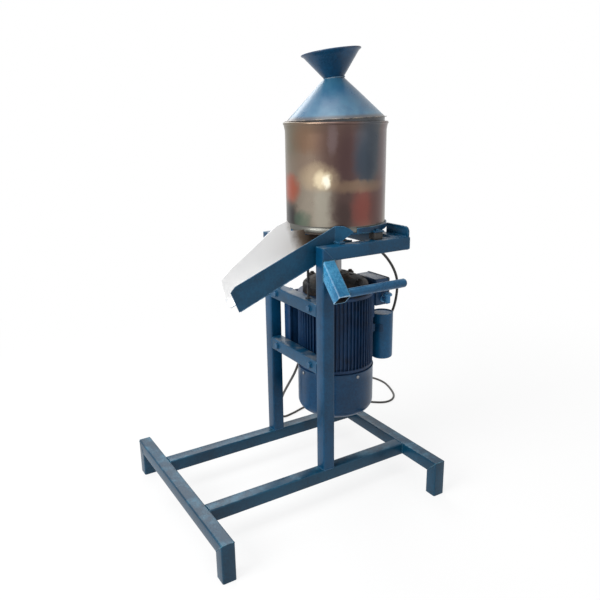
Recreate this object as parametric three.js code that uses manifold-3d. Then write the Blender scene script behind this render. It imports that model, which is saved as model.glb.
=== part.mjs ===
// Vertical nut butter grinder: a stone mill in a stainless drum, driven directly by
// an upright motor in a welded stand of square tube. Units are millimetres, +Z is up.
// X runs along the long base rails and Y across the stand. Sizes along X are counted from
// the centre of the base; the whole mill is then moved so that the origin lies on the
// floor under the middle of its full width.

import * as THREE from 'three';
import { mergeVertices } from 'three/addons/utils/BufferGeometryUtils.js';
import Module from 'manifold-3d';

const wasm = await Module();
wasm.setup();

// General clearances.
const GAP = 0.3; // between pieces that touch
const MERGE_TOLERANCE = 0.0001;
const CUT_REACH = 3000; // side of the blocks that trim a piece at a plane
const CUT_EXTRA = 4; // how far a cutting tool passes through a wall
const JOIN = 1; // how far shapes that are joined run into each other

// Stand of square tube.
const TUBE = 38;
const TUBE_WALL = 2.5;
const BASE_LENGTH = 736;
const BASE_WIDTH = 634;
const BASE_TOP = 110;
const POST_SETBACK = 399; // left cross tube to the posts, centre to centre
const POST_SPACING = 297; // front post to back post, centre to centre
const FRAME_TOP = 773;
const TOP_LENGTH = 302;
const FOOT_PLATE = 3;
const WIDTH_CENTRE = 8.4; // base's centre to the middle of the full width, along X

// Stop strip on the end tube.
const STRIP_HEIGHT = 29;
const STRIP_THICKNESS = 6;
const STRIP_LENGTH = 98;
const STRIP_CORNER = 16;
const STRIP_SETBACK = 3;

// Carrying handle on the front post.
const ARM_SLOPE_DEG = 47.5;
const ARM_LENGTH = 113; // along its upper side
const ARM_DROP = 34; // frame top to the arm's upper side at the post
const BAR_RADIUS = 12.5;
const BAR_LENGTH = 201;
const BAR_END_RADIUS = 6;
const BAR_REACH_SHARE = 0.87; // place of the bar along the arm
const BAR_DEPTH_SHARE = 0.36; // and below the arm's upper side
const ARM_OVERRUN = 76; // past the post, and trimmed there

// Motor.
const SHAFT_SETBACK = 137; // posts to the shaft, centre to centre
const FOOT_HOLE_ACROSS = 190;
const FOOT_HOLE_UP = 170;
const MOTOR_DROP = 268; // frame top to the middle of the foot bolts
const FOOT_THICKNESS = 14;
const FOOT_WIDTH = 34;
const FOOT_OVERHANG = 20;
const FOOT_WEB = 6;
const BODY_RADIUS = 108;
const BODY_WALL = 8;
const FIN_HEIGHT = 8;
const FIN_COUNT = 36;
const FIN_SHARE = 0.42; // of a pitch
const BODY_LOW_LENGTH = 138.7; // foot bolts' middle down to the body's lower end
const BODY_HIGH_LENGTH = 95; // and up to its upper end
const PAD_WIDTH = 96;
const PAD_DEPTH = 24;
const PAD_HEIGHT = 92;
const STATOR_CLEARANCE = 1; // stator to the body, allowing for facets
const STATOR_BORE = 61;
const STATOR_HEIGHT = 120;
const WINDING_HEIGHT = 26;
const WINDING_OUTER_MARGIN = 8; // body's bore to the windings
const WINDING_INNER_MARGIN = 5; // stator's bore to the windings
const ROTOR_CLEARANCE = 1;
const ROTOR_HEIGHT = 124;
const ROTOR_RING_HEIGHT = 12;
const SHAFT_RADIUS = 15;
const SHAFT_FAN_RADIUS = 12;
const SHAFT_COLLAR_RADIUS = 18.5;
const BEARING_RADIUS = 31;
const BEARING_HEIGHT = 16;
const SHIELD_THICKNESS = 9;
const SHIELD_TOP_HEIGHT = 46;
const SHIELD_CROWN_WIDTH = 26; // upper shield's rim to its crown
const SHIELD_BOTTOM_HEIGHT = 26;
const SHIELD_HUB_WALL = 11; // round the bearing
const SHIELD_HUB_HEIGHT = 10;
const RUN_CLEARANCE = 1; // shaft through a shield

// Fan and cowl under the motor.
const COWL_MARGIN = 2; // outside the fins
const COWL_WALL = 1.5;
const COWL_HEIGHT = 148;
const COWL_CLEARANCE = 1.3; // body to the cowl's upper edge
const COWL_CORNER = 20;
const COWL_SLOTS = 8;
const SLOT_WIDTH = 9;
const SLOT_INNER = 28;
const SLOT_OUTER = 88;
const FAN_TIP_CLEARANCE = 18.5; // fan to the cowl's inner side
const FAN_HUB_RADIUS = 26;
const FAN_HUB_HEIGHT = 30;
const FAN_BLADE_HEIGHT = 44;
const FAN_BLADE_THICKNESS = 4;
const FAN_BLADES = 8;
const FAN_DISC = 4;
const FAN_BLADE_START = 36; // shaft to the blades' inner edges
const FAN_RISE = 34; // cowl floor to the fan disc
const SCREW_RADIUS = 2.5;
const SCREW_HEAD_RADIUS = 5;
const SCREW_HEAD_HEIGHT = 3;
const SCREW_DROP = 12; // cowl's upper edge to the screws
const SCREW_DEPTH = 8;

// Foot bolts.
const BOLT_RADIUS = 5;
const BOLT_HOLE_CLEARANCE = 0.5;
const BOLT_HEAD_RADIUS = 9.8; // over the corners
const BOLT_HEAD_HEIGHT = 6.4;
const NUT_HEIGHT = 8;
const BOLT_TIP = 5;

// Terminal box, its fittings and the capacitor.
const BOX_WIDTH = 104;
const BOX_DEPTH = 46;
const BOX_DROP = 60; // body's upper end to the box's underside
const BOX_HEIGHT = 85;
const BOX_WALL = 4;
const BOX_LID = 5;
const GASKET_THICKNESS = 2;
const GASKET_BAND = 6;
const GASKET_LIP = 1.5;
const ENTRY_NECK_RADIUS = 8;
const ENTRY_NECK_LENGTH = 12;
const ENTRY_STEM_RADIUS = 11;
const ENTRY_STEM_HEIGHT = 20;
const ENTRY_DOME_RADIUS = 18;
const ENTRY_DOME_HEIGHT = 15;
const ENTRY_DOME_STEPS = 5;
const ENTRY_HEIGHT_SHARE = 0.24; // up the box
const ENTRY_X_SHARE = 0.6; // along the box's depth
const GLAND_Y_SHARE = 0.25; // of the box's width, from its middle
const CAPACITOR_RADIUS = 34.5;
const CAPACITOR_DROP = 240; // body's upper end to the can's underside
const CAPACITOR_HEIGHT = 150;
const CAPACITOR_CORNER = 6;
const CAPACITOR_RIM = 2.5;
const CAPACITOR_CLEARANCE = 10.5; // fins to the can, along X
const CAPACITOR_OFFSET = 30; // shaft to the can, towards the front
const CLAMP_THICKNESS = 2;
const CLAMP_HEIGHT = 24;
const CLAMP_SHARE = 0.62; // up the can
const CLAMP_TAB_WIDTH = 30;
const CLAMP_STANDOFF = 1; // tab to the fins

// Drum, its floor and its seat.
const DRUM_RADIUS = 145;
const DRUM_WALL = 1.5;
const DRUM_HEIGHT = 296.7;
const HEM_MARGIN = 2; // hem outside the drum's wall
const HEM_HEIGHT = 13;
const HEM_GROOVE = 3;
const BEAD_RADIUS = 4.5;
const BEAD_OFFSET = 0.5; // its middle outside the wall's outer face
const BEAD_ROOT = 5.4; // its middle to the wall below it
const RING_WIDTH = 19;
const RING_THICKNESS = 5;
const RING_BAND = 3;
const RING_BAND_HEIGHT = 18;
const RING_BAND_START = 14; // shaft to the band's cut end, along X
const RING_EAR = 34;
const BLOCK_SIDE = 27;
const BLOCK_HEIGHT = 20.4;
const BLOCK_REACH_X = 42;
const BLOCK_INSET = 8.5; // middle of the top rails to the middle of the blocks
const FLOOR_THICKNESS = 4;
const FLOOR_HOLE = 22;
const OUTLET_RADIAL = 34;
const OUTLET_ACROSS = 46;
const OUTLET_CENTRE = 108;
const OUTLET_ANGLE_DEG = 234;

// Stones.
const RUNNER_PLATE_INSET = 5; // inside the stone's rim
const RUNNER_PLATE_THICKNESS = 7;
const RUNNER_PLATE_RISE = 4;
const SPINDLE_RADIUS = 10;
const SWEEPER_CLEARANCE = 12; // sweeper to the holder's legs
const SWEEPER_WIDTH = 10;
const SWEEPER_OVERLAP = 8;
const STONE_RADIUS = 85;
const STONE_THICKNESS = 30;
const STONE_BORE = 12;
const STONE_EYE = 30;
const STONE_GRIND_GAP = 1.2;
const HOLDER_INSET = 7; // inside the stone's rim
const HOLDER_THICKNESS = 7;
const HOLDER_EYE_INSET = 2; // inside the stone's eye
const HOLDER_ARMS = 3;
const HOLDER_ARM_WIDTH = 16;
const HOLDER_LEG_CLEARANCE = 3.5; // legs to the drum's inner side
const HOLDER_LEG_THICKNESS = 7;
const HOLDER_TURN_DEG = 20;

// Hopper in the drum, lid and feed funnel.
const SHEET = 1.5;
const HOPPER_DROP = 56; // drum's top to the hopper's
const HOPPER_CLEARANCE = 2.5; // hopper to the drum's inner side
const HOPPER_SPOUT_CLEARANCE = 3; // spout to the holder's eye
const HOPPER_SPOUT_LENGTH = 8;
const HOPPER_COLLAR_WIDTH = 13; // flat collar that lies on the stone holder
const HOPPER_RIM = 2.2;
const LID_LIP = 2.2;
const LID_SKIRT_CLEARANCE = 4.5; // skirt to the drum's inner side
const LID_SKIRT_DEPTH = 15;
const LID_NECK_RADIUS = 20;
const LID_NECK_EDGE = 2.2; // height of the cone's upper edge
const LID_SLOPE = 0.985; // rise for each unit inwards
const FUNNEL_TILT_DEG = 5;
const FUNNEL_LEAN_DEG = 148.65; // heading of the lean, from +X towards +Y
const FUNNEL_NECK_RADIUS = 28;
const FUNNEL_RADIUS = 82;
const FUNNEL_HEIGHT = 68;
const FUNNEL_SPOUT = 22;
const FUNNEL_BEAD = 2.4;

// Discharge chute.
const CHUTE_SLOPE_DEG = 22;
const CHUTE_WIDTH = 70;
const CHUTE_CENTRE_Y = -88;
const CHUTE_WALL_HEIGHT = 68;
const CHUTE_SHEET = 2;
const CHUTE_REACH_LENGTH = 386; // shaft to the lower edge of the open end, along X
const CHUTE_HEAD_CLEARANCE = 9.1; // drum seat to the floor of the chute at its head
const CHUTE_CHAMFER = 17;
const CHUTE_DRUM_CLEARANCE = 1.5; // between the near wall's end and the drum's hem
const CHUTE_FAR_BACK = 165; // shaft to the far wall's upper end
const CHUTE_FAR_ROUND = 26;
const CHUTE_FAR_STEP = 9;
const CHUTE_HEAD_OVERRUN = 9; // past the shaft
const CHUTE_TAB_LENGTH = 30;
const CHUTE_TAB_THICKNESS = 5;
const CHUTE_TAB_BACK = 52; // shaft to the tab, along X
const STAY_RADIUS = 4;
const STAY_NUT_RADIUS = 7.5;
const STAY_NUT_HEIGHT = 7;
const STAY_NUT_SHARE = 0.36;
const STAY_Y = -62;

// Mains cord: its coil lies on the floor behind the stand.
const CORD_RADIUS = 4.25;
const CORD_SIDES = 8;
const CORD_STEPS = 80;
const CORD_LIFT = 0.15; // cord's underside to the floor
const COIL_SIDES = 6;
const COIL_RADIUS = 47; // to the middle of the cord
const COIL_TURNS = 2;
const COIL_STEPS_PER_TURN = 24;
const COIL_PITCH = 9.3;
const COIL_STRAIGHT = 9; // before the first turn
const COIL_TAIL = 37; // after the last, as far as the plug
const COIL_END_STEPS = 8;
const CORD_LEAD = 26; // straight end of the long stretch, before the coil
const COIL_CENTRE_X = 560;
const COIL_CENTRE_Y = 520;
const CORD_GLAND_RADIUS = 11;
const CORD_GLAND_MOUTH = 6;
const CORD_GLAND_HEIGHT = 13;
const CORD_GLAND_NUT = 14;
const CORD_GLAND_NUT_HEIGHT = 9;
const PLUG_LENGTH = 44;
const PLUG_RADIUS = 22.6;
const PLUG_NECK_RADIUS = 8;
const PLUG_NECK_LENGTH = 22;
const PIN_WIDTH = 6;
const PIN_LENGTH = 18;
const PIN_SPREAD = 11;
const PIN_RISE = 8.8;
const TIE_THICKNESS = 1.6;
const TIE_WIDTH = 12;
const TIE_SLACK = 1;
const TIE_TURNS = 0.75; // turns of the coil before the tie
const CLIP_WALL = 2;
const CLIP_SLACK = 1.8;
const CLIP_WIDTH = 10; // along the cord

// Facets of round pieces.
const ROUND_LARGE = 36;
const ROUND_MEDIUM = 24;
const ROUND_SMALL = 12;
const ROUND_HEX = 6;

// Places that follow from the sizes above.
const HALF_TUBE = TUBE / 2;
const CROSS_X = BASE_LENGTH / 2 - HALF_TUBE;
const POST_X = POST_SETBACK - CROSS_X;
const POST_Y = POST_SPACING / 2;
const SHAFT_X = POST_X + SHAFT_SETBACK;
const TOP_END_X = POST_X - HALF_TUBE + TOP_LENGTH;
const RAIL_FACE_X = POST_X + HALF_TUBE;
const FOOT_CENTRE_Z = FRAME_TOP - MOTOR_DROP;
const BODY_BOTTOM = FOOT_CENTRE_Z - BODY_LOW_LENGTH;
const BODY_TOP = FOOT_CENTRE_Z + BODY_HIGH_LENGTH;
const BODY_BORE = BODY_RADIUS - BODY_WALL;
const FIN_RADIUS = BODY_RADIUS + FIN_HEIGHT;
const WINDING_OUTER = BODY_BORE - WINDING_OUTER_MARGIN;
const WINDING_INNER = STATOR_BORE + WINDING_INNER_MARGIN;
const SHIELD_HUB_RADIUS = BEARING_RADIUS + SHIELD_HUB_WALL;
const COWL_RADIUS = FIN_RADIUS + COWL_MARGIN;
const COWL_TOP = BODY_BOTTOM - COWL_CLEARANCE;
const COWL_BOTTOM = COWL_TOP - COWL_HEIGHT;
const FAN_RADIUS = COWL_RADIUS - COWL_WALL - FAN_TIP_CLEARANCE;
const BOX_BOTTOM = BODY_TOP - BOX_DROP;
const CAPACITOR_BOTTOM = BODY_TOP - CAPACITOR_DROP;
const RING_BOTTOM = FRAME_TOP + GAP + BLOCK_HEIGHT + GAP;
const RING_TOP = RING_BOTTOM + RING_THICKNESS;
const FLOOR_BOTTOM = RING_TOP + GAP;
const FLOOR_TOP = FLOOR_BOTTOM + FLOOR_THICKNESS;
const DRUM_TOP = FLOOR_BOTTOM + DRUM_HEIGHT;
const DRUM_INNER = DRUM_RADIUS - DRUM_WALL;
const HEM_RADIUS = DRUM_RADIUS + HEM_MARGIN;
const RING_INNER = HEM_RADIUS - RING_WIDTH;
const BLOCK_REACH_Y = POST_Y - BLOCK_INSET;
const HOLDER_LEG_OUTER = DRUM_INNER - HOLDER_LEG_CLEARANCE;
const HOLDER_RADIUS = STONE_RADIUS - HOLDER_INSET;
const HOLDER_EYE = STONE_EYE - HOLDER_EYE_INSET;
const RUNNER_PLATE_RADIUS = STONE_RADIUS - RUNNER_PLATE_INSET;
const SWEEPER_REACH = HOLDER_LEG_OUTER - HOLDER_LEG_THICKNESS - SWEEPER_CLEARANCE;
const HOPPER_TOP = DRUM_TOP - HOPPER_DROP;
const HOPPER_RADIUS = DRUM_INNER - HOPPER_CLEARANCE;
const HOPPER_SPOUT_RADIUS = HOLDER_EYE - HOPPER_SPOUT_CLEARANCE;
const HOPPER_COLLAR_RADIUS = HOPPER_SPOUT_RADIUS + HOPPER_COLLAR_WIDTH;
const LID_SKIRT_RADIUS = DRUM_INNER - LID_SKIRT_CLEARANCE;
const LID_LOW = DRUM_TOP + GAP;
const LID_TOP = LID_LOW + LID_LIP;
const FUNNEL_NECK_Z = LID_TOP + (LID_SKIRT_RADIUS - FUNNEL_NECK_RADIUS) * LID_SLOPE;
const RUNNER_PLATE_BOTTOM = FLOOR_TOP + RUNNER_PLATE_RISE;
const RUNNER_BOTTOM = RUNNER_PLATE_BOTTOM + RUNNER_PLATE_THICKNESS + GAP;
const BED_BOTTOM = RUNNER_BOTTOM + STONE_THICKNESS + STONE_GRIND_GAP;
const HOLDER_BOTTOM = BED_BOTTOM + STONE_THICKNESS + GAP;
const CHUTE_SLOPE = THREE.MathUtils.degToRad(CHUTE_SLOPE_DEG);
const CHUTE_TIP_X = SHAFT_X - CHUTE_REACH_LENGTH;
const CHUTE_FAR_END = SHAFT_X - CHUTE_FAR_BACK;
const CHUTE_HEAD_X = SHAFT_X + CHUTE_HEAD_OVERRUN;
const CHUTE_FALL = (CHUTE_HEAD_X - CHUTE_TIP_X) * Math.tan(CHUTE_SLOPE);
const CHUTE_TIP_Z = RING_BOTTOM - GAP - CHUTE_HEAD_CLEARANCE - CHUTE_FALL;

const PAINT = { color: 0x2a5a80, roughness: 0.42, metalness: 0.1 };
const LIGHT_PAINT = { color: 0x4f86ad, roughness: 0.4, metalness: 0.1 };
const STAINLESS = { color: 0xb9b3aa, roughness: 0.25, metalness: 0.95 };
const STEEL = { color: 0x8a8c8f, roughness: 0.4, metalness: 0.9 };
const BARE_SHEET = { color: 0xd9d6d0, roughness: 0.35, metalness: 0.6 };
const RUBBER = { color: 0x111214, roughness: 0.8, metalness: 0 };
const COPPER = { color: 0x8b4a2b, roughness: 0.5, metalness: 0.6 };
const STONE = { color: 0x8d877c, roughness: 0.9, metalness: 0 };
const IRON = { color: 0x4a4b4d, roughness: 0.6, metalness: 0.8 };

const mill = new THREE.Group();
mill.name = 'nut_butter_grinder';

const vec = (x, y, z) => new THREE.Vector3(x, y, z);
const UP = vec(0, 0, 1);

// A closed geometry as a solid that can be joined and cut.
function solid(geometry) {
  const bare = geometry.clone();
  bare.deleteAttribute('normal');
  bare.deleteAttribute('uv');
  const merged = mergeVertices(bare, MERGE_TOLERANCE);
  const mesh = new wasm.Mesh({
    numProp: 3,
    vertProperties: Float32Array.from(merged.attributes.position.array),
    triVerts: Uint32Array.from(merged.index.array),
  });
  return new wasm.Manifold(mesh);
}

// A solid back as a geometry.
function skin(body) {
  const mesh = body.getMesh();
  const geometry = new THREE.BufferGeometry();
  const points = new THREE.BufferAttribute(Float32Array.from(mesh.vertProperties), 3);
  geometry.setAttribute('position', points);
  geometry.setIndex(new THREE.BufferAttribute(Uint32Array.from(mesh.triVerts), 1));
  return geometry;
}

function add(name, shape, look) {
  const geometry = shape.isBufferGeometry ? shape : skin(shape);
  const mesh = new THREE.Mesh(geometry, new THREE.MeshStandardMaterial(look));
  mesh.name = name;
  mill.add(mesh);
  return mesh;
}

function box(low, high) {
  const size = high.clone().sub(low);
  const middle = low.clone().add(high).multiplyScalar(1 / 2);
  return new THREE.BoxGeometry(size.x, size.y, size.z).translate(middle.x, middle.y, middle.z);
}

// Turns a shape that was made along +Z from the origin to run from a point along a heading.
function aim(geometry, start, heading) {
  const turn = new THREE.Quaternion().setFromUnitVectors(UP, heading.clone().normalize());
  return geometry.applyQuaternion(turn).translate(start.x, start.y, start.z);
}

function extrude(shape, depth, options = {}) {
  return new THREE.ExtrudeGeometry(shape, { depth, bevelEnabled: false, steps: 1, ...options });
}

function rectangle(width, height) {
  const shape = new THREE.Shape();
  shape.moveTo(-width / 2, -height / 2);
  shape.lineTo(width / 2, -height / 2);
  shape.lineTo(width / 2, height / 2);
  shape.lineTo(-width / 2, height / 2);
  shape.closePath();
  return shape;
}

function outline(points) {
  return new THREE.Shape(points.map(([x, y]) => new THREE.Vector2(x, y)));
}

// A length of square tube between two points.
function squareTube(start, end) {
  const shape = rectangle(TUBE, TUBE);
  shape.holes.push(rectangle(TUBE - 2 * TUBE_WALL, TUBE - 2 * TUBE_WALL));
  const run = end.clone().sub(start);
  return aim(extrude(shape, run.length()), start, run);
}

// Takes away everything on the side of a plane that its normal points to.
function trim(body, point, normal) {
  const block = new THREE.BoxGeometry(CUT_REACH, CUT_REACH, CUT_REACH);
  block.translate(0, 0, CUT_REACH / 2);
  return body.subtract(solid(aim(block, point, normal)));
}

// A profile of [radius, height] points turned about the vertical at a place.
function turned(points, segments, x = SHAFT_X, y = 0) {
  const profile = points.map(([radius, height]) => new THREE.Vector2(radius, height));
  return new THREE.LatheGeometry(profile, segments).rotateX(Math.PI / 2).translate(x, y, 0);
}

// A ring-shaped profile closes on itself.
function turnedRing(points, segments, x = SHAFT_X, y = 0) {
  return turned([...points, points[0]], segments, x, y);
}

function ringBetween(inner, outer, bottom, top, segments, x = SHAFT_X, y = 0) {
  const points = [[inner, bottom], [outer, bottom], [outer, top], [inner, top]];
  return turnedRing(points, segments, x, y);
}

function disc(radius, bottom, top, segments, x = SHAFT_X, y = 0) {
  return turned([[0, bottom], [radius, bottom], [radius, top], [0, top]], segments, x, y);
}

// A round rod from a point along a heading.
function rod(radius, start, heading, length, segments) {
  const geometry = new THREE.CylinderGeometry(radius, radius, length, segments);
  geometry.rotateX(Math.PI / 2).translate(0, 0, length / 2);
  return aim(geometry, start, heading);
}

// Part of a circle as [radius, height] points.
function arc(centreR, centreZ, radius, fromDeg, toDeg, steps) {
  const points = [];
  for (let i = 0; i <= steps; i += 1) {
    const angle = THREE.MathUtils.degToRad(fromDeg + ((toDeg - fromDeg) * i) / steps);
    points.push([centreR + radius * Math.cos(angle), centreZ + radius * Math.sin(angle)]);
  }
  return points;
}

// Base: two cross tubes with mitred feet, joined by two long rails.
function buildBase() {
  const railZ = BASE_TOP - HALF_TUBE;
  const halfWidth = BASE_WIDTH / 2;
  for (const [side, x] of [['left', -CROSS_X], ['right', CROSS_X]]) {
    let cross = solid(squareTube(vec(x, -halfWidth, railZ), vec(x, halfWidth, railZ)));
    for (const [end, sign] of [['front', -1], ['back', 1]]) {
      const corner = vec(x, sign * (halfWidth - TUBE), BASE_TOP - TUBE);
      cross = trim(cross, corner.clone().add(vec(0, 0, GAP)), vec(0, sign, -1));
      const y = sign * (halfWidth - HALF_TUBE);
      let foot = solid(squareTube(vec(x, y, 0), vec(x, y, BASE_TOP)));
      const inner = HALF_TUBE - TUBE_WALL / 2;
      const plate = box(vec(x - inner, y - inner, 0), vec(x + inner, y + inner, FOOT_PLATE));
      foot = foot.add(solid(plate));
      foot = trim(foot, corner, vec(0, -sign, 1));
      add(`foot_${end}_${side}`, foot, PAINT);
    }
    add(`base_tube_${side}`, cross, PAINT);
  }
  for (const [end, y] of [['front', -POST_Y], ['back', POST_Y]]) {
    const reach = CROSS_X - HALF_TUBE - GAP;
    const rail = squareTube(vec(-reach, y, railZ), vec(reach, y, railZ));
    add(`base_rail_${end}`, rail, PAINT);
  }
}

// Upper stand: two posts, the top frame that is open to the left, and the motor rails.
function buildUpperStand() {
  const topZ = FRAME_TOP - HALF_TUBE;
  for (const [end, sign] of [['front', -1], ['back', 1]]) {
    const y = sign * POST_Y;
    const left = vec(POST_X - HALF_TUBE, y, FRAME_TOP);
    const post = solid(squareTube(vec(POST_X, y, BASE_TOP + GAP), vec(POST_X, y, FRAME_TOP)));
    add(`post_${end}`, trim(post, left, vec(1, 0, 1)), PAINT);
    let rail = solid(squareTube(vec(POST_X - HALF_TUBE, y, topZ), vec(TOP_END_X, y, topZ)));
    rail = trim(rail, left.clone().add(vec(GAP, 0, 0)), vec(-1, 0, -1));
    const corner = vec(TOP_END_X, y + sign * HALF_TUBE, topZ);
    rail = trim(rail, corner, vec(1, -sign, 0));
    add(`top_rail_${end}`, rail, PAINT);
  }
  const endX = TOP_END_X - HALF_TUBE;
  const halfEnd = POST_Y + HALF_TUBE;
  let endTube = solid(squareTube(vec(endX, -halfEnd, topZ), vec(endX, halfEnd, topZ)));
  for (const sign of [-1, 1]) {
    const corner = vec(TOP_END_X, sign * (halfEnd - GAP), topZ);
    endTube = trim(endTube, corner, vec(-1, sign, 0));
  }
  add('top_end_tube', endTube, PAINT);

  const innerY = POST_Y - HALF_TUBE - GAP;
  for (const [name, sign] of [['lower', -1], ['upper', 1]]) {
    const z = FOOT_CENTRE_Z + (sign * FOOT_HOLE_UP) / 2;
    let rail = solid(squareTube(vec(POST_X, -innerY, z), vec(POST_X, innerY, z)));
    for (const side of [-1, 1]) {
      rail = rail.subtract(solid(boltHole(side, z)));
    }
    add(`motor_rail_${name}`, rail, PAINT);
  }
}

function boltHole(side, z) {
  const start = vec(POST_X - HALF_TUBE - CUT_EXTRA, (side * FOOT_HOLE_ACROSS) / 2, z);
  const length = TUBE + GAP + FOOT_THICKNESS + 2 * CUT_EXTRA;
  return rod(BOLT_RADIUS + BOLT_HOLE_CLEARANCE, start, vec(1, 0, 0), length, ROUND_SMALL);
}

// Flat strip that stands on the end tube, with its front upper corner rounded.
function buildStopStrip() {
  const front = -(POST_Y + HALF_TUBE);
  const low = FRAME_TOP + GAP;
  const high = FRAME_TOP + STRIP_HEIGHT;
  const corner = arc(front + STRIP_CORNER, high - STRIP_CORNER, STRIP_CORNER, 90, 180, 5);
  const points = [[front + STRIP_LENGTH, low], [front + STRIP_LENGTH, high], ...corner];
  points.push([front, low]);
  const strip = extrude(outline(points), STRIP_THICKNESS);
  strip.rotateX(Math.PI / 2).rotateZ(Math.PI / 2);
  strip.translate(TOP_END_X - STRIP_SETBACK - STRIP_THICKNESS, 0, 0);
  add('stop_strip', strip, PAINT);
}

// Handle: a sloping arm with an open end, and a round bar along X.
function buildHandle() {
  const slope = THREE.MathUtils.degToRad(ARM_SLOPE_DEG);
  const heading = vec(0, -Math.cos(slope), -Math.sin(slope));
  const inward = vec(0, Math.sin(slope), -Math.cos(slope));
  const postFace = -(POST_Y + HALF_TUBE);
  const root = vec(POST_X, postFace, FRAME_TOP - ARM_DROP);
  const start = root.clone().addScaledVector(inward, HALF_TUBE).addScaledVector(heading, -ARM_OVERRUN);
  const end = root.clone().addScaledVector(inward, HALF_TUBE).addScaledVector(heading, ARM_LENGTH);
  const arm = trim(solid(squareTube(start, end)), vec(POST_X, postFace - GAP, 0), vec(0, 1, 0));
  add('handle_arm', arm, PAINT);

  const centre = root.clone().addScaledVector(heading, ARM_LENGTH * BAR_REACH_SHARE);
  centre.addScaledVector(inward, TUBE * BAR_DEPTH_SHARE);
  const tip = BAR_LENGTH - BAR_END_RADIUS;
  const nose = arc(BAR_RADIUS - BAR_END_RADIUS, tip, BAR_END_RADIUS, 0, 90, 3);
  const profile = [[0, 0], [BAR_RADIUS, 0], ...nose, [0, BAR_LENGTH]];
  const bar = turned(profile, ROUND_SMALL, 0, 0);
  add('handle_bar', aim(bar, vec(RAIL_FACE_X + GAP, centre.y, centre.z), vec(1, 0, 0)), PAINT);
}

// Finned motor body with two long feet and the pad of the terminal box.
function buildMotorBody() {
  const points = [];
  const pitch = (2 * Math.PI) / FIN_COUNT;
  for (let i = 0; i < FIN_COUNT; i += 1) {
    const middle = i * pitch;
    const half = (FIN_SHARE * pitch) / 2;
    for (const [radius, angle] of [
      [BODY_RADIUS, middle - half],
      [FIN_RADIUS, middle - half],
      [FIN_RADIUS, middle + half],
      [BODY_RADIUS, middle + half],
    ]) {
      points.push([radius * Math.cos(angle), radius * Math.sin(angle)]);
    }
  }
  const height = BODY_TOP - BODY_BOTTOM;
  const section = outline(points);
  let body = solid(extrude(section, height).translate(SHAFT_X, 0, BODY_BOTTOM));
  const footLow = FOOT_CENTRE_Z - FOOT_HOLE_UP / 2 - FOOT_OVERHANG;
  const footHigh = Math.min(FOOT_CENTRE_Z + FOOT_HOLE_UP / 2 + FOOT_OVERHANG, BODY_TOP);
  const faceX = RAIL_FACE_X + GAP;
  for (const side of [-1, 1]) {
    const y = (side * FOOT_HOLE_ACROSS) / 2;
    const pad = box(
      vec(faceX, y - FOOT_WIDTH / 2, footLow),
      vec(faceX + FOOT_THICKNESS, y + FOOT_WIDTH / 2, footHigh),
    );
    const webY = y - side * (FOOT_WIDTH / 2 - FOOT_WEB / 2);
    const web = box(
      vec(faceX, webY - FOOT_WEB / 2, footLow),
      vec(SHAFT_X - BODY_RADIUS / 2, webY + FOOT_WEB / 2, footHigh),
    );
    body = body.add(solid(pad)).add(solid(web));
  }
  const padTop = BODY_TOP - CUT_EXTRA;
  const padHigh = SHAFT_X + FIN_RADIUS + GAP;
  const boxPad = box(
    vec(padHigh - PAD_DEPTH, -PAD_WIDTH / 2, padTop - PAD_HEIGHT),
    vec(padHigh, PAD_WIDTH / 2, padTop),
  );
  body = body.add(solid(boxPad));
  const bore = disc(BODY_BORE, BODY_BOTTOM - CUT_EXTRA, BODY_TOP + CUT_EXTRA, ROUND_LARGE);
  body = body.subtract(solid(bore));
  for (const up of [-1, 1]) {
    for (const side of [-1, 1]) {
      body = body.subtract(solid(boltHole(side, FOOT_CENTRE_Z + (up * FOOT_HOLE_UP) / 2)));
    }
  }
  add('motor_body', body, PAINT);
}

function buildMotorInside() {
  const middle = (BODY_BOTTOM + BODY_TOP) / 2;
  const outer = BODY_BORE - STATOR_CLEARANCE;
  const low = middle - STATOR_HEIGHT / 2;
  const high = middle + STATOR_HEIGHT / 2;
  add('stator', turnedRing([
    [STATOR_BORE, low], [WINDING_INNER, low], [WINDING_INNER, low - WINDING_HEIGHT],
    [WINDING_OUTER, low - WINDING_HEIGHT], [WINDING_OUTER, low], [outer, low],
    [outer, high], [WINDING_OUTER, high], [WINDING_OUTER, high + WINDING_HEIGHT],
    [WINDING_INNER, high + WINDING_HEIGHT], [WINDING_INNER, high], [STATOR_BORE, high],
  ], ROUND_MEDIUM), COPPER);
  const rotorRadius = STATOR_BORE - ROTOR_CLEARANCE;
  const half = ROTOR_HEIGHT / 2;
  const ringRadius = rotorRadius - ROTOR_RING_HEIGHT / 2;
  const bore = SHAFT_RADIUS + GAP;
  add('rotor', turnedRing([
    [bore, middle - half], [ringRadius, middle - half],
    [ringRadius, middle - half + ROTOR_RING_HEIGHT],
    [rotorRadius, middle - half + ROTOR_RING_HEIGHT],
    [rotorRadius, middle + half - ROTOR_RING_HEIGHT],
    [ringRadius, middle + half - ROTOR_RING_HEIGHT],
    [ringRadius, middle + half], [bore, middle + half],
  ], ROUND_MEDIUM), IRON);
}

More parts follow.
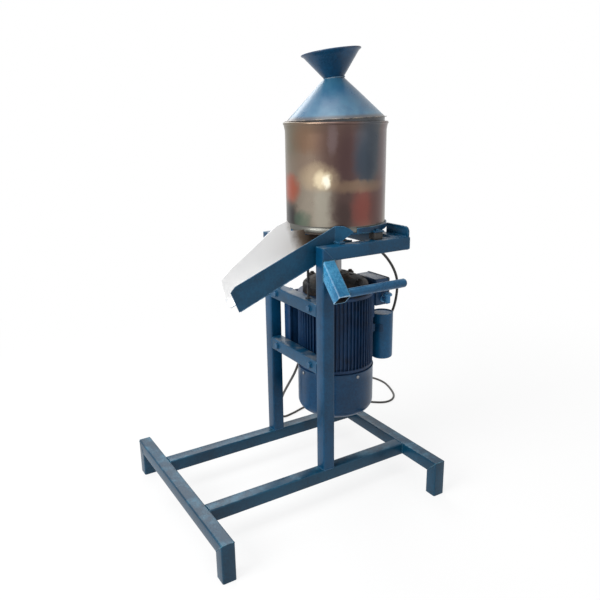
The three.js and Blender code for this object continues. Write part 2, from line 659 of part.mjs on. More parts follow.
// End shields hold the bearings; the upper one has a crowned outer side.
function buildShields() {
  const hole = SHAFT_RADIUS + RUN_CLEARANCE;
  const seat = BEARING_RADIUS + GAP;
  const topBase = BODY_TOP + GAP;
  const top = topBase + SHIELD_TOP_HEIGHT;
  const hubTop = top + SHIELD_HUB_HEIGHT;
  const bearingLow = top - BEARING_HEIGHT - GAP;
  add('end_shield_top', turnedRing([
    [BODY_BORE - SHIELD_THICKNESS, topBase],
    [BODY_BORE, topBase],
    [BODY_BORE, top - SHIELD_THICKNESS * 2],
    [BODY_BORE - SHIELD_CROWN_WIDTH, top - SHIELD_THICKNESS / 2],
    [SHIELD_HUB_RADIUS, top],
    [SHIELD_HUB_RADIUS - SHIELD_THICKNESS / 2, hubTop],
    [hole, hubTop],
    [hole, top],
    [seat, top],
    [seat, bearingLow - GAP],
    [SHIELD_HUB_RADIUS, bearingLow - GAP],
    [BODY_BORE - SHIELD_THICKNESS, topBase + SHIELD_THICKNESS],
  ], ROUND_MEDIUM), IRON);
  const bearing = (low) => ringBetween(
    SHAFT_RADIUS + GAP, BEARING_RADIUS, low, low + BEARING_HEIGHT, ROUND_MEDIUM,
  );
  add('bearing_top', bearing(bearingLow), STEEL);

  const bottomTop = BODY_BOTTOM - GAP;
  const bottom = bottomTop - SHIELD_BOTTOM_HEIGHT;
  const shieldRadius = COWL_RADIUS - COWL_WALL - GAP * 2;
  const lowBearing = bottom + GAP;
  add('end_shield_bottom', turnedRing([
    [seat, bottom], [shieldRadius, bottom], [shieldRadius, bottomTop],
    [shieldRadius - SHIELD_THICKNESS, bottomTop],
    [shieldRadius - SHIELD_THICKNESS, bottom + SHIELD_THICKNESS],
    [SHIELD_HUB_RADIUS, bottom + SHIELD_THICKNESS],
    [SHIELD_HUB_RADIUS, lowBearing + BEARING_HEIGHT + SHIELD_THICKNESS],
    [hole, lowBearing + BEARING_HEIGHT + SHIELD_THICKNESS],
    [hole, lowBearing + BEARING_HEIGHT + GAP],
    [seat, lowBearing + BEARING_HEIGHT + GAP],
  ], ROUND_MEDIUM), IRON);
  add('bearing_bottom', bearing(lowBearing), STEEL);
}

// One stepped shaft from the fan up through the drum floor to the runner stone.
function buildShaft() {
  const middle = BODY_TOP + GAP + SHIELD_TOP_HEIGHT + SHIELD_HUB_HEIGHT + CUT_EXTRA;
  const fanTop = COWL_BOTTOM + FAN_RISE + FAN_HUB_HEIGHT;
  const shoulder = RUNNER_PLATE_BOTTOM - GAP;
  const spindleTop = RUNNER_BOTTOM + STONE_THICKNESS - CUT_EXTRA;
  add('motor_shaft', turned([
    [0, COWL_BOTTOM + FAN_RISE - CUT_EXTRA], [SHAFT_FAN_RADIUS, COWL_BOTTOM + FAN_RISE - CUT_EXTRA],
    [SHAFT_FAN_RADIUS, fanTop + GAP], [SHAFT_RADIUS, fanTop + GAP],
    [SHAFT_RADIUS, middle], [SHAFT_COLLAR_RADIUS, middle],
    [SHAFT_COLLAR_RADIUS, shoulder], [SPINDLE_RADIUS, shoulder],
    [SPINDLE_RADIUS, spindleTop], [0, spindleTop],
  ], ROUND_SMALL), STEEL);
}

function buildFan() {
  const low = COWL_BOTTOM + FAN_RISE;
  const bore = SHAFT_FAN_RADIUS + GAP;
  let fan = solid(ringBetween(bore, FAN_HUB_RADIUS, low, low + FAN_HUB_HEIGHT, ROUND_SMALL));
  const plate = ringBetween(FAN_HUB_RADIUS - JOIN, FAN_RADIUS, low, low + FAN_DISC, ROUND_MEDIUM);
  fan = fan.add(solid(plate));
  for (let i = 0; i < FAN_BLADES; i += 1) {
    const blade = box(
      vec(FAN_BLADE_START, -FAN_BLADE_THICKNESS / 2, low + FAN_DISC / 2),
      vec(FAN_RADIUS - JOIN, FAN_BLADE_THICKNESS / 2, low + FAN_BLADE_HEIGHT),
    );
    blade.rotateZ((i * 2 * Math.PI) / FAN_BLADES).translate(SHAFT_X, 0, 0);
    fan = fan.add(solid(blade));
  }
  add('cooling_fan', fan, RUBBER);
}

function buildCowl() {
  const inner = COWL_RADIUS - COWL_WALL;
  const outerArc = arc(COWL_RADIUS - COWL_CORNER, COWL_BOTTOM + COWL_CORNER, COWL_CORNER, 270, 360, 4);
  const innerCorner = COWL_CORNER - COWL_WALL;
  const innerArc = arc(
    COWL_RADIUS - COWL_CORNER, COWL_BOTTOM + COWL_CORNER, innerCorner, 360, 270, 4,
  );
  const profile = [
    [0, COWL_BOTTOM], ...outerArc, [COWL_RADIUS, COWL_TOP], [inner, COWL_TOP],
    ...innerArc, [0, COWL_BOTTOM + COWL_WALL],
  ];
  let cowl = solid(turned(profile, ROUND_LARGE));
  for (let i = 0; i < COWL_SLOTS; i += 1) {
    const slot = box(
      vec(SLOT_INNER, -SLOT_WIDTH / 2, COWL_BOTTOM - CUT_EXTRA),
      vec(SLOT_OUTER, SLOT_WIDTH / 2, COWL_BOTTOM + CUT_EXTRA),
    );
    slot.rotateZ((i * 2 * Math.PI) / COWL_SLOTS).translate(SHAFT_X, 0, 0);
    cowl = cowl.subtract(solid(slot));
  }
  const screwZ = COWL_TOP - SCREW_DROP;
  const inwards = vec(0, 1, 0);
  const far = vec(SHAFT_X, -(COWL_RADIUS + CUT_EXTRA), screwZ);
  const hole = rod(SCREW_RADIUS + GAP, far, inwards, CUT_EXTRA + SCREW_DEPTH, ROUND_SMALL);
  add('fan_cowl', cowl.subtract(solid(hole)), PAINT);
  const headStart = vec(SHAFT_X, -(COWL_RADIUS + GAP + SCREW_HEAD_HEIGHT), screwZ);
  const head = rod(SCREW_HEAD_RADIUS, headStart, inwards, SCREW_HEAD_HEIGHT, ROUND_SMALL);
  const shankLength = SCREW_HEAD_HEIGHT + SCREW_DEPTH - GAP;
  const shank = rod(SCREW_RADIUS, headStart, inwards, shankLength, ROUND_SMALL);
  add('cowl_screw', solid(head).add(solid(shank)), STEEL);
  // The lower shield takes the screw.
  const shield = mill.getObjectByName('end_shield_bottom');
  shield.geometry = skin(solid(shield.geometry).subtract(solid(hole)));
}

function buildFootBolts() {
  for (const [level, up] of [['lower', -1], ['upper', 1]]) {
    for (const [end, side] of [['front', -1], ['back', 1]]) {
      const y = (side * FOOT_HOLE_ACROSS) / 2;
      const z = FOOT_CENTRE_Z + (up * FOOT_HOLE_UP) / 2;
      const headX = POST_X - HALF_TUBE - GAP - BOLT_HEAD_HEIGHT;
      const nutX = RAIL_FACE_X + GAP + FOOT_THICKNESS + GAP;
      const along = vec(1, 0, 0);
      const head = rod(BOLT_HEAD_RADIUS, vec(headX, y, z), along, BOLT_HEAD_HEIGHT, ROUND_HEX);
      const nut = rod(BOLT_HEAD_RADIUS, vec(nutX, y, z), along, NUT_HEIGHT, ROUND_HEX);
      const length = nutX + NUT_HEIGHT + BOLT_TIP - headX;
      const shank = rod(BOLT_RADIUS, vec(headX, y, z), along, length, ROUND_SMALL);
      const bolt = solid(shank).add(solid(head)).add(solid(nut));
      add(`motor_bolt_${level}_${end}`, bolt, PAINT);
    }
  }
}

// Terminal box on the pad, its gasket and lid, a closed cable entry and the cord's gland.
function buildTerminalBox() {
  const low = vec(SHAFT_X + FIN_RADIUS + GAP * 2, -BOX_WIDTH / 2, BOX_BOTTOM);
  const high = vec(low.x + BOX_DEPTH, BOX_WIDTH / 2, BOX_BOTTOM + BOX_HEIGHT);
  let shell = solid(box(low, high));
  const hollow = box(
    vec(low.x + BOX_WALL, low.y + BOX_WALL, low.z + BOX_WALL),
    vec(high.x + CUT_EXTRA, high.y - BOX_WALL, high.z - BOX_WALL),
  );
  shell = shell.subtract(solid(hollow));
  const glandX = low.x + BOX_DEPTH * ENTRY_X_SHARE;
  const glandY = BOX_WIDTH * GLAND_Y_SHARE;
  add('terminal_box', shell, PAINT);
  const nutLow = low.z - GAP - CORD_GLAND_NUT_HEIGHT;
  const tip = nutLow - CORD_GLAND_HEIGHT;
  const nut = disc(CORD_GLAND_NUT, nutLow, low.z - GAP, ROUND_HEX, glandX, glandY);
  const cone = turned([
    [0, tip], [CORD_GLAND_MOUTH, tip], [CORD_GLAND_RADIUS, tip + CORD_GLAND_HEIGHT / 2],
    [CORD_GLAND_RADIUS, nutLow + JOIN], [0, nutLow + JOIN],
  ], ROUND_SMALL, glandX, glandY);
  add('cable_gland', solid(nut).add(solid(cone)), RUBBER);

  const lip = GASKET_LIP;
  const gasketX = high.x + GAP;
  let gasket = solid(box(
    vec(gasketX, low.y - lip, low.z - lip),
    vec(gasketX + GASKET_THICKNESS, high.y + lip, high.z + lip),
  ));
  const window = box(
    vec(gasketX - CUT_EXTRA, low.y + GASKET_BAND, low.z + GASKET_BAND),
    vec(gasketX + CUT_EXTRA, high.y - GASKET_BAND, high.z - GASKET_BAND),
  );
  gasket = gasket.subtract(solid(window));
  add('box_gasket', gasket, RUBBER);
  const lidX = gasketX + GASKET_THICKNESS + GAP;
  add('box_lid', box(
    vec(lidX, low.y - lip / 2, low.z - lip / 2),
    vec(lidX + BOX_LID, high.y + lip / 2, high.z + lip / 2),
  ), PAINT);

  const entryZ = low.z + BOX_HEIGHT * ENTRY_HEIGHT_SHARE;
  const stemY = low.y - GAP - ENTRY_NECK_LENGTH - ENTRY_STEM_RADIUS;
  const neck = rod(
    ENTRY_NECK_RADIUS, vec(glandX, low.y - GAP, entryZ), vec(0, -1, 0),
    ENTRY_NECK_LENGTH + ENTRY_STEM_RADIUS, ROUND_SMALL,
  );
  const stemLow = entryZ - ENTRY_NECK_RADIUS - JOIN;
  const stemTop = stemLow + ENTRY_STEM_HEIGHT;
  const dome = [[0, stemLow], [ENTRY_STEM_RADIUS, stemLow], [ENTRY_STEM_RADIUS, stemTop]];
  for (let i = 0; i < ENTRY_DOME_STEPS; i += 1) {
    const angle = (i * Math.PI) / 2 / ENTRY_DOME_STEPS;
    dome.push([ENTRY_DOME_RADIUS * Math.cos(angle), stemTop + ENTRY_DOME_HEIGHT * Math.sin(angle)]);
  }
  dome.push([0, stemTop + ENTRY_DOME_HEIGHT]);
  const cap = turned(dome, ROUND_SMALL, glandX, stemY);
  add('spare_entry', solid(neck).add(solid(cap)), LIGHT_PAINT);
  return vec(glandX, glandY, tip - GAP);
}

function buildCapacitor() {
  const x = SHAFT_X + FIN_RADIUS + CAPACITOR_CLEARANCE + CAPACITOR_RADIUS;
  const y = -CAPACITOR_OFFSET;
  const top = CAPACITOR_BOTTOM + CAPACITOR_HEIGHT;
  const foot = arc(
    CAPACITOR_RADIUS - CAPACITOR_CORNER, CAPACITOR_BOTTOM + CAPACITOR_CORNER,
    CAPACITOR_CORNER, 270, 360, 3,
  );
  const rim = CAPACITOR_RADIUS - CAPACITOR_RIM;
  add('capacitor', turned([
    [0, CAPACITOR_BOTTOM], ...foot, [CAPACITOR_RADIUS, top],
    [rim, top], [rim, top - CAPACITOR_RIM], [0, top - CAPACITOR_RIM],
  ], ROUND_MEDIUM, x, y), PAINT);
  const z = CAPACITOR_BOTTOM + CAPACITOR_HEIGHT * CLAMP_SHARE;
  const inner = CAPACITOR_RADIUS + GAP;
  const outer = inner + CLAMP_THICKNESS;
  let clamp = solid(ringBetween(inner, outer, z, z + CLAMP_HEIGHT, ROUND_MEDIUM, x, y));
  const bodyX = Math.sqrt(FIN_RADIUS ** 2 - (y - CLAMP_TAB_WIDTH / 2) ** 2);
  const tab = box(
    vec(SHAFT_X + bodyX, y - CLAMP_TAB_WIDTH / 2, z),
    vec(x - inner - GAP, y + CLAMP_TAB_WIDTH / 2, z + CLAMP_HEIGHT),
  );
  const keepOut = disc(FIN_RADIUS + CLAMP_STANDOFF, z - CUT_EXTRA, z + CLAMP_HEIGHT + CUT_EXTRA, ROUND_LARGE);
  clamp = clamp.add(solid(tab)).subtract(solid(keepOut));
  add('capacitor_clamp', clamp, PAINT);
}

// Steel seat of the drum: a flat ring with ears on rubber blocks and a band round one side.
function buildDrumSeat() {
  let ring = solid(ringBetween(RING_INNER, HEM_RADIUS, RING_BOTTOM, RING_TOP, ROUND_LARGE));
  const bandInner = HEM_RADIUS + GAP;
  let band = solid(ringBetween(
    bandInner - GAP * 2, bandInner + RING_BAND, RING_BOTTOM, RING_BOTTOM + RING_BAND_HEIGHT,
    ROUND_LARGE,
  ));
  const relief = disc(bandInner, RING_TOP, RING_BOTTOM + RING_BAND_HEIGHT + CUT_EXTRA, ROUND_LARGE);
  band = trim(band.subtract(solid(relief)), vec(SHAFT_X + RING_BAND_START, 0, 0), vec(-1, 0, 0));
  ring = ring.add(band);
  const places = [['front_right', 1, -1], ['back_right', 1, 1], ['back_left', -1, 1]];
  const hemKeep = disc(bandInner, RING_TOP, RING_TOP + CUT_EXTRA, ROUND_LARGE);
  for (const [name, signX, signY] of places) {
    const x = SHAFT_X + signX * BLOCK_REACH_X;
    const y = signY * BLOCK_REACH_Y;
    const ear = box(
      vec(x - RING_EAR / 2, y - RING_EAR / 2, RING_BOTTOM),
      vec(x + RING_EAR / 2, y + RING_EAR / 2, RING_TOP),
    );
    ring = ring.add(solid(ear));
    const half = BLOCK_SIDE / 2;
    add(`rubber_block_${name}`, box(
      vec(x - half, y - half, FRAME_TOP + GAP),
      vec(x + half, y + half, FRAME_TOP + GAP + BLOCK_HEIGHT),
    ), RUBBER);
  }
  add('drum_seat', ring.subtract(solid(hemKeep)), PAINT);
}

function buildDrum() {
  const inner = DRUM_INNER;
  const hemTop = FLOOR_BOTTOM + HEM_HEIGHT;
  const beadZ = DRUM_TOP - BEAD_RADIUS;
  const beadR = DRUM_RADIUS + BEAD_OFFSET;
  const bead = arc(beadR, beadZ, BEAD_RADIUS, -60, 240, 5);
  add('drum_shell', turnedRing([
    [inner, FLOOR_BOTTOM], [HEM_RADIUS, FLOOR_BOTTOM], [HEM_RADIUS, hemTop - HEM_GROOVE],
    [DRUM_RADIUS, hemTop], ...bead,
    [inner, beadZ - BEAD_ROOT],
  ], ROUND_LARGE), STAINLESS);

  let plate = solid(ringBetween(
    FLOOR_HOLE, inner - GAP, FLOOR_BOTTOM, FLOOR_TOP, ROUND_LARGE,
  ));
  const outlet = box(
    vec(OUTLET_CENTRE - OUTLET_RADIAL / 2, -OUTLET_ACROSS / 2, FLOOR_BOTTOM - CUT_EXTRA),
    vec(OUTLET_CENTRE + OUTLET_RADIAL / 2, OUTLET_ACROSS / 2, FLOOR_TOP + CUT_EXTRA),
  );
  outlet.rotateZ(THREE.MathUtils.degToRad(OUTLET_ANGLE_DEG)).translate(SHAFT_X, 0, 0);
  plate = plate.subtract(solid(outlet));
  add('drum_floor', plate, STEEL);
}

function buildStones() {
  const plateTop = RUNNER_PLATE_BOTTOM + RUNNER_PLATE_THICKNESS;
  let runner = solid(ringBetween(
    SPINDLE_RADIUS + GAP, RUNNER_PLATE_RADIUS, RUNNER_PLATE_BOTTOM, plateTop, ROUND_MEDIUM,
  ));
  for (const turn of [0, Math.PI]) {
    const blade = box(
      vec(RUNNER_PLATE_RADIUS - SWEEPER_OVERLAP, -SWEEPER_WIDTH / 2, RUNNER_PLATE_BOTTOM),
      vec(SWEEPER_REACH, SWEEPER_WIDTH / 2, plateTop),
    );
    runner = runner.add(solid(blade.rotateZ(turn).translate(SHAFT_X, 0, 0)));
  }
  add('runner_plate', runner, STEEL);
  add('runner_stone', ringBetween(
    STONE_BORE, STONE_RADIUS, RUNNER_BOTTOM, RUNNER_BOTTOM + STONE_THICKNESS, ROUND_MEDIUM,
  ), STONE);
  add('bed_stone', ringBetween(
    STONE_EYE, STONE_RADIUS, BED_BOTTOM, BED_BOTTOM + STONE_THICKNESS, ROUND_MEDIUM,
  ), STONE);

  const top = HOLDER_BOTTOM + HOLDER_THICKNESS;
  let holder = solid(ringBetween(HOLDER_EYE, HOLDER_RADIUS, HOLDER_BOTTOM, top, ROUND_MEDIUM));
  for (let i = 0; i < HOLDER_ARMS; i += 1) {
    const turn = THREE.MathUtils.degToRad(HOLDER_TURN_DEG) + (i * 2 * Math.PI) / HOLDER_ARMS;
    const half = HOLDER_ARM_WIDTH / 2;
    const arm = box(vec(HOLDER_RADIUS - half, -half, HOLDER_BOTTOM), vec(HOLDER_LEG_OUTER, half, top));
    const leg = box(
      vec(HOLDER_LEG_OUTER - HOLDER_LEG_THICKNESS, -half, FLOOR_TOP + GAP),
      vec(HOLDER_LEG_OUTER, half, top),
    );
    for (const piece of [arm, leg]) {
      holder = holder.add(solid(piece.rotateZ(turn).translate(SHAFT_X, 0, 0)));
    }
  }
  add('stone_holder', holder, STEEL);
}

function buildHopper() {
  const seat = HOLDER_BOTTOM + HOLDER_THICKNESS + GAP;
  const spoutLow = seat - HOPPER_SPOUT_LENGTH;
  const inner = HOPPER_SPOUT_RADIUS - SHEET;
  add('feed_hopper', turnedRing([
    [inner, spoutLow], [HOPPER_SPOUT_RADIUS, spoutLow], [HOPPER_SPOUT_RADIUS, seat],
    [HOPPER_COLLAR_RADIUS, seat], [HOPPER_RADIUS, HOPPER_TOP],
    [HOPPER_RADIUS - HOPPER_RIM, HOPPER_TOP], [HOPPER_COLLAR_RADIUS - SHEET, seat + SHEET],
    [inner, seat + SHEET],
  ], ROUND_MEDIUM), STAINLESS);
}

// Funnel profile about its own axis, from the spout up; filled for the cut in the lid.
function funnelProfile(extra, filled) {
  const outside = [
    [FUNNEL_NECK_RADIUS + extra, -FUNNEL_SPOUT - extra],
    [FUNNEL_NECK_RADIUS + extra, 0],
    [FUNNEL_RADIUS + extra, FUNNEL_HEIGHT],
  ];
  if (filled) {
    return [[0, -FUNNEL_SPOUT - extra], ...outside, [0, FUNNEL_HEIGHT]];
  }
  const bead = arc(FUNNEL_RADIUS, FUNNEL_HEIGHT, FUNNEL_BEAD, -30, 150, 4);
  return [
    outside[0], outside[1], ...bead,
    [FUNNEL_NECK_RADIUS - SHEET, SHEET / 2], [FUNNEL_NECK_RADIUS - SHEET, -FUNNEL_SPOUT],
  ];
}

// The funnel leans a little, as the hand-made original does.
function leanFunnel(geometry) {
  const lean = THREE.MathUtils.degToRad(FUNNEL_LEAN_DEG);
  const axis = vec(-Math.sin(lean), Math.cos(lean), 0);
  const turn = new THREE.Quaternion();
  turn.setFromAxisAngle(axis, THREE.MathUtils.degToRad(FUNNEL_TILT_DEG));
  return geometry.applyQuaternion(turn).translate(SHAFT_X, 0, FUNNEL_NECK_Z);
}

function buildLid() {
  const coneRise = (LID_SKIRT_RADIUS - LID_NECK_RADIUS) * LID_SLOPE;
  const skirtInner = LID_SKIRT_RADIUS - SHEET;
  const skirtLow = LID_LOW - LID_SKIRT_DEPTH;
  const lid = solid(turnedRing([
    [LID_SKIRT_RADIUS, LID_LOW], [DRUM_RADIUS, LID_LOW], [DRUM_RADIUS, LID_TOP],
    [LID_SKIRT_RADIUS, LID_TOP], [LID_NECK_RADIUS, LID_TOP + coneRise],
    [LID_NECK_RADIUS, LID_TOP + coneRise - LID_NECK_EDGE], [skirtInner, LID_LOW],
    [skirtInner, skirtLow], [LID_SKIRT_RADIUS, skirtLow],
  ], ROUND_LARGE));
  const spare = leanFunnel(turned(funnelProfile(GAP, true), ROUND_MEDIUM, 0, 0));
  add('drum_lid', lid.subtract(solid(spare)), LIGHT_PAINT);
  add('feed_funnel', leanFunnel(turnedRing(funnelProfile(0, false), ROUND_MEDIUM, 0, 0)), PAINT);
}

// Chute: a sloping channel of sheet, built lying along X and then placed.
function buildChute() {
  const slope = Math.tan(CHUTE_SLOPE);
  const rise = CHUTE_WALL_HEIGHT / Math.cos(CHUTE_SLOPE);
  const floorZ = (x) => CHUTE_TIP_Z + (x - CHUTE_TIP_X) * slope;
  const nearY = CHUTE_CENTRE_Y - CHUTE_WIDTH / 2;
  const farY = CHUTE_CENTRE_Y + CHUTE_WIDTH / 2;
  const hemReach = Math.sqrt(HEM_RADIUS ** 2 - (nearY + CHUTE_SHEET) ** 2);
  const nearEnd = SHAFT_X - hemReach - CHUTE_DRUM_CLEARANCE;
  const squareX = -CHUTE_WALL_HEIGHT * Math.sin(CHUTE_SLOPE);
  const squareZ = CHUTE_WALL_HEIGHT * Math.cos(CHUTE_SLOPE);
  const underRing = RING_BOTTOM - GAP;
  const headZ = Math.min(floorZ(CHUTE_HEAD_X), underRing - CHUTE_SHEET * 2);
  const headX = CHUTE_TIP_X + (headZ - CHUTE_TIP_Z) / slope;
  const tip = [CHUTE_TIP_X, CHUTE_TIP_Z];
  const topTip = [tip[0] + squareX, tip[1] + squareZ];
  const chamferX = CHUTE_CHAMFER * Math.cos(CHUTE_SLOPE);
  const chamferZ = CHUTE_CHAMFER * Math.sin(CHUTE_SLOPE);
  const share = CHUTE_CHAMFER / CHUTE_WALL_HEIGHT;
  const nearWall = [
    tip,
    [tip[0] + squareX * (1 - share / 2), tip[1] + squareZ * (1 - share / 2)],
    [topTip[0] + chamferX, topTip[1] + chamferZ],
    [nearEnd, floorZ(nearEnd) + rise],
    [nearEnd, underRing],
    [headX + CHUTE_SHEET * 2, underRing],
    [headX, headZ],
  ];
  const farTopX = CHUTE_FAR_END - CHUTE_FAR_ROUND;
  const farEnd = Math.max(CHUTE_FAR_END, CHUTE_TIP_X + (underRing - CHUTE_TIP_Z - rise) / slope);
  const farWall = [
    tip, topTip,
    [farTopX, floorZ(farTopX) + rise],
    [farEnd, Math.min(floorZ(farEnd) + rise - CHUTE_FAR_STEP, underRing)],
    [farEnd + CHUTE_FAR_STEP, underRing - CHUTE_FAR_STEP],
    [headX, underRing - CHUTE_FAR_STEP],
    [headX, headZ],
  ];
  const panel = (points, fromY, width) => {
    const sheet = extrude(outline(points), width);
    return sheet.rotateX(Math.PI / 2).translate(0, fromY + width, 0);
  };
  const lift = CHUTE_SHEET / Math.cos(CHUTE_SLOPE);
  const floor = [
    tip, [tip[0] - CHUTE_SHEET * Math.sin(CHUTE_SLOPE), tip[1] + CHUTE_SHEET * Math.cos(CHUTE_SLOPE)],
    [headX, headZ + lift], [headX, headZ],
  ];
  let chute = solid(panel(floor, nearY, CHUTE_WIDTH));
  chute = chute.add(solid(panel(nearWall, nearY, CHUTE_SHEET)));
  chute = chute.add(solid(panel(farWall, farY - CHUTE_SHEET, CHUTE_SHEET)));
  const tabX = SHAFT_X - CHUTE_TAB_BACK;
  const tabTop = FRAME_TOP + GAP + CHUTE_TAB_THICKNESS;
  const tab = box(
    vec(tabX - CHUTE_TAB_LENGTH / 2, -POST_Y, FRAME_TOP + GAP),
    vec(tabX + CHUTE_TAB_LENGTH / 2, nearY + CHUTE_SHEET / 2, tabTop),
  );
  chute = chute.add(solid(tab));
  add('chute', chute, PAINT);

  const stayX = POST_X;
  const stayLow = FOOT_CENTRE_Z + FOOT_HOLE_UP / 2 + HALF_TUBE + GAP;
  const stayTop = floorZ(stayX - STAY_RADIUS) - GAP * 2;
  const stay = rod(STAY_RADIUS, vec(stayX, STAY_Y, stayLow), UP, stayTop - stayLow, ROUND_SMALL);
  const nutZ = stayLow + (stayTop - stayLow) * STAY_NUT_SHARE;
  const nut = rod(STAY_NUT_RADIUS, vec(stayX, STAY_Y, nutZ), UP, STAY_NUT_HEIGHT, ROUND_HEX);
  add('chute_stay', solid(stay).add(solid(nut)), IRON);
}

// Points of the lead between the gland and the coil, from the gland down: round under the
// terminal box, up under the end tube, down behind the motor and along the floor.
const CORD_ROUTE = [
  [0, 0, -20], [4, 0, -42], [18, -2, -62], [43, -8, -69], [66, -18, -56], [80, -38, -4],
  [86, -41, 86], [57, -30, 152], [11, -16, 196], [-20, -4, 204], [-49, 14, 201],
  [-70, 42, 186], [-82, 75, 158], [-89, 101, 118], [-104, 116, 24], [-120, 119, -26],
  [-160, 134, -138], [-173, 152, -210], [-172, 179, -254], [-156, 301, -398],
  [-147, 328, -446],
];
const CLIP_POINT_COUNT = 9; // points before the highest one, which the clip holds
const FLOOR_ROUTE = [
  [191, 372, 27], [214, 383, 6.2], [261, 393, 4.4], [317, 411, 4.4], [380, 422, 4.4],
  [448, 408, 4.4], [514, 362, 4.4], [612, 276, 4.4], [652, 275, 4.4], [691, 305, 4.4],
  [736, 408, 4.4], [740, 450, 4.4], [732, 492, 4.4], [710, 529, 4.4], [676, 554, 4.4],
  [638, 565, 4.4],
];

// Height of the coil's middle: each turn lies flat for its first half and climbs in its second.
function coilHeight(turns) {
  const whole = Math.floor(turns);
  const climb = THREE.MathUtils.smoothstep(turns - whole, 1 / 2, 1);
  return CORD_RADIUS + CORD_LIFT + COIL_PITCH * (whole + climb);
}

// Least gap of the coil to itself, measured on points of its middle line.
function coilGap(curve) {
  const steps = COIL_TURNS * COIL_STEPS_PER_TURN * 2;
  const points = curve.getSpacedPoints(steps);
  const apart = Math.PI * COIL_RADIUS;
  const between = curve.getLength() / steps;
  let least = Infinity;
  points.forEach((point, i) => {
    points.slice(i + Math.ceil(apart / between)).forEach((other) => {
      least = Math.min(least, point.distanceTo(other) - 2 * CORD_RADIUS);
    });
  });
  return least;
}

// The coil: a straight start, turns one on another, and a straight end.
class CoilCurve extends THREE.Curve {
  getPoint(share, target = vec(0, 0, 0)) {
    const around = 2 * Math.PI * COIL_RADIUS * COIL_TURNS;
    const along = share * (around + COIL_STRAIGHT + COIL_TAIL) - COIL_STRAIGHT;
    const turnedBy = Math.min(Math.max(along / COIL_RADIUS, 0), 2 * Math.PI * COIL_TURNS);
    const past = along - turnedBy * COIL_RADIUS;
    const angle = Math.PI / 2 + turnedBy;
    return target.set(
      COIL_CENTRE_X + COIL_RADIUS * Math.cos(angle) - past,
      COIL_CENTRE_Y + COIL_RADIUS * Math.sin(angle),
      coilHeight(turnedBy / (2 * Math.PI)),
    );
  }
}

function roundSection(radius, sides) {
  const points = [];
  for (let i = 0; i < sides; i += 1) {
    const angle = ((i + 1 / 2) * 2 * Math.PI) / sides;
    points.push([radius * Math.cos(angle), radius * Math.sin(angle)]);
  }
  return outline(points);
}

function buildCord(start) {
  const low = CORD_RADIUS + CORD_LIFT;
  const coil = new CoilCurve();
  const joint = coil.getPoint(0).add(vec(GAP, 0, 0));
  const hanging = CORD_ROUTE.map(([x, y, z]) => vec(x, y, z).add(start));
  const lying = FLOOR_ROUTE.map(([x, y, z]) => vec(x, y, Math.max(z, low)));
  const lead = vec(joint.x + CORD_LEAD, joint.y, low);
  const route = new THREE.CatmullRomCurve3(
    [start, ...hanging, ...lying, lead, joint], false, 'centripetal',
  );
  const section = roundSection(CORD_RADIUS, CORD_SIDES);
  add('power_cord', extrude(section, 0, { extrudePath: route, steps: CORD_STEPS }), RUBBER);
  console.log(`least gap of the coil to itself: ${coilGap(coil).toFixed(2)} mm`);
  const coilSteps = COIL_TURNS * COIL_STEPS_PER_TURN + COIL_END_STEPS;
  const thin = roundSection(CORD_RADIUS, COIL_SIDES);
  add('cord_coil', extrude(thin, 0, { extrudePath: coil, steps: coilSteps }), RUBBER);

  const end = coil.getPoint(1);
  const back = vec(-1, 0, 0);
  const neck = rod(PLUG_NECK_RADIUS, vec(end.x - GAP, end.y, end.z), back, PLUG_NECK_LENGTH, ROUND_SMALL);
  const bodyX = end.x - GAP - PLUG_NECK_LENGTH + JOIN;
  const body = rod(PLUG_RADIUS, vec(bodyX, end.y, end.z), back, PLUG_LENGTH, ROUND_MEDIUM);
  let plug = solid(neck).add(solid(body));
  const face = bodyX - PLUG_LENGTH;
  for (const [dy, dz] of [[-1, -1], [1, -1], [0, 1]]) {
    const y = end.y + dy * PIN_SPREAD;
    const z = end.z + dz * PIN_RISE;
    const pin = box(
      vec(face - PIN_LENGTH, y - PIN_WIDTH / 2, z - PIN_WIDTH / 2),
      vec(face + JOIN, y + PIN_WIDTH / 2, z + PIN_WIDTH / 2),
    );
    plug = plug.add(solid(pin));
  }
  add('cord_plug', plug, RUBBER);

  const lowest = coilHeight(TIE_TURNS) - CORD_RADIUS - TIE_SLACK;
  const highest = coilHeight(TIE_TURNS + COIL_TURNS - 1) + CORD_RADIUS + TIE_SLACK;
  const half = CORD_RADIUS + TIE_SLACK;
  const x = COIL_CENTRE_X + COIL_RADIUS;
  const wrap = TIE_THICKNESS;
  const outer = box(
    vec(x - half - wrap, COIL_CENTRE_Y - TIE_WIDTH / 2, lowest - wrap),
    vec(x + half + wrap, COIL_CENTRE_Y + TIE_WIDTH / 2, highest + wrap),
  );
  const inner = box(
    vec(x - half, COIL_CENTRE_Y - TIE_WIDTH, lowest),
    vec(x + half, COIL_CENTRE_Y + TIE_WIDTH, highest),
  );
  add('coil_tie', solid(outer).subtract(solid(inner)), RUBBER);
}

// Saddle under the end tube that holds the cord where it turns down behind the motor.
function buildCordClip(start) {
  const place = (index) => vec(...CORD_ROUTE[index]).add(start);
  const middle = place(CLIP_POINT_COUNT);
  const run = place(CLIP_POINT_COUNT + 1).sub(place(CLIP_POINT_COUNT - 1));
  const turn = Math.atan2(run.y, run.x);
  const half = CORD_RADIUS + CLIP_SLACK;
  const top = FRAME_TOP - TUBE - GAP;
  const block = box(
    vec(-CLIP_WIDTH / 2, -half - CLIP_WALL, middle.z - half - CLIP_WALL),
    vec(CLIP_WIDTH / 2, half + CLIP_WALL, top),
  );
  const eye = box(
    vec(-CLIP_WIDTH, -half, middle.z - half),
    vec(CLIP_WIDTH, half, middle.z + half),
  );
  for (const shape of [block, eye]) {
    shape.rotateZ(turn).translate(middle.x, middle.y, 0);
  }
  add('cord_clip', solid(block).subtract(solid(eye)), RUBBER);
}

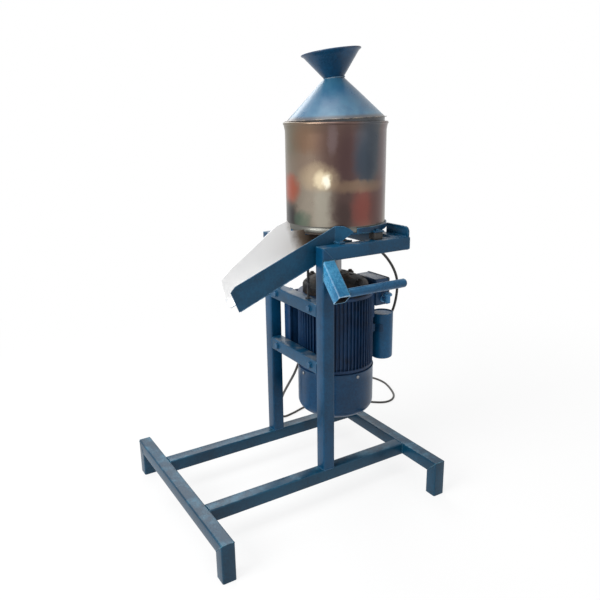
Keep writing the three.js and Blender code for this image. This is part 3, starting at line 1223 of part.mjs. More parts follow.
buildBase();
buildUpperStand();
buildStopStrip();
buildHandle();
buildMotorBody();
buildMotorInside();
buildShields();
buildShaft();
buildFan();
buildCowl();
buildFootBolts();
const entry = buildTerminalBox();
buildCapacitor();
buildDrumSeat();
buildDrum();
buildStones();
buildHopper();
buildLid();
buildChute();
buildCord(entry);
buildCordClip(entry);

for (const mesh of mill.children) {
  mesh.geometry.translate(-WIDTH_CENTRE, 0, 0);
}

export default mill;
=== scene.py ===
"""Nut butter grinder: a stone mill in a stainless drum on a welded stand of square tube.

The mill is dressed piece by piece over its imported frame. Lengths are in metres, +Z is up,
and every place comes from the frame's own boxes or from the sizes named here.
"""
import logging
import math
from dataclasses import dataclass, field
from enum import Enum

import bmesh
import bpy
from mathutils import Matrix, Vector, noise


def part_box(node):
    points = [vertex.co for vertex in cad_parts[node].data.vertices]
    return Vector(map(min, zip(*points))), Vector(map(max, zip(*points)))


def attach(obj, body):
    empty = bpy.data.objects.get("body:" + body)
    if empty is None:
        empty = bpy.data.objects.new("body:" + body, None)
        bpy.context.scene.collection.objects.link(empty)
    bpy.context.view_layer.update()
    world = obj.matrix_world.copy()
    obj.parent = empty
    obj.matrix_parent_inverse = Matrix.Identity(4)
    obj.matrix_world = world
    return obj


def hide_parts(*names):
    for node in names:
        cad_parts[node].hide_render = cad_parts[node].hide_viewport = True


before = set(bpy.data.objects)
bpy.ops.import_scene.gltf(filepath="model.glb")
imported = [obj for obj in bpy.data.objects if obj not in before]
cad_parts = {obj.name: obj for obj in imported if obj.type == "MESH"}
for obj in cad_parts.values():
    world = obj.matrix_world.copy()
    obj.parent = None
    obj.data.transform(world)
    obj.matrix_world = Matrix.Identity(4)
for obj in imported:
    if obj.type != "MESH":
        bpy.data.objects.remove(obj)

log = logging.getLogger("grinder")

Point = tuple[float, float, float]
Profile = list[tuple[float, float]]
Verts = list[bmesh.types.BMVert]
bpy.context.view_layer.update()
SMOOTH_LIMIT = math.radians(34)
DRUM_FACING = math.radians(-121.35)
MERGE = 0.00002

# How nearly a normal or an edge has to point along an axis, and how close a level has to be.
ALONG = 0.9
SQUARE = 0.99
ACROSS = 0.1
FLAT = 0.0004

# Small distances between neighbouring surfaces.
SKIN = 0.0002
HAIR = 0.0003
NIB = 0.0005
PLAY = 0.001

TUBE_SEGMENTS = 4
TUBE_CORNER = 0.0042
WELD_RIPPLE = 190.0
WELD_BEAT = 1.9
WELD_STEP = 0.0016
WELD_WANDER = 0.0004
WELD_SEED = 7
FIN_ROUND_SHARE = 0.42


class Body(str, Enum):
    """The bodies that pieces ride on."""

    STAND = "stand"
    SHAFT = "shaft"
    LID = "lid"


class Axis(Enum):
    """Directions that a bar or a bolt can run in."""

    X = Vector((1, 0, 0))
    Y = Vector((0, 1, 0))
    Z = Vector((0, 0, 1))


# Node groups that several finishes share.

SLOW_WAVES = 45.0


class TreeBuilder:
    """Adds shader nodes to a tree and joins them."""

    def __init__(self, tree: bpy.types.NodeTree) -> None:
        """Takes the tree to build in."""
        self.tree = tree

    def link(self, source: bpy.types.NodeSocket, target: bpy.types.NodeSocket) -> None:
        """Joins two sockets."""
        self.tree.links.new(source, target)

    def add(self, kind: str, **settings: object) -> bpy.types.Node:
        """Adds a shader node and sets its properties.

        Args:
            kind: node type without its ShaderNode prefix.
            settings: properties to set on the node.

        Returns:
            The new node.
        """
        node = self.tree.nodes.new(f"ShaderNode{kind}")
        for name, value in settings.items():
            setattr(node, name, value)
        return node

    def feed(self, inputs: object, *values: object) -> None:
        """Links or sets the inputs of a node in order.

        Args:
            inputs: the sockets.
            values: a socket, a number, a vector or a colour for each.
        """
        for socket, value in zip(inputs, values):
            if isinstance(value, bpy.types.NodeSocket):
                self.link(value, socket)
            elif socket.type == "RGBA":
                socket.default_value = (*value, 1.0)
            else:
                socket.default_value = value

    def bump(self, height: bpy.types.NodeSocket, strength: object,
             distance: object) -> bpy.types.NodeSocket:
        """Adds a bump node and returns its normal.

        Args:
            height: socket of the relief.
            strength: number or socket of its strength.
            distance: number or socket of its depth.

        Returns:
            The normal's socket.
        """
        node = self.add("Bump")
        sockets = [node.inputs[name] for name in ("Height", "Strength", "Distance")]
        self.feed(sockets, height, strength, distance)
        return node.outputs["Normal"]


class GroupBuilder(TreeBuilder):
    """Builds one shader node group from short calls."""

    def __init__(self, name: str) -> None:
        """Starts an empty group under a name."""
        super().__init__(bpy.data.node_groups.new(name, "ShaderNodeTree"))
        self.inputs = self.tree.nodes.new("NodeGroupInput")
        self.outputs = self.tree.nodes.new("NodeGroupOutput")

    def number(self, name: str, value: float) -> bpy.types.NodeSocket:
        """Adds a number input and returns the socket that gives it.

        Args:
            name: name of the input.
            value: value where a material sets none.

        Returns:
            The socket inside the group.
        """
        socket = self.tree.interface.new_socket(name, in_out="INPUT", socket_type="NodeSocketFloat")
        socket.default_value = value
        return self.inputs.outputs[name]

    def result(self, name: str, kind: str, source: bpy.types.NodeSocket) -> None:
        """Adds an output of a kind such as Float or Vector, fed by a socket."""
        self.tree.interface.new_socket(name, in_out="OUTPUT", socket_type=f"NodeSocket{kind}")
        self.link(source, self.outputs.inputs[name])

    def math(self, operation: str, *values: object, clamp: bool = True) -> bpy.types.NodeSocket:
        """Adds a math node.

        Args:
            operation: name of the operation.
            values: numbers or sockets for its inputs.
            clamp: whether the result is kept between 0 and 1.

        Returns:
            The node's output socket.
        """
        node = self.add("Math", operation=operation, use_clamp=clamp)
        self.feed(node.inputs, *values)
        return node.outputs[0]

    def average(self, share: float, first: object, second: object) -> bpy.types.NodeSocket:
        """Mixes two values, with a share of the second.

        Args:
            share: share of the second value.
            first: number or socket.
            second: number or socket.

        Returns:
            The result's socket.
        """
        node = self.add("Mix", data_type="FLOAT")
        self.feed([node.inputs[name] for name in ("Factor", "A", "B")], share, first, second)
        return node.outputs["Result"]

    def noise(self, scale: object, detail: float, rough: float = 0.55) -> bpy.types.Node:
        """Adds a noise texture that reads the object's own coordinates.

        Args:
            scale: number or socket for the noise's scale.
            detail: octaves.
            rough: roughness of the octaves.

        Returns:
            The texture node.
        """
        place = self.add("TexCoord").outputs["Object"]
        texture = self.add("TexNoise")
        sockets = [texture.inputs[name] for name in ("Vector", "Scale", "Detail", "Roughness")]
        self.feed(sockets, place, scale, detail, rough)
        return texture

    def ramp(self, source: object, low: object, high: object) -> bpy.types.NodeSocket:
        """Maps a value smoothly from between two levels to 0 and 1.

        Args:
            source: socket of the value.
            low: level that gives 0.
            high: level that gives 1.

        Returns:
            The result's socket.
        """
        node = self.add("MapRange", interpolation_type="SMOOTHSTEP")
        self.feed(node.inputs, source, low, high, 0.0, 1.0)
        return node.outputs[0]


def edge_wear_and_light_group() -> bpy.types.ShaderNodeTree:
    """Mask of corners, broken up by noise: scuffed paint, and where the edge colour is pale also painted
    highlights along the edges.

    Returns:
        The node group.
    """
    group = GroupBuilder("edge_wear_and_light_mask")
    width = group.number("Width", 0.003)
    amount = group.number("Amount", 0.5)
    scale = group.number("Scale", 40.0)
    rounded = group.add("Bevel", samples=4)
    group.link(width, rounded.inputs["Radius"])
    flat = group.add("NewGeometry")
    facing = group.add("VectorMath", operation="DOT_PRODUCT")
    group.link(rounded.outputs["Normal"], facing.inputs[0])
    group.link(flat.outputs["Normal"], facing.inputs[1])
    bend = group.ramp(facing.outputs["Value"], 0.998, 0.86)
    broken = group.ramp(group.noise(scale, 6.0, 0.65).outputs["Fac"], 0.62, 0.4)
    mask = group.math("MULTIPLY", group.math("MULTIPLY", bend, broken), amount)
    group.result("Mask", "Float", mask)
    return group.tree


def dust_and_top_light_group() -> bpy.types.ShaderNodeTree:
    """Mask of the surfaces that face up, in patches: where they are dusty, and on a few blues where light
    on the top faces is painted.

    Returns:
        The node group.
    """
    group = GroupBuilder("upward_dust_and_top_light")
    amount = group.number("Amount", 0.6)
    scale = group.number("Scale", 18.0)
    level = group.number("Level", 0.45)
    flat = group.add("NewGeometry")
    parts = group.add("SeparateXYZ")
    group.link(flat.outputs["Normal"], parts.inputs[0])
    upward = group.ramp(parts.outputs["Z"], 0.55, 0.97)
    clouds = group.noise(scale, 8.0, 0.62).outputs["Fac"]
    patch = group.ramp(clouds, level, group.math("ADD", level, 0.22))
    mask = group.math("MULTIPLY", group.math("MULTIPLY", upward, patch), amount)
    group.result("Mask", "Float", mask)
    return group.tree


def mottle_group() -> bpy.types.ShaderNodeTree:
    """Slow clouds and fine grain, as a value about one half, and a mask of stains.

    Returns:
        The node group.
    """
    group = GroupBuilder("mottle")
    scale = group.number("Scale", 9.0)
    fine = group.number("Fine scale", 160.0)
    stain_level = group.number("Stain level", 0.6)
    clouds = group.noise(scale, 4.0).outputs["Fac"]
    grain = group.noise(fine, 5.0, 0.6).outputs["Fac"]
    group.result("Value", "Float", group.average(0.35, clouds, grain))
    wide = group.noise(scale, 9.0, 0.7)
    wide.noise_dimensions = "4D"
    wide.inputs["W"].default_value = 3.7
    stains = group.ramp(wide.outputs["Fac"], stain_level, group.math("ADD", stain_level, 0.12))
    group.result("Stains", "Float", stains)
    return group.tree


def orange_peel_group() -> bpy.types.ShaderNodeTree:
    """Normal of a brushed or sprayed coat: soft waves and fine grain.

    Returns:
        The node group.
    """
    group = GroupBuilder("orange_peel")
    strength = group.number("Strength", 0.15)
    scale = group.number("Scale", 260.0)
    depth = group.number("Depth", 0.0006)
    fine = group.noise(scale, 3.0).outputs["Fac"]
    slow = group.noise(SLOW_WAVES, 2.0).outputs["Fac"]
    normal = group.bump(group.average(0.5, fine, slow), strength, depth)
    group.result("Normal", "Vector", normal)
    return group.tree


def drawn_lines_group() -> bpy.types.ShaderNodeTree:
    """Fine level lines that rolling and polishing leave round a turned sheet.

    Returns:
        The node group.
    """
    group = GroupBuilder("drawn_lines")
    across = group.number("Across", 3.0)
    along = group.number("Along", 900.0)
    place = group.add("TexCoord")
    stretch = group.add("CombineXYZ")
    group.feed(stretch.inputs, across, across, along)
    scaled = group.add("VectorMath", operation="MULTIPLY")
    group.feed(scaled.inputs, place.outputs["Object"], stretch.outputs[0])
    texture = group.add("TexNoise")
    sockets = [texture.inputs[name] for name in ("Vector", "Scale", "Detail")]
    group.feed(sockets, scaled.outputs[0], 1.0, 4.0)
    group.result("Lines", "Float", texture.outputs["Fac"])
    return group.tree


def reflection_patch_group() -> bpy.types.ShaderNodeTree:
    """Mask of one soft patch, by the turn round a drum and the share of its height.

    Returns:
        The node group.
    """
    group = GroupBuilder("painted_reflection_patch")
    turn = group.number("Turn", 0.0)
    height = group.number("Height", 0.5)
    sides = []
    for name, place in (("turn", turn), ("height", height)):
        middle = group.number(f"Middle {name}", 0.0)
        half = group.number(f"Half {name}", 0.3)
        offset = group.math("SUBTRACT", place, middle, clamp=False)
        share = group.math("DIVIDE", group.math("ABSOLUTE", offset, clamp=False), half, clamp=False)
        sides.append(group.math("POWER", share, 2.0, clamp=False))
    soft = group.number("Soft", 0.5)
    reach = group.math("ADD", sides[0], sides[1], clamp=False)
    outer = group.math("ADD", 1.0, group.math("MULTIPLY", soft, 1.5, clamp=False), clamp=False)
    inner = group.math("SUBTRACT", 0.9, soft)
    group.result("Mask", "Float", group.ramp(reach, outer, inner))
    return group.tree


class Effect(Enum):
    """Shared node groups, each built once."""

    EDGE_WEAR_AND_LIGHT = edge_wear_and_light_group()
    DUST_AND_TOP_LIGHT = dust_and_top_light_group()
    MOTTLE = mottle_group()
    PEEL = orange_peel_group()
    LINES = drawn_lines_group()
    PATCH = reflection_patch_group()


# Finishes.

Colour = tuple[float, float, float]


def linear(code: str) -> Colour:
    """Turns a screen colour such as 2a5a80 into the linear light a shader takes.

    Args:
        code: six hexadecimal digits.

    Returns:
        Red, green and blue as linear light.
    """
    def channel(text: str) -> float:
        """One channel as linear light."""
        level = int(text, 16) / 255
        return level / 12.92 if level <= 0.04045 else ((level + 0.055) / 1.055) ** 2.4
    return channel(code[0:2]), channel(code[2:4]), channel(code[4:6])


class MaterialBuilder(TreeBuilder):
    """Builds one material round a Principled BSDF."""

    def __init__(self, name: str) -> None:
        """Starts a material under a name."""
        self.material = bpy.data.materials.new(name)
        self.material.use_nodes = True
        super().__init__(self.material.node_tree)
        self.shader = self.tree.nodes["Principled BSDF"]

    def effect(self, which: Effect, **values: float) -> bpy.types.Node:
        """Places a shared group with its own values.

        Args:
            which: the group.
            values: its inputs, with _ for a space in a name.

        Returns:
            The group's node in this material.
        """
        node = self.add("Group", node_tree=which.value)
        for name, value in values.items():
            node.inputs[name.replace("_", " ")].default_value = value
        return node

    def peel(self, **values: float) -> bpy.types.NodeSocket:
        """Normal of a brushed or sprayed coat."""
        return self.effect(Effect.PEEL, **values).outputs["Normal"]

    def mix(self, factor: object, first: object, second: object) -> bpy.types.NodeSocket:
        """Mixes two colours by a mask.

        Args:
            factor: number or socket of the mask.
            first: colour or socket where the mask is 0.
            second: colour or socket where the mask is 1.

        Returns:
            The mixed colour's socket.
        """
        node = self.add("Mix", data_type="RGBA")
        ends = [s for s in node.inputs if s.type == "RGBA"]
        self.feed([node.inputs["Factor"], *ends], factor, first, second)
        return [s for s in node.outputs if s.type == "RGBA"][0]

    def span(self, source: object, low: float, high: float) -> bpy.types.NodeSocket:
        """Maps a value of 0 to 1 onto a range.

        Args:
            source: socket of the value.
            low: result for 0.
            high: result for 1.

        Returns:
            The result's socket.
        """
        node = self.add("MapRange")
        self.feed([node.inputs[name] for name in ("Value", "To Min", "To Max")], source, low, high)
        return node.outputs["Result"]

    def window(self, source: object, low: float, high: float) -> bpy.types.NodeSocket:
        """Smooth mask that rises from 0 at one level to 1 at the other.

        Args:
            source: socket of the value.
            low: level that gives 0.
            high: level that gives 1.

        Returns:
            The mask's socket.
        """
        node = self.add("MapRange", interpolation_type="SMOOTHSTEP")
        self.feed(node.inputs, source, low, high)
        return node.outputs["Result"]

    def both(self, first: object, second: object) -> bpy.types.NodeSocket:
        """Product of two masks.

        Args:
            first: number or socket.
            second: number or socket.

        Returns:
            The product's socket.
        """
        node = self.add("Math", operation="MULTIPLY")
        self.feed(node.inputs, first, second)
        return node.outputs[0]

    def scaled(self, source: object, factor: float, offset: object) -> bpy.types.NodeSocket:
        """A value times a factor, plus an offset.

        Args:
            source: number or socket.
            factor: what it is multiplied by.
            offset: number or socket that is added.

        Returns:
            The result's socket.
        """
        node = self.add("Math", operation="MULTIPLY_ADD")
        self.feed(node.inputs, source, factor, offset)
        return node.outputs[0]

    def parts_of(self, source: bpy.types.NodeSocket) -> object:
        """The three parts of a vector.

        Args:
            source: socket of the vector.

        Returns:
            The sockets of X, Y and Z.
        """
        node = self.add("SeparateXYZ")
        self.link(source, node.inputs[0])
        return node.outputs

    def done(self, colour: object, rough: object, **others: object) -> bpy.types.Material:
        """Feeds the shader and returns the material.

        Args:
            colour: colour or socket of the surface.
            rough: number or socket of its roughness.
            others: further inputs, with _ for a space in a name.

        Returns:
            The material.
        """
        values = {"Base Color": colour, "Roughness": rough}
        values.update({name.replace("_", " "): value for name, value in others.items()})
        self.feed([self.shader.inputs[name] for name in values], *values.values())
        return self.material


@dataclass(frozen=True)
class Paint:
    """Shop enamel brushed on steel: clouds, a dusty top, scuffed corners. On a few blues the top colour is
    a paler blue, painted light on the top faces, and pale scuffed corners are painted edge highlights as
    well as worn paint.
    """

    name: str
    colour: str
    deep: str
    rubbed_and_lit_edge: str = "8fb4cc"
    dust_and_top_light: str = "8f8170"
    dust_and_top_light_amount: float = 0.35
    wear_and_light_amount: float = 0.7
    wear_and_light_width: float = 0.003
    stain: str = "5d4a3a"
    stain_level: float = 0.68
    gloss: tuple[float, float] = (0.28, 0.5)
    scale: float = 9.0
    peel: float = 0.22
    shine: float = 0.28

    def build(self) -> bpy.types.Material:
        """Makes the material.

        Returns:
            The material.
        """
        made = MaterialBuilder(self.name)
        mottle = made.effect(Effect.MOTTLE, Scale=self.scale, Stain_level=self.stain_level)
        wear_and_light = made.effect(Effect.EDGE_WEAR_AND_LIGHT, Width=self.wear_and_light_width, Amount=self.wear_and_light_amount)
        dust_and_top_light = made.effect(Effect.DUST_AND_TOP_LIGHT, Amount=self.dust_and_top_light_amount)
        coat = made.mix(made.window(mottle.outputs["Value"], 0.34, 0.66),
                        linear(self.deep), linear(self.colour))
        # Scuffed corners; where the edge colour is pale they are painted edge highlights as well as worn
        # paint.
        worn = made.mix(wear_and_light.outputs["Mask"], coat, linear(self.rubbed_and_lit_edge))
        stained = made.mix(made.both(mottle.outputs["Stains"], 0.6), worn, linear(self.stain))
        # Dusty top faces; on a few blues the top colour is a paler blue, painted light on the tops.
        dusty = made.mix(dust_and_top_light.outputs["Mask"], stained, linear(self.dust_and_top_light))
        return made.done(dusty, made.span(mottle.outputs["Value"], *self.gloss),
                         Normal=made.peel(Strength=self.peel), Specular_IOR_Level=self.shine)


@dataclass(frozen=True)
class ConePaint:
    """Enamel on the lid: darker high up and paler towards the rim, with grime at the rim and pale worn
    edges that are partly a painted highlight along the lip.
    """

    name: str
    foot: float
    centre: tuple[float, float]
    pale: str = "5a8399"
    middle: str = "33647f"
    dark: str = "1f5072"
    rim: float = 0.139
    grime: str = "4f4238"
    grime_wide: float = 0.012
    # Pale bare edges, partly a painted highlight along the lip.
    bare: str = "b7a48c"
    gloss: tuple[float, float] = (0.2, 0.42)
    peel: float = 0.18

    def build(self) -> bpy.types.Material:
        """Makes the material.

        Returns:
            The material.
        """
        made = MaterialBuilder(self.name)
        place = made.add("TexCoord").outputs["Object"]
        mottle = made.effect(Effect.MOTTLE, Scale=6.0, Fine_scale=24.0, Stain_level=0.6)
        wear_and_light = made.effect(Effect.EDGE_WEAR_AND_LIGHT, Width=0.0025, Amount=0.9)
        shifted = made.scaled(mottle.outputs["Value"], 0.10, made.parts_of(place)["Z"])
        low = made.window(shifted, self.foot + 0.047, self.foot + 0.118)
        base = made.mix(low, linear(self.pale), linear(self.middle))
        dark = made.both(made.window(mottle.outputs["Value"], 0.62, 0.34), 0.8)
        toned = made.mix(dark, base, linear(self.dark))
        stained = made.mix(made.both(mottle.outputs["Stains"], 0.12), toned, linear(self.grime))
        flat = made.add("VectorMath", operation="MULTIPLY_ADD")
        made.feed(flat.inputs, place, (1.0, 1.0, 0.0), (-self.centre[0], -self.centre[1], 0.0))
        reach = made.add("VectorMath", operation="LENGTH")
        made.link(flat.outputs[0], reach.inputs[0])
        rim = made.window(reach.outputs["Value"], self.rim - self.grime_wide, self.rim - 0.002)
        edged = made.mix(made.both(rim, 0.75), stained, linear(self.grime))
        worn = made.mix(wear_and_light.outputs["Mask"], edged, linear(self.bare))
        return made.done(worn, made.span(mottle.outputs["Value"], *self.gloss),
                         Normal=made.peel(Strength=self.peel))


@dataclass(frozen=True)
class Metal:
    """Plain metal with drawn lines, handling marks and a film of grease or rust."""

    name: str
    colour: str
    film: str
    film_level: float = 0.55
    gloss: tuple[float, float] = (0.22, 0.42)
    metallic: float = 1.0
    line_depth: float = 0.12
    scale: float = 12.0
    dust_and_top_light: str = "6b6257"
    dust_and_top_light_amount: float = 0.0

    def build(self) -> bpy.types.Material:
        """Makes the material.

        Returns:
            The material.
        """
        made = MaterialBuilder(self.name)
        mottle = made.effect(Effect.MOTTLE, Scale=self.scale, Stain_level=self.film_level)
        lines = made.effect(Effect.LINES)
        dust_and_top_light = made.effect(Effect.DUST_AND_TOP_LIGHT, Amount=self.dust_and_top_light_amount)
        sheet = made.mix(made.both(made.window(mottle.outputs["Value"], 0.4, 0.7), 0.5),
                         linear(self.colour), linear(self.film))
        filmed = made.mix(made.both(mottle.outputs["Stains"], 0.5), sheet, linear(self.film))
        dusty = made.mix(dust_and_top_light.outputs["Mask"], filmed, linear(self.dust_and_top_light))
        drawn = made.bump(lines.outputs["Lines"], self.line_depth, SKIN)
        return made.done(dusty, made.span(mottle.outputs["Value"], *self.gloss), Metallic=self.metallic,
                         Normal=drawn)


@dataclass(frozen=True)
class ReflectionPatch:
    """One patch of painted reflection on the drum, the palest of them painted highlights: its place,
    extent, colour and softness.
    """

    colour: str
    turn: float
    half_turn: float
    level: float
    half_level: float
    soft: float = 0.6
    strength: float = 1.0


# Painted reflections of the surroundings on the drum, the palest patches painted highlights; those round
# the back, from 100° on, are made-up variety of the same kind. Turns in degrees from the side that faces
# the chute's front, heights as shares of the drum's.
PAINTED_REFLECTIONS = (
    ReflectionPatch("75604f", -42, 40, 0.74, 0.26, 1.0, 0.9),
    ReflectionPatch("6a6455", -74, 22, 0.72, 0.40, 1.0, 0.9),
    ReflectionPatch("85766a", -44, 34, 0.55, 0.16, 1.0, 0.6),
    ReflectionPatch("7a5c49", -34, 20, 0.84, 0.10, 1.0, 0.4),
    ReflectionPatch("56423f", 6, 27, 0.74, 0.36, 1.0, 0.9),
    ReflectionPatch("463335", 12, 13, 0.66, 0.24, 1.0, 0.7),
    ReflectionPatch("7f7072", -8, 5, 0.84, 0.11, 1.0, 0.4),
    ReflectionPatch("3a4550", 38, 17, 0.74, 0.32, 1.0, 0.9),
    ReflectionPatch("303a45", 31, 9, 0.62, 0.16, 1.0, 0.6),
    ReflectionPatch("5c4f52", 66, 13, 0.66, 0.40, 1.0, 0.9),
    ReflectionPatch("8e8578", -24, 20, 0.22, 0.27, 1.0, 0.95),
    ReflectionPatch("9d988b", -18, 9, 0.20, 0.24, 1.0, 0.7),
    ReflectionPatch("9c4c36", -66, 16, 0.40, 0.11, 1.0, 0.95),
    ReflectionPatch("1c1b1d", -66, 17, 0.13, 0.13, 1.0, 0.95),
    ReflectionPatch("4c6254", -44, 10, 0.10, 0.09, 1.0, 0.7),
    ReflectionPatch("4c3b39", 10, 16, 0.20, 0.24, 1.0, 0.9),
    ReflectionPatch("342a2a", 5, 8, 0.14, 0.14, 1.0, 0.5),
    ReflectionPatch("74403a", 32, 15, 0.22, 0.17, 1.0, 0.9),
    ReflectionPatch("5a413f", 52, 12, 0.22, 0.24, 1.0, 0.9),
    ReflectionPatch("826c58", 20, 34, 0.43, 0.05, 1.0, 0.6),
    ReflectionPatch("b09c80", -24, 19, 0.50, 0.10, 1.0, 0.6),
    ReflectionPatch("e6d6b4", -18, 8, 0.48, 0.07, 1.0, 0.8),
    ReflectionPatch("fff8e2", -14, 4, 0.465, 0.05, 1.0),
    ReflectionPatch("efe4cf", 86, 7, 0.42, 0.42, 1.0),
    ReflectionPatch("4f4644", 118, 16, 0.52, 0.60, 1.0, 0.8),
    ReflectionPatch("968c80", 146, 10, 0.48, 0.60, 1.0, 0.7),
    ReflectionPatch("574b47", 170, 12, 0.55, 0.60, 1.0, 0.7),
    ReflectionPatch("8f8579", -158, 12, 0.45, 0.60, 1.0, 0.7),
    ReflectionPatch("4a4443", -128, 16, 0.55, 0.60, 1.0, 0.8),
    ReflectionPatch("857a6d", -100, 9, 0.50, 0.60, 1.0, 0.6),
)


@dataclass(frozen=True)
class DrumSteel:
    """Polished drum sheet with clouds of stain, its base colour and soft patches painted reflections of the
    surroundings and painted highlights.
    """

    centre: tuple[float, float]
    bottom: float
    top: float
    facing: float
    name: str = "drum_steel"
    # Brown-grey base: a painted reflection of the surroundings in the polished sheet.
    base: str = "75695d"
    stain: str = "5d4f45"
    hem: str = "62625d"
    hem_share: float = 0.055
    gloss: tuple[float, float] = (0.2, 0.4)
    metallic: float = 0.85
    line_depth: float = 0.1

    def build(self) -> bpy.types.Material:
        """Makes the material.

        Returns:
            The material.
        """
        made = MaterialBuilder(self.name)
        about = made.add("Mapping", vector_type="TEXTURE")
        made.feed(about.inputs, made.add("TexCoord").outputs["Object"], (*self.centre, 0.0),
                  (0.0, 0.0, self.facing))
        parts = made.parts_of(about.outputs[0])
        turn = made.add("Math", operation="ARCTAN2")
        made.feed(turn.inputs, parts["Y"], parts["X"])
        height = made.add("MapRange", clamp=False)
        made.feed(height.inputs, parts["Z"], self.bottom, self.top)
        mottle = made.effect(Effect.MOTTLE, Scale=10.0, Fine_scale=50.0, Stain_level=0.62)
        turned = self._shifted(made, turn.outputs[0], mottle.outputs["Value"], 0.34)
        raised = self._shifted(made, height.outputs["Result"], mottle.outputs["Value"], 0.16)
        # Clouds of stain on the base colour's painted reflection, then the painted reflections and
        # highlights patch by patch, then the hem's colour.
        film = made.mix(made.both(mottle.outputs["Stains"], 0.4), linear(self.base), linear(self.stain))
        for patch in PAINTED_REFLECTIONS:
            mask = made.effect(
                Effect.PATCH, Middle_turn=math.radians(patch.turn), Half_turn=math.radians(patch.half_turn),
                Middle_height=patch.level, Half_height=patch.half_level, Soft=patch.soft,
            )
            made.link(turned, mask.inputs["Turn"])
            made.link(raised, mask.inputs["Height"])
            film = made.mix(made.both(mask.outputs["Mask"], patch.strength), film, linear(patch.colour))
        foot = made.window(height.outputs["Result"], self.hem_share + 0.006, self.hem_share - 0.004)
        film = made.mix(foot, film, linear(self.hem))
        lines = made.effect(Effect.LINES, Across=4.0, Along=700.0)
        return made.done(film, made.span(mottle.outputs["Value"], *self.gloss), Metallic=self.metallic,
                         Normal=made.bump(lines.outputs["Lines"], self.line_depth, SKIN))

    @staticmethod
    def _shifted(made: MaterialBuilder, value: object, cloud: object, reach: float) -> bpy.types.NodeSocket:
        """Shifts a value back and forth by a cloud about one half.

        Args:
            made: the material being built.
            value: socket of the value.
            cloud: socket of the cloud.
            reach: the shift at the cloud's ends.

        Returns:
            The shifted value's socket.
        """
        moved = made.add("Math", operation="ADD")
        made.feed(moved.inputs, value, made.scaled(cloud, reach, -reach / 2))
        return moved.outputs[0]


@dataclass(frozen=True)
class RunSheet:
    """Bare steel sheet of the chute's inside, painted near white for the bright light on it, smeared brown
    on its floor, and browner to near black under the drum: paste stain with painted shade.
    """

    name: str
    tip: tuple[float, float, float]
    slope: float
    # Near whites: painted light, the bare steel shown washed out by bright light.
    clean_and_lit: str = "fefefe"
    dull: str = "e9e9e8"
    smeared: str = "a59a8e"
    # Brown to near black towards the drum: paste stain with painted shade under the drum.
    stained: str = "75675a"
    deep: str = "3a3029"
    smear_run: tuple[float, float] = (0.16, 0.27)
    stain_and_shade_run: tuple[float, float] = (0.262, 0.300)
    paste_and_shade_run: tuple[float, float] = (0.290, 0.335)
    floor_depth: tuple[float, float] = (0.030, 0.022)
    gloss: tuple[float, float] = (0.3, 0.5)

    def build(self) -> bpy.types.Material:
        """Makes the material.

        Returns:
            The material.
        """
        made = MaterialBuilder(self.name)
        along = made.add("Mapping", vector_type="TEXTURE")
        made.feed(along.inputs, made.add("TexCoord").outputs["Object"], self.tip, (0.0, -self.slope, 0.0))
        parts = made.parts_of(along.outputs[0])
        mottle = made.effect(Effect.MOTTLE, Scale=14.0, Fine_scale=60.0, Stain_level=0.6)
        run = made.scaled(mottle.outputs["Value"], 0.05, parts["X"])
        base = made.mix(made.both(mottle.outputs["Stains"], 0.5), linear(self.clean_and_lit), linear(self.dull))
        on_floor = made.window(parts["Z"], *self.floor_depth)
        smear = made.both(made.both(made.window(run, *self.smear_run), on_floor), 0.6)
        smeared = made.mix(smear, base, linear(self.smeared))
        # Paste stain with painted shade, darkest under the drum.
        brown = made.mix(made.window(run, *self.stain_and_shade_run), smeared, linear(self.stained))
        deep = made.mix(made.window(run, *self.paste_and_shade_run), brown, linear(self.deep))
        return made.done(deep, made.span(mottle.outputs["Value"], *self.gloss))


@dataclass(frozen=True)
class Rubber:
    """Rubber or plastic: dull, faintly grained and dusty."""

    name: str
    colour: str
    dust_and_top_light: str = "6f6a62"
    dust_and_top_light_amount: float = 0.3
    gloss: tuple[float, float] = (0.5, 0.75)
    grain: float = 0.2

    def build(self) -> bpy.types.Material:
        """Makes the material.

        Returns:
            The material.
        """
        made = MaterialBuilder(self.name)
        mottle = made.effect(Effect.MOTTLE, Scale=22.0, Stain_level=0.6)
        dust_and_top_light = made.effect(Effect.DUST_AND_TOP_LIGHT, Amount=self.dust_and_top_light_amount, Scale=35.0)
        base = made.mix(made.both(mottle.outputs["Value"], 0.25), linear(self.colour),
                        linear(self.dust_and_top_light))
        dusty = made.mix(dust_and_top_light.outputs["Mask"], base, linear(self.dust_and_top_light))
        return made.done(dusty, made.span(mottle.outputs["Value"], *self.gloss),
                         Normal=made.peel(Strength=self.grain, Scale=700.0, Depth=HAIR))


@dataclass(frozen=True)
class Mineral:
    """Grinding stone or dried paste: rough, speckled and pitted. The darkest paste, on the drum's seat, is
    also painted shade under the drum.
    """

    name: str
    colour: str
    speck: str
    pit: str = "5b5248"
    rough: float = 0.9
    pits: float = 0.6
    pit_depth: float = 0.0012

    def build(self) -> bpy.types.Material:
        """Makes the material.

        Returns:
            The material.
        """
        made = MaterialBuilder(self.name)
        mottle = made.effect(Effect.MOTTLE, Scale=30.0, Fine_scale=420.0, Stain_level=0.55)
        base = made.mix(made.window(mottle.outputs["Value"], 0.4, 0.62), linear(self.colour),
                        linear(self.speck))
        pitted = made.mix(made.both(mottle.outputs["Stains"], 0.5), base, linear(self.pit))
        return made.done(pitted, self.rough,
                         Normal=made.bump(mottle.outputs["Value"], self.pits, self.pit_depth))


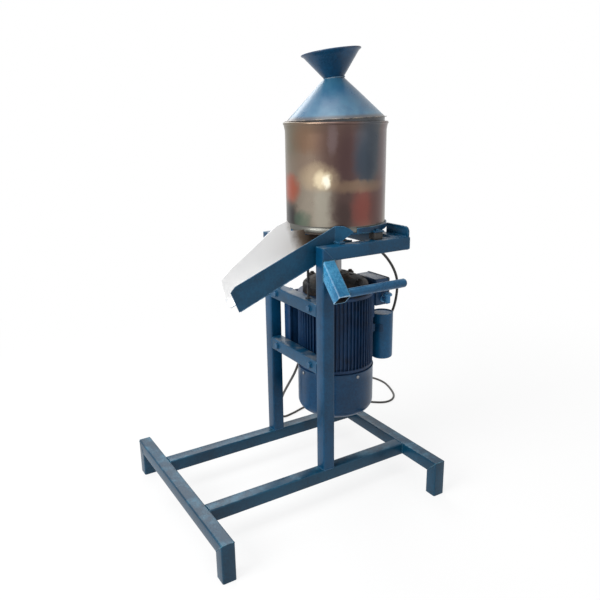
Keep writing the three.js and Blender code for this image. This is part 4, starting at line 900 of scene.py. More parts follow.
class Finishes:
    """Every finish on the mill, each made once."""

    def __init__(self, drum_centre: tuple[float, float], drum_low: float, drum_high: float) -> None:
        """Builds the materials.

        Args:
            drum_centre: place of the drum's axis.
            drum_low: height of the drum's lower edge.
            drum_high: height of the drum's upper edge, where the lid's rim lies.
        """
        self.blue = Paint(
            "stand_blue", "024266", "012f4a", rubbed_and_lit_edge="5596b3", stain="1c2c3a", stain_level=0.6,
            gloss=(0.24, 0.42),
        ).build()
        # Pale top and edge colours: painted highlights on the arm's upper faces and edges, with dusty and
        # worn patches.
        self.handle_blue = Paint(
            "handle_blue", "3a8cb6", "145a82", rubbed_and_lit_edge="b5d5e8", dust_and_top_light="a9c5d6", dust_and_top_light_amount=0.35,
            wear_and_light_amount=1.0, wear_and_light_width=0.005, stain="1f4d74", stain_level=0.56, gloss=(0.18, 0.36),
        ).build()
        # Paler blue on the top: a painted highlight along the top of the bar, dusty as well.
        self.bar_blue = Paint(
            "bar_blue", "0c5680", "084062", rubbed_and_lit_edge="7fadc9", dust_and_top_light="5f8eac", dust_and_top_light_amount=0.5,
            stain="16324d", stain_level=0.6, gloss=(0.2, 0.36),
        ).build()
        self.pale_blue = Paint(
            "worn_pale_blue", "4a8fbf", "2f6f9f", rubbed_and_lit_edge="c3dbe9", dust_and_top_light="c9dbe6", dust_and_top_light_amount=0.6,
            stain="2a567b", stain_level=0.62, gloss=(0.25, 0.42),
        ).build()
        self.rail_blue = Paint(
            "dusty_rail_blue", "03476a", "02334d", rubbed_and_lit_edge="659fb9", dust_and_top_light="6f7274", dust_and_top_light_amount=0.8,
            stain="1a2b3b", stain_level=0.6, wear_and_light_amount=0.9,
        ).build()
        # Paler teal blue on the top faces: painted light on the tops, dusty as well.
        self.base_blue = Paint(
            "base_blue", "073f59", "032e44", rubbed_and_lit_edge="5b97ae", dust_and_top_light="40738b", dust_and_top_light_amount=0.55,
            stain="1e3347", stain_level=0.62, gloss=(0.22, 0.42),
        ).build()
        self.lid_blue = ConePaint("lid_blue", drum_high, drum_centre).build()
        self.funnel_blue = Paint(
            "funnel_blue", "114568", "0a334e", rubbed_and_lit_edge="7a5f4a", wear_and_light_amount=1.0, wear_and_light_width=0.004,
            dust_and_top_light_amount=0.2, stain="16324d", stain_level=0.55, gloss=(0.2, 0.38),
        ).build()
        self.chute_blue = Paint(
            "chute_blue", "0a4766", "06324a", rubbed_and_lit_edge="6a9cc0", dust_and_top_light_amount=0.2, stain="162c42",
            stain_level=0.56,
        ).build()
        self.motor_blue = Paint(
            "motor_blue", "123d66", "0a2544", rubbed_and_lit_edge="3d6489", dust_and_top_light="4d463d", dust_and_top_light_amount=0.7,
            wear_and_light_amount=0.3, stain="121417", stain_level=0.52, gloss=(0.36, 0.6), scale=7.0,
        ).build()
        self.shield_black = Paint(
            "shield_black", "17181b", "0b0b0d", rubbed_and_lit_edge="4d443c", dust_and_top_light="463d34", dust_and_top_light_amount=0.6,
            wear_and_light_amount=0.5, stain="4a3a2e", stain_level=0.5, gloss=(0.5, 0.75), scale=16.0,
        ).build()
        self.cowl_blue = Paint(
            "cowl_blue", "05446c", "032e4c", rubbed_and_lit_edge="4b7499", wear_and_light_amount=0.4, dust_and_top_light_amount=0.3,
            stain="10233a", stain_level=0.56, gloss=(0.26, 0.44), scale=5.0,
        ).build()
        self.can_blue = Paint(
            "can_blue", "0c5a86", "08456a", rubbed_and_lit_edge="a9c3d3", dust_and_top_light="a3a7a6", dust_and_top_light_amount=0.95,
            wear_and_light_amount=0.9, gloss=(0.3, 0.46), stain="15293c", stain_level=0.66,
        ).build()
        self.box_blue = Paint(
            "box_blue", "1d456b", "122f4c", dust_and_top_light="77736a", dust_and_top_light_amount=0.85, wear_and_light_amount=0.4,
            stain="101c29", stain_level=0.58,
        ).build()
        self.drum = DrumSteel(drum_centre, drum_low, drum_high, DRUM_FACING).build()
        self.stainless = Metal("stainless_sheet", "b9b0a5", "8b7a6c").build()
        self.steel = Metal("bare_steel", "8d8f92", "5c534b", gloss=(0.3, 0.5)).build()
        self.iron = Metal("core_iron", "4b4c4f", "2f2b28", gloss=(0.45, 0.7)).build()
        self.copper = Metal("winding_copper", "9a5433", "5d3522", gloss=(0.35, 0.55)).build()
        self.weld = Metal(
            "painted_weld", "03476a", "02334d", metallic=0.0, gloss=(0.35, 0.55),
        ).build()
        self.stone = Mineral("grinding_stone", "9b9488", "6f695f").build()
        self.paste = Mineral("dried_paste", "84705b", "5a4837", rough=0.55, pits=0.9).build()
        # Dark brown: dried paste with painted shade under the drum.
        self.crust_and_shade = Mineral("old_paste_and_shade", "3d332a", "231c17", rough=0.7, pits=0.5).build()
        self.rubber = Rubber("black_rubber", "131315").build()
        self.cable = Rubber("cord_sheath", "0c0c0e", dust_and_top_light_amount=0.08, gloss=(0.36, 0.5)).build()
        self.gasket = Rubber("gasket_rubber", "0a0a0b", dust_and_top_light_amount=0.2).build()
        self.plastic = Rubber("black_plastic", "101012", gloss=(0.3, 0.46), grain=0.1).build()


# Shapes that several pieces share.


class Shape:
    """A mesh in the making, with the operators that the pieces use."""

    def __init__(self) -> None:
        """Starts an empty mesh."""
        self.bm = bmesh.new()

    def block(self, low: Vector, high: Vector) -> Verts:
        """Adds a box between two corners.

        Args:
            low: lowest corner.
            high: highest corner.

        Returns:
            The box's corners.
        """
        size = high - low
        place = Matrix.Translation((low + high) / 2) @ Matrix.Diagonal((*size, 1.0))
        return bmesh.ops.create_cube(self.bm, size=1.0, matrix=place)["verts"]

    def soften(self, edges: list[bmesh.types.BMEdge], width: float, segments: int = 2) -> None:
        """Bevels edges.

        Args:
            edges: edges to round.
            width: width of the bevel.
            segments: flats across the bevel.
        """
        bmesh.ops.bevel(
            self.bm, geom=edges, offset=width, offset_type="OFFSET", affect="EDGES",
            segments=segments, profile=0.5, material=-1,
        )

    def edges_of(self, verts: Verts) -> list[bmesh.types.BMEdge]:
        """Edges between the given corners."""
        inside = set(verts)
        return [e for e in self.bm.edges if e.verts[0] in inside and e.verts[1] in inside]

    def rounded_block(self, low: Vector, high: Vector, radius: float, segments: int = 2) -> None:
        """Adds a box with every edge rounded."""
        self.soften(self.edges_of(self.block(low, high)), radius, segments)

    def edges_along(self, verts: Verts, axis: Axis) -> list[bmesh.types.BMEdge]:
        """Edges between the given corners that run along an axis."""
        return [e for e in self.edges_of(verts)
                if abs((e.verts[1].co - e.verts[0].co).normalized().dot(axis.value)) > ALONG]

    def added_since(self, known: set[bmesh.types.BMVert]) -> Verts:
        """Corners that aren't among the known ones."""
        return [v for v in self.bm.verts if v not in known]

    def bar(self, low: Vector, high: Vector, axis: Axis, radius: float) -> None:
        """Adds a box whose long edges, along one axis, are rounded."""
        self.soften(self.edges_along(self.block(low, high), axis), radius, TUBE_SEGMENTS)

    def slab(self, outline: list[Vector], run: Vector) -> None:
        """Adds a flat outline drawn out along a vector.

        Args:
            outline: corners of the outline, in order.
            run: thickness and its direction.
        """
        face = self.bm.faces.new([self.bm.verts.new(point) for point in outline])
        grown = bmesh.ops.extrude_face_region(self.bm, geom=[face])
        moved = [v for v in grown["geom"] if isinstance(v, bmesh.types.BMVert)]
        bmesh.ops.translate(self.bm, vec=run, verts=moved)

    def hollow(self, faces: list[bmesh.types.BMFace], wall: float, reach: Vector) -> None:
        """Sinks a hollow in faces, inside a wall all round.

        Args:
            faces: the faces it opens in.
            wall: thickness of the wall.
            reach: way from the opening to the hollow's end.
        """
        bmesh.ops.inset_region(self.bm, faces=faces, thickness=wall)
        sunk = bmesh.ops.extrude_discrete_faces(self.bm, faces=faces)["faces"]
        bmesh.ops.translate(self.bm, vec=reach, verts=list({v for f in sunk for v in f.verts}))
        self.recalculate()

    def pierce(self, faces: list[bmesh.types.BMFace], rim: float) -> None:
        """Opens a hole between two opposite faces, inside a rim.

        Args:
            faces: the two opposite faces.
            rim: width that stays round the hole.
        """
        bmesh.ops.inset_region(self.bm, faces=faces, thickness=rim)
        edges = list({e for f in faces for e in f.edges})
        bmesh.ops.delete(self.bm, geom=faces, context="FACES_ONLY")
        bmesh.ops.bridge_loops(self.bm, edges=edges)

    def cut(self, point: Vector, normal: Vector) -> None:
        """Cuts off the side a plane's normal points to and closes the cut.

        Args:
            point: a point of the plane.
            normal: direction of the side that goes.
        """
        geometry = self.bm.verts[:] + self.bm.edges[:] + self.bm.faces[:]
        cut = bmesh.ops.bisect_plane(
            self.bm, geom=geometry, plane_co=point, plane_no=normal, clear_outer=True,
        )
        rim = [e for e in cut["geom_cut"] if isinstance(e, bmesh.types.BMEdge)]
        bmesh.ops.contextual_create(self.bm, geom=rim)

    def lathe(
        self, profile: Profile, steps: int, place: Vector = Vector(),
        closed: bool = True, turn: Matrix = Matrix(),
    ) -> Verts:
        """Turns a profile about the vertical.

        Args:
            profile: radius and height of each point.
            steps: sides of the turned shape.
            place: where the axis stands.
            closed: whether the profile joins its own start.
            turn: turn of the whole shape about its origin, before it is placed.

        Returns:
            The new corners.
        """
        before = set(self.bm.verts)
        points = [self.bm.verts.new((radius, 0.0, height)) for radius, height in profile]
        edges = [self.bm.edges.new(pair) for pair in zip(points, points[1:])]
        if closed:
            edges.append(self.bm.edges.new((points[-1], points[0])))
        bmesh.ops.spin(
            self.bm, geom=points + edges, cent=(0, 0, 0), axis=(0, 0, 1), angle=math.tau,
            steps=steps, use_merge=True,
        )
        new = [v for v in self.bm.verts if v not in before]
        bmesh.ops.remove_doubles(self.bm, verts=new, dist=MERGE)
        new = [v for v in self.bm.verts if v not in before]
        faces = list({face for v in new for face in v.link_faces})
        bmesh.ops.recalc_face_normals(self.bm, faces=faces)
        bmesh.ops.transform(self.bm, matrix=Matrix.Translation(place) @ turn, verts=new)
        return new

    def along(self, profile: Profile, steps: int, start: Vector,
              heading: Vector, closed: bool = False) -> None:
        """Turns a profile about a line that starts at a point.

        Args:
            profile: radius and distance from the start.
            steps: sides.
            start: start of the line.
            heading: direction of the line.
            closed: whether the profile joins its own start.
        """
        turn = Vector((0, 0, 1)).rotation_difference(heading).to_matrix().to_4x4()
        self.lathe(profile, steps, start, closed, turn)

    def move(self, verts: Verts, matrix: Matrix) -> None:
        """Moves corners by a matrix."""
        bmesh.ops.transform(self.bm, matrix=matrix, verts=verts)

    def recalculate(self) -> None:
        """Points every face outwards."""
        bmesh.ops.remove_doubles(self.bm, verts=self.bm.verts[:], dist=MERGE)
        bmesh.ops.recalc_face_normals(self.bm, faces=self.bm.faces[:])

    def to_mesh(self, name: str) -> bpy.types.Mesh:
        """Turns the shape into a mesh and frees it.

        Args:
            name: name of the mesh.

        Returns:
            The mesh.
        """
        mesh = bpy.data.meshes.new(name)
        self.bm.to_mesh(mesh)
        self.bm.free()
        return mesh

    def finish(self, name: str, material: bpy.types.Material, *nodes: str,
               slot: str = "blue_paint", body: Body = Body.STAND) -> bpy.types.Object:
        """Args:
            name: the piece's name.
            material: its finish.
            nodes: frame nodes that it stands for.
            slot: passed on to declare, which doesn't use it.
            body: the body it rides on.

        Returns:
            The new object.
        """
        return declare(self.to_mesh(name), material, *nodes, slot=slot, body=body)


def declare(mesh: bpy.types.Mesh, material: bpy.types.Material, *nodes: str,
            slot: str = "blue_paint", body: Body = Body.STAND) -> bpy.types.Object:
    """Puts a mesh in the scene as a piece of the mill, under the mesh's name.

    Args:
        mesh: the piece's mesh, in its place.
        material: its finish.
        nodes: frame nodes that it stands for.
        slot: not used.
        body: the body it rides on.

    Returns:
        The new object.
    """
    name = mesh.name
    piece = bpy.data.objects.new(name, mesh)
    bpy.context.scene.collection.objects.link(piece)
    if not mesh.materials:
        mesh.materials.append(material)
    mesh.shade_smooth()
    mesh.set_sharp_from_angle(angle=SMOOTH_LIMIT)
    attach(piece, body.value)
    if nodes:
        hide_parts(*nodes)
    log.info("%s: %d faces on %s", name, len(mesh.polygons), body.value)
    return piece


def arc(centre: tuple[float, float], radius: float, start: float, end: float,
        steps: int) -> Profile:
    """Points on part of a circle.

    Args:
        centre: middle of the circle.
        radius: its radius.
        start: first angle in degrees.
        end: last angle in degrees.
        steps: number of stretches.

    Returns:
        The points in order.
    """
    points = []
    for step in range(steps + 1):
        angle = math.radians(start + (end - start) * step / steps)
        points.append((centre[0] + radius * math.cos(angle), centre[1] + radius * math.sin(angle)))
    return points


def bolt_profile(radius: float, height: float) -> Profile:
    """Domed top of a hexagon head or nut, as a closed lathe profile from its foot.

    Args:
        radius: radius of the head.
        height: height of the head.

    Returns:
        Pairs of radius and height.
    """
    chamfer = height * 0.18
    return [(0.0, 0.0), (radius, 0.0), (radius, height - chamfer),
            (radius - chamfer * 1.4, height), (0.0, height)]


def add_hexagon(shape: Shape, start: Vector, heading: Vector, radius: float, height: float) -> None:
    """Adds a chamfered hexagon head."""
    shape.along(bolt_profile(radius, height), 6, start, heading)


def add_washer(shape: Shape, start: Vector, heading: Vector, hole: float, radius: float,
               thickness: float) -> None:
    """Adds a flat washer."""
    shape.along([(hole, 0.0), (radius, 0.0), (radius, thickness), (hole, thickness)],
                32, start, heading, closed=True)


def add_pan_screw(shape: Shape, start: Vector, heading: Vector, radius: float) -> None:
    """Adds a pan head with a cross recess, facing away from its seat.

    Args:
        shape: shape that the head joins.
        start: middle of the seat.
        heading: direction that the head faces.
        radius: radius of the head.
    """
    height = radius * 0.62
    dome = [(radius * math.cos(a), height * (0.35 + 0.65 * math.sin(a)))
            for a in (math.radians(step * 15) for step in range(6))]
    shape.along([(0.0, 0.0), (radius, 0.0), *dome, (radius * 0.3, height),
                 (radius * 0.2, height * 0.55), (0.0, height * 0.5)], 20, start, heading)


def sweep(name: str, paths: list[list[Vector]], radius: float, wobble: float = 0.0) -> bpy.types.Mesh:
    """Round bead along one or more paths, uneven where it is a weld.

    Args:
        name: the mesh's name.
        paths: the middle lines.
        radius: radius of the bead.
        wobble: share of the radius that it varies by.

    Returns:
        The swept mesh, closed at its ends.
    """
    curve = bpy.data.curves.new(name, "CURVE")
    curve.dimensions = "3D"
    curve.bevel_depth = radius
    curve.bevel_resolution = 3
    curve.use_fill_caps = True
    for path in paths:
        spline = curve.splines.new("POLY")
        spline.points.add(len(path) - 1)
        for index, (point, place) in enumerate(zip(spline.points, path)):
            point.co = (*place, 1.0)
            ripple = noise.noise(place * WELD_RIPPLE) + 0.5 * math.sin(index * WELD_BEAT)
            point.radius = 1.0 + wobble * ripple
    holder = bpy.data.objects.new(name, curve)
    bpy.context.scene.collection.objects.link(holder)
    seen = holder.evaluated_get(bpy.context.evaluated_depsgraph_get())
    mesh = bpy.data.meshes.new_from_object(seen)
    bpy.data.objects.remove(holder)
    bpy.data.curves.remove(curve)
    mesh.name = name
    return mesh


def bead_path(*corners: Vector) -> list[Vector]:
    """Fine points along a line of corners, slightly off the line as a hand weld is.

    Args:
        corners: corners of the line, in order.

    Returns:
        The points.
    """
    points = []
    for start, end in zip(corners, corners[1:]):
        steps = max(2, round((end - start).length / WELD_STEP))
        for step in range(steps):
            place = start.lerp(end, step / steps)
            points.append(place + noise.noise_vector(place * WELD_RIPPLE) * WELD_WANDER)
    points.append(corners[-1].copy())
    return points


def square_bead(centre: Vector, axis: Axis, half: float) -> list[Vector]:
    """Weld path round the end of a square tube.

    Args:
        centre: middle of the tube's end.
        axis: direction of the tube.
        half: half the tube's side.

    Returns:
        Points once round the tube.
    """
    first, second = {
        Axis.X: (Axis.Y.value, Axis.Z.value),
        Axis.Y: (Axis.X.value, Axis.Z.value),
        Axis.Z: (Axis.X.value, Axis.Y.value),
    }[axis]
    corner = TUBE_CORNER * 0.6 / half
    turns = ((-1, -1), (1, -1), (1, 1), (-1, 1))
    ring = []
    for index, (a, b) in enumerate(turns):
        c, d = turns[(index + 1) % len(turns)]
        for share in (corner, 1 - corner):
            x, y = a + (c - a) * share, b + (d - b) * share
            ring.append(centre + first * half * x + second * half * y)
    return bead_path(*ring, ring[0])


def middle_of(node: str) -> Vector:
    """Middle of a node's box."""
    low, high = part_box(node)
    return (low + high) / 2


def upright(node: str) -> Vector:
    """Foot of the upright line through the middle of a node's box."""
    middle = middle_of(node)
    return Vector((middle.x, middle.y, 0.0))


def dress_nodes(looks: dict[str, bpy.types.Material]) -> None:
    """Gives the frame's own nodes their finishes.

    Args:
        looks: material for each node's name.
    """
    for node, material in looks.items():
        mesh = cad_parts[node].data
        mesh.materials.clear()
        mesh.materials.append(material)
        log.info("%s keeps its shape in %s", node, material.name)


@dataclass
class Assembly:
    """One sub-assembly: the finishes that its pieces get, then its own sizes."""

    look: Finishes


# The scene round the mill.


@dataclass
class Studio:
    """Camera where the photograph was taken, pale floor and soft lamps."""

    camera_place: Point = (-0.8784, -1.5260, 1.1000)
    heading: float = math.radians(31.35)
    drop: float = math.radians(16.0)
    roll: float = math.radians(-0.89)
    lens: float = 37.61
    floor_radius: float = 9.0
    floor_colour: Colour = (0.93, 0.93, 0.93)
    floor_white: float = 0.82
    floor_near: float = 0.75
    floor_far: float = 2.4
    world_light: float = 0.24
    lamp_aim: Point = (0.15, 0.0, 0.65)

    def place_camera(self) -> None:
        """Sets the camera from its heading, drop and roll."""
        forward = Vector((
            math.sin(self.heading) * math.cos(self.drop),
            math.cos(self.heading) * math.cos(self.drop),
            -math.sin(self.drop),
        ))
        level = Vector((math.cos(self.heading), -math.sin(self.heading), 0.0))
        upward = level.cross(forward)
        right = math.cos(self.roll) * level + math.sin(self.roll) * upward
        top = -math.sin(self.roll) * level + math.cos(self.roll) * upward
        turn = Matrix((right, top, -forward)).transposed().to_4x4()
        data = bpy.data.cameras.new("camera")
        data.lens = self.lens
        data.sensor_width = 36.0
        data.clip_end = 60.0
        camera = bpy.data.objects.new("camera", data)
        camera.matrix_world = Matrix.Translation(self.camera_place) @ turn
        bpy.context.scene.collection.objects.link(camera)
        bpy.context.scene.camera = camera

    def build(self) -> None:
        """Makes the floor, the lamps and the world.
        """
        self._floor()
        self._lamp("key", (-3.4, -0.5, 2.7), 135.0, 2.2)
        self._lamp("fill", (1.4, -3.6, 1.8), 14.0, 2.8)
        self._lamp("back", (1.2, 3.0, 3.2), 60.0, 2.4)
        self._lamp("top", (-0.9, -0.3, 4.0), 70.0, 2.6)
        self._world()
        bpy.context.scene.view_settings.view_transform = "Standard"

    def _floor(self) -> None:
        """Pale floor that keeps the mill's shadow and shows white elsewhere."""
        shape = Shape()
        bmesh.ops.create_circle(
            shape.bm, cap_ends=True, radius=self.floor_radius, segments=96,
            matrix=Matrix.Translation((0, 0, -0.0006)),
        )
        mesh = shape.to_mesh("floor")
        floor = bpy.data.objects.new("floor", mesh)
        bpy.context.scene.collection.objects.link(floor)
        made = MaterialBuilder("pale_floor")
        mesh.materials.append(made.done(self.floor_colour, 0.9, Specular_IOR_Level=0.1))
        path = made.add("LightPath")
        seen = made.add("Math", operation="MAXIMUM")
        made.feed(seen.inputs, path.outputs["Is Camera Ray"], path.outputs["Is Glossy Ray"])
        reach = made.add("VectorMath", operation="LENGTH")
        made.link(made.add("TexCoord").outputs["Object"], reach.inputs[0])
        fade = made.add("MapRange", interpolation_type="SMOOTHSTEP")
        made.feed(fade.inputs, reach.outputs["Value"], self.floor_near, self.floor_far, self.floor_white)
        blend = made.add("MixShader")
        made.feed(blend.inputs, made.both(seen.outputs[0], fade.outputs["Result"]), made.shader.outputs[0],
                  made.add("Emission").outputs[0])
        output = next(n for n in made.tree.nodes if n.type == "OUTPUT_MATERIAL")
        made.link(blend.outputs[0], output.inputs["Surface"])

    def _lamp(self, name: str, place: Point, power: float, size: float) -> None:
        """Adds a square soft lamp that looks at the middle of the mill.

        Args:
            name: name of the lamp.
            place: where it stands.
            power: power in watts.
            size: length of its side.
        """
        data = bpy.data.lights.new(name, "AREA")
        data.energy = power
        data.size = size
        lamp = bpy.data.objects.new(name, data)
        lamp.location = place
        aim = Vector(self.lamp_aim) - Vector(place)
        lamp.rotation_euler = aim.to_track_quat("-Z", "Y").to_euler()
        bpy.context.scene.collection.objects.link(lamp)

    def _world(self) -> None:
        """White to the camera and in reflections, softer as a light."""
        world = bpy.data.worlds.new("studio")
        world.use_nodes = True
        bpy.context.scene.world = world
        made = TreeBuilder(world.node_tree)
        shown = made.tree.nodes["Background"]
        lit = made.add("Background")
        made.feed(lit.inputs, (1.0, 1.0, 1.0), self.world_light)
        made.feed(shown.inputs, (1.0, 1.0, 1.0), 1.0)
        path = made.add("LightPath")
        seen = path.outputs["Is Camera Ray"]
        for name in ("Is Glossy Ray", "Is Transmission Ray"):
            either = made.add("Math", operation="MAXIMUM")
            made.feed(either.inputs, seen, path.outputs[name])
            seen = either.outputs[0]
        mix = made.add("MixShader")
        made.feed(mix.inputs, seen, lit.outputs[0], shown.outputs[0])
        made.link(mix.outputs[0], made.tree.nodes["World Output"].inputs["Surface"])


# Mains cord, coil, tie, plug and clip.

# Points of the free lead from the gland down, counted from the gland's mouth.
LEAD_ROUTE: tuple[Point, ...] = (
    (0, 0, -0.020), (0.004, 0, -0.042), (0.018, -0.002, -0.062), (0.043, -0.008, -0.069),
    (0.066, -0.018, -0.056), (0.080, -0.038, -0.004), (0.086, -0.041, 0.086),
    (0.057, -0.030, 0.152), (0.011, -0.016, 0.196), (-0.020, -0.004, 0.204),
    (-0.049, 0.014, 0.201), (-0.070, 0.042, 0.186), (-0.082, 0.075, 0.158),
    (-0.089, 0.101, 0.118), (-0.104, 0.116, 0.024), (-0.120, 0.119, -0.026),
    (-0.160, 0.134, -0.138), (-0.173, 0.152, -0.210), (-0.172, 0.179, -0.254),
    (-0.156, 0.301, -0.398), (-0.147, 0.328, -0.446),
)
# Points on the floor, from the middle of the base.
FLOOR_ROUTE: tuple[Point, ...] = (
    (0.191, 0.372, 0.0270), (0.214, 0.383, 0.0062), (0.261, 0.393, 0.0044),
    (0.317, 0.411, 0.0044), (0.380, 0.422, 0.0044), (0.448, 0.408, 0.0044),
    (0.514, 0.362, 0.0044), (0.612, 0.276, 0.0044), (0.652, 0.275, 0.0044),
    (0.691, 0.305, 0.0044), (0.736, 0.408, 0.0044), (0.740, 0.450, 0.0044),
    (0.732, 0.492, 0.0044), (0.710, 0.529, 0.0044), (0.676, 0.554, 0.0044),
    (0.638, 0.565, 0.0044),
)


@dataclass
class MainsCord(Assembly):
    """Rubber cord from the gland, over the motor's back and into a tied coil."""

    radius: float = 0.00425
    start: Point = (0.3228, 0.026, 0.5174)
    width_centre: float = 0.0084
    coil_middle: tuple[float, float] = (0.5516, 0.520)
    coil_radius: float = 0.047
    coil_turns: int = 2
    coil_pitch: float = 0.0093
    coil_steps: int = 24
    coil_straight: float = 0.009
    coil_tail: float = 0.037
    lift: float = 0.00015
    lead: float = 0.026
    stretch_steps: int = 10
    plug_radius: float = 0.0226
    plug_length: float = 0.044
    plug_step: float = 0.003
    plug_edge: float = 0.002
    plug_neck: float = 0.008
    plug_neck_length: float = 0.022
    neck_ribs: int = 5
    pin_spread: float = 0.011
    pin_rise: float = 0.0088
    pin_length: float = 0.018
    pin_half: float = 0.003
    pin_half_thin: float = 0.0014
    tie_round: float = 0.003
    tie_sheet: float = 0.0013
    buckle_depth: tuple[float, float] = (0.0012, 0.0026)
    buckle_half: tuple[float, float] = (0.0045, 0.004)
    buckle_edge: float = 0.0008
    clip_play: float = 0.0018
    clip_wall: float = 0.002
    clip_half: float = 0.005
    clip_point: int = 9

    def coil_height(self, turns: float) -> float:
        """Height of the coil's middle line after a number of turns.

        Args:
            turns: turns from the coil's start.

        Returns:
            The height.
        """
        whole = math.floor(turns)
        share = min(max((turns - whole - 0.5) / 0.5, 0.0), 1.0)
        climb = share * share * (3 - 2 * share)
        return self.radius + self.lift + self.coil_pitch * (whole + climb)

    def coil_points(self) -> list[Vector]:
        """Middle line of the coil and its two straight ends.

        Returns:
            The points, in order.
        """
        total = math.tau * self.coil_turns
        around = total * self.coil_radius
        length = around + self.coil_straight + self.coil_tail
        steps = self.coil_turns * self.coil_steps + 8
        points = []
        for step in range(steps + 1):
            along = length * step / steps - self.coil_straight
            turned = min(max(along / self.coil_radius, 0.0), total)
            past = along - turned * self.coil_radius
            angle = math.pi / 2 + turned
            points.append(Vector((
                self.coil_middle[0] + self.coil_radius * math.cos(angle) - past,
                self.coil_middle[1] + self.coil_radius * math.sin(angle),
                self.coil_height(turned / math.tau),
            )))
        return points

    def lead_points(self) -> list[Vector]:
        """The lead's own points, from the gland to the coil.

        Returns:
            The points, in order.
        """
        start = Vector(self.start)
        low = self.radius + self.lift
        hanging = [start + Vector(step) for step in LEAD_ROUTE]
        lying = [Vector((x - self.width_centre, y, max(z, low))) for x, y, z in FLOOR_ROUTE]
        joint = self.coil_points()[0]
        return [start, *hanging, *lying, joint + Vector((self.lead, 0, 0))]

    def smooth(self, points: list[Vector]) -> list[Vector]:
        """Centripetal curve through the points, as fine points.

        Args:
            points: the route.

        Returns:
            Points along the curve, the route's own among them.
        """
        ends = [points[0] * 2 - points[1], *points, points[-1] * 2 - points[-2]]
        fine = []
        for before, here, there, after in zip(ends, ends[1:], ends[2:], ends[3:]):
            knots = [0.0]
            for a, b in ((before, here), (here, there), (there, after)):
                knots.append(knots[-1] + math.sqrt((b - a).length))
            for step in range(self.stretch_steps):
                t = knots[1] + (knots[2] - knots[1]) * step / self.stretch_steps
                fine.append(self._blend((before, here, there, after), knots, t))
        fine.append(points[-1])
        return fine

    @staticmethod
    def _blend(points: tuple, knots: list[float], t: float) -> Vector:
        """Point of a centripetal Catmull-Rom stretch.

        Args:
            points: four neighbouring points.
            knots: their parameters.
            t: parameter of the wanted point.

        Returns:
            The point.
        """
        level = list(points)
        for spans in (((0, 1), (1, 2), (2, 3)), ((0, 2), (1, 3)), ((1, 2),)):
            level = [
                here.lerp(there, (t - knots[low]) / (knots[high] - knots[low]))
                for here, there, (low, high) in zip(level, level[1:], spans)
            ]
        return level[0]

    def make(self) -> None:
        """Makes the cord, its plug, its tie and its clip."""
        plug = self._plug()
        tie = self._tie()
        coil = self.coil_points()
        route = [*self.smooth([*self.lead_points(), coil[0]])[:-1], *coil]
        curve = bpy.data.curves.new("power_lead", "CURVE")
        curve.dimensions = "3D"
        curve.bevel_depth = self.radius
        curve.bevel_resolution = 5
        curve.use_fill_caps = True
        spline = curve.splines.new("POLY")
        spline.points.add(len(route) - 1)
        for point, place in zip(spline.points, route):
            point.co = (*place, 1.0)
        spline.use_smooth = True
        cord = bpy.data.objects.new("power_lead", curve)
        bpy.context.scene.collection.objects.link(cord)
        curve.materials.append(self.look.cable)
        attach(cord, Body.STAND.value)
        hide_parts("power_cord", "cord_coil")
        self._clip()

    def _plug(self) -> bpy.types.Object:
        """Moulded plug with a ribbed neck, a grip and three pins.

        Returns:
            The plug.
        """
        shape = Shape()
        end = self.coil_points()[-1]
        back = Vector((-1, 0, 0))
        neck = self.plug_neck
        ribs = [(0.0, 0.0), (neck * 0.66, 0.0)]
        pitch = self.plug_neck_length / self.neck_ribs
        for index in range(self.neck_ribs):
            reach = neck * (0.72 + 0.28 * index / (self.neck_ribs - 1))
            near = pitch * (index + 0.15)
            ribs += [(reach, near), (reach, near + pitch * 0.5), (reach * 0.82, near + pitch * 0.62)]
        ribs += [(neck * 0.9, self.plug_neck_length), (0.0, self.plug_neck_length)]
        shape.along(ribs, 24, end, back)
        body_start = end + back * (self.plug_neck_length - PLAY)
        radius, length = self.plug_radius, self.plug_length
        shape.along([
            (0.0, 0.0), (radius * 0.5, 0.0), (radius * 0.62, self.plug_step), (radius * 0.7, length * 0.35),
            (radius * 0.8, length * 0.5), (radius * 0.97, length * 0.62), (radius, length * 0.7),
            (radius, length - self.plug_edge), (radius - self.plug_edge, length), (0.0, length),
        ], 40, body_start, back)
        front = body_start + back * length
        for side, rise in ((-1, -1), (1, -1), (0, 1)):
            middle = front + Vector((0, side * self.pin_spread, rise * self.pin_rise))
            flat = Vector((0, self.pin_half_thin if side else self.pin_half, self.pin_half))
            low = middle - flat - Vector((self.pin_length, 0, 0))
            shape.rounded_block(low, middle + flat + Vector((PLAY, 0, 0)), NIB)
        plug = shape.finish("plug", self.look.plastic, "cord_plug", slot="black_plastic")
        plug.data.materials.append(self.look.steel)
        for face in plug.data.polygons:
            if face.center.x < front.x - SKIN:
                face.material_index = 1
        return plug

    def _tie(self) -> bpy.types.Object:
        """Flat strap round the coil, with a buckle.

        Returns:
            The strap.
        """
        low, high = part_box("coil_tie")
        middle = middle_of("coil_tie")
        shape = Shape()
        shape.rounded_block(low, high, self.tie_round, 4)
        shape.pierce([f for f in shape.bm.faces if abs(f.normal.y) > SQUARE], self.tie_sheet)
        inside, outside = self.buckle_depth
        wide, tall = self.buckle_half
        shape.rounded_block(Vector((high.x - inside, middle.y - wide, middle.z - tall)),
                            Vector((high.x + outside, middle.y + wide, middle.z + tall)), self.buckle_edge)
        return shape.finish("tie_strap", self.look.plastic, "coil_tie", slot="black_rubber")

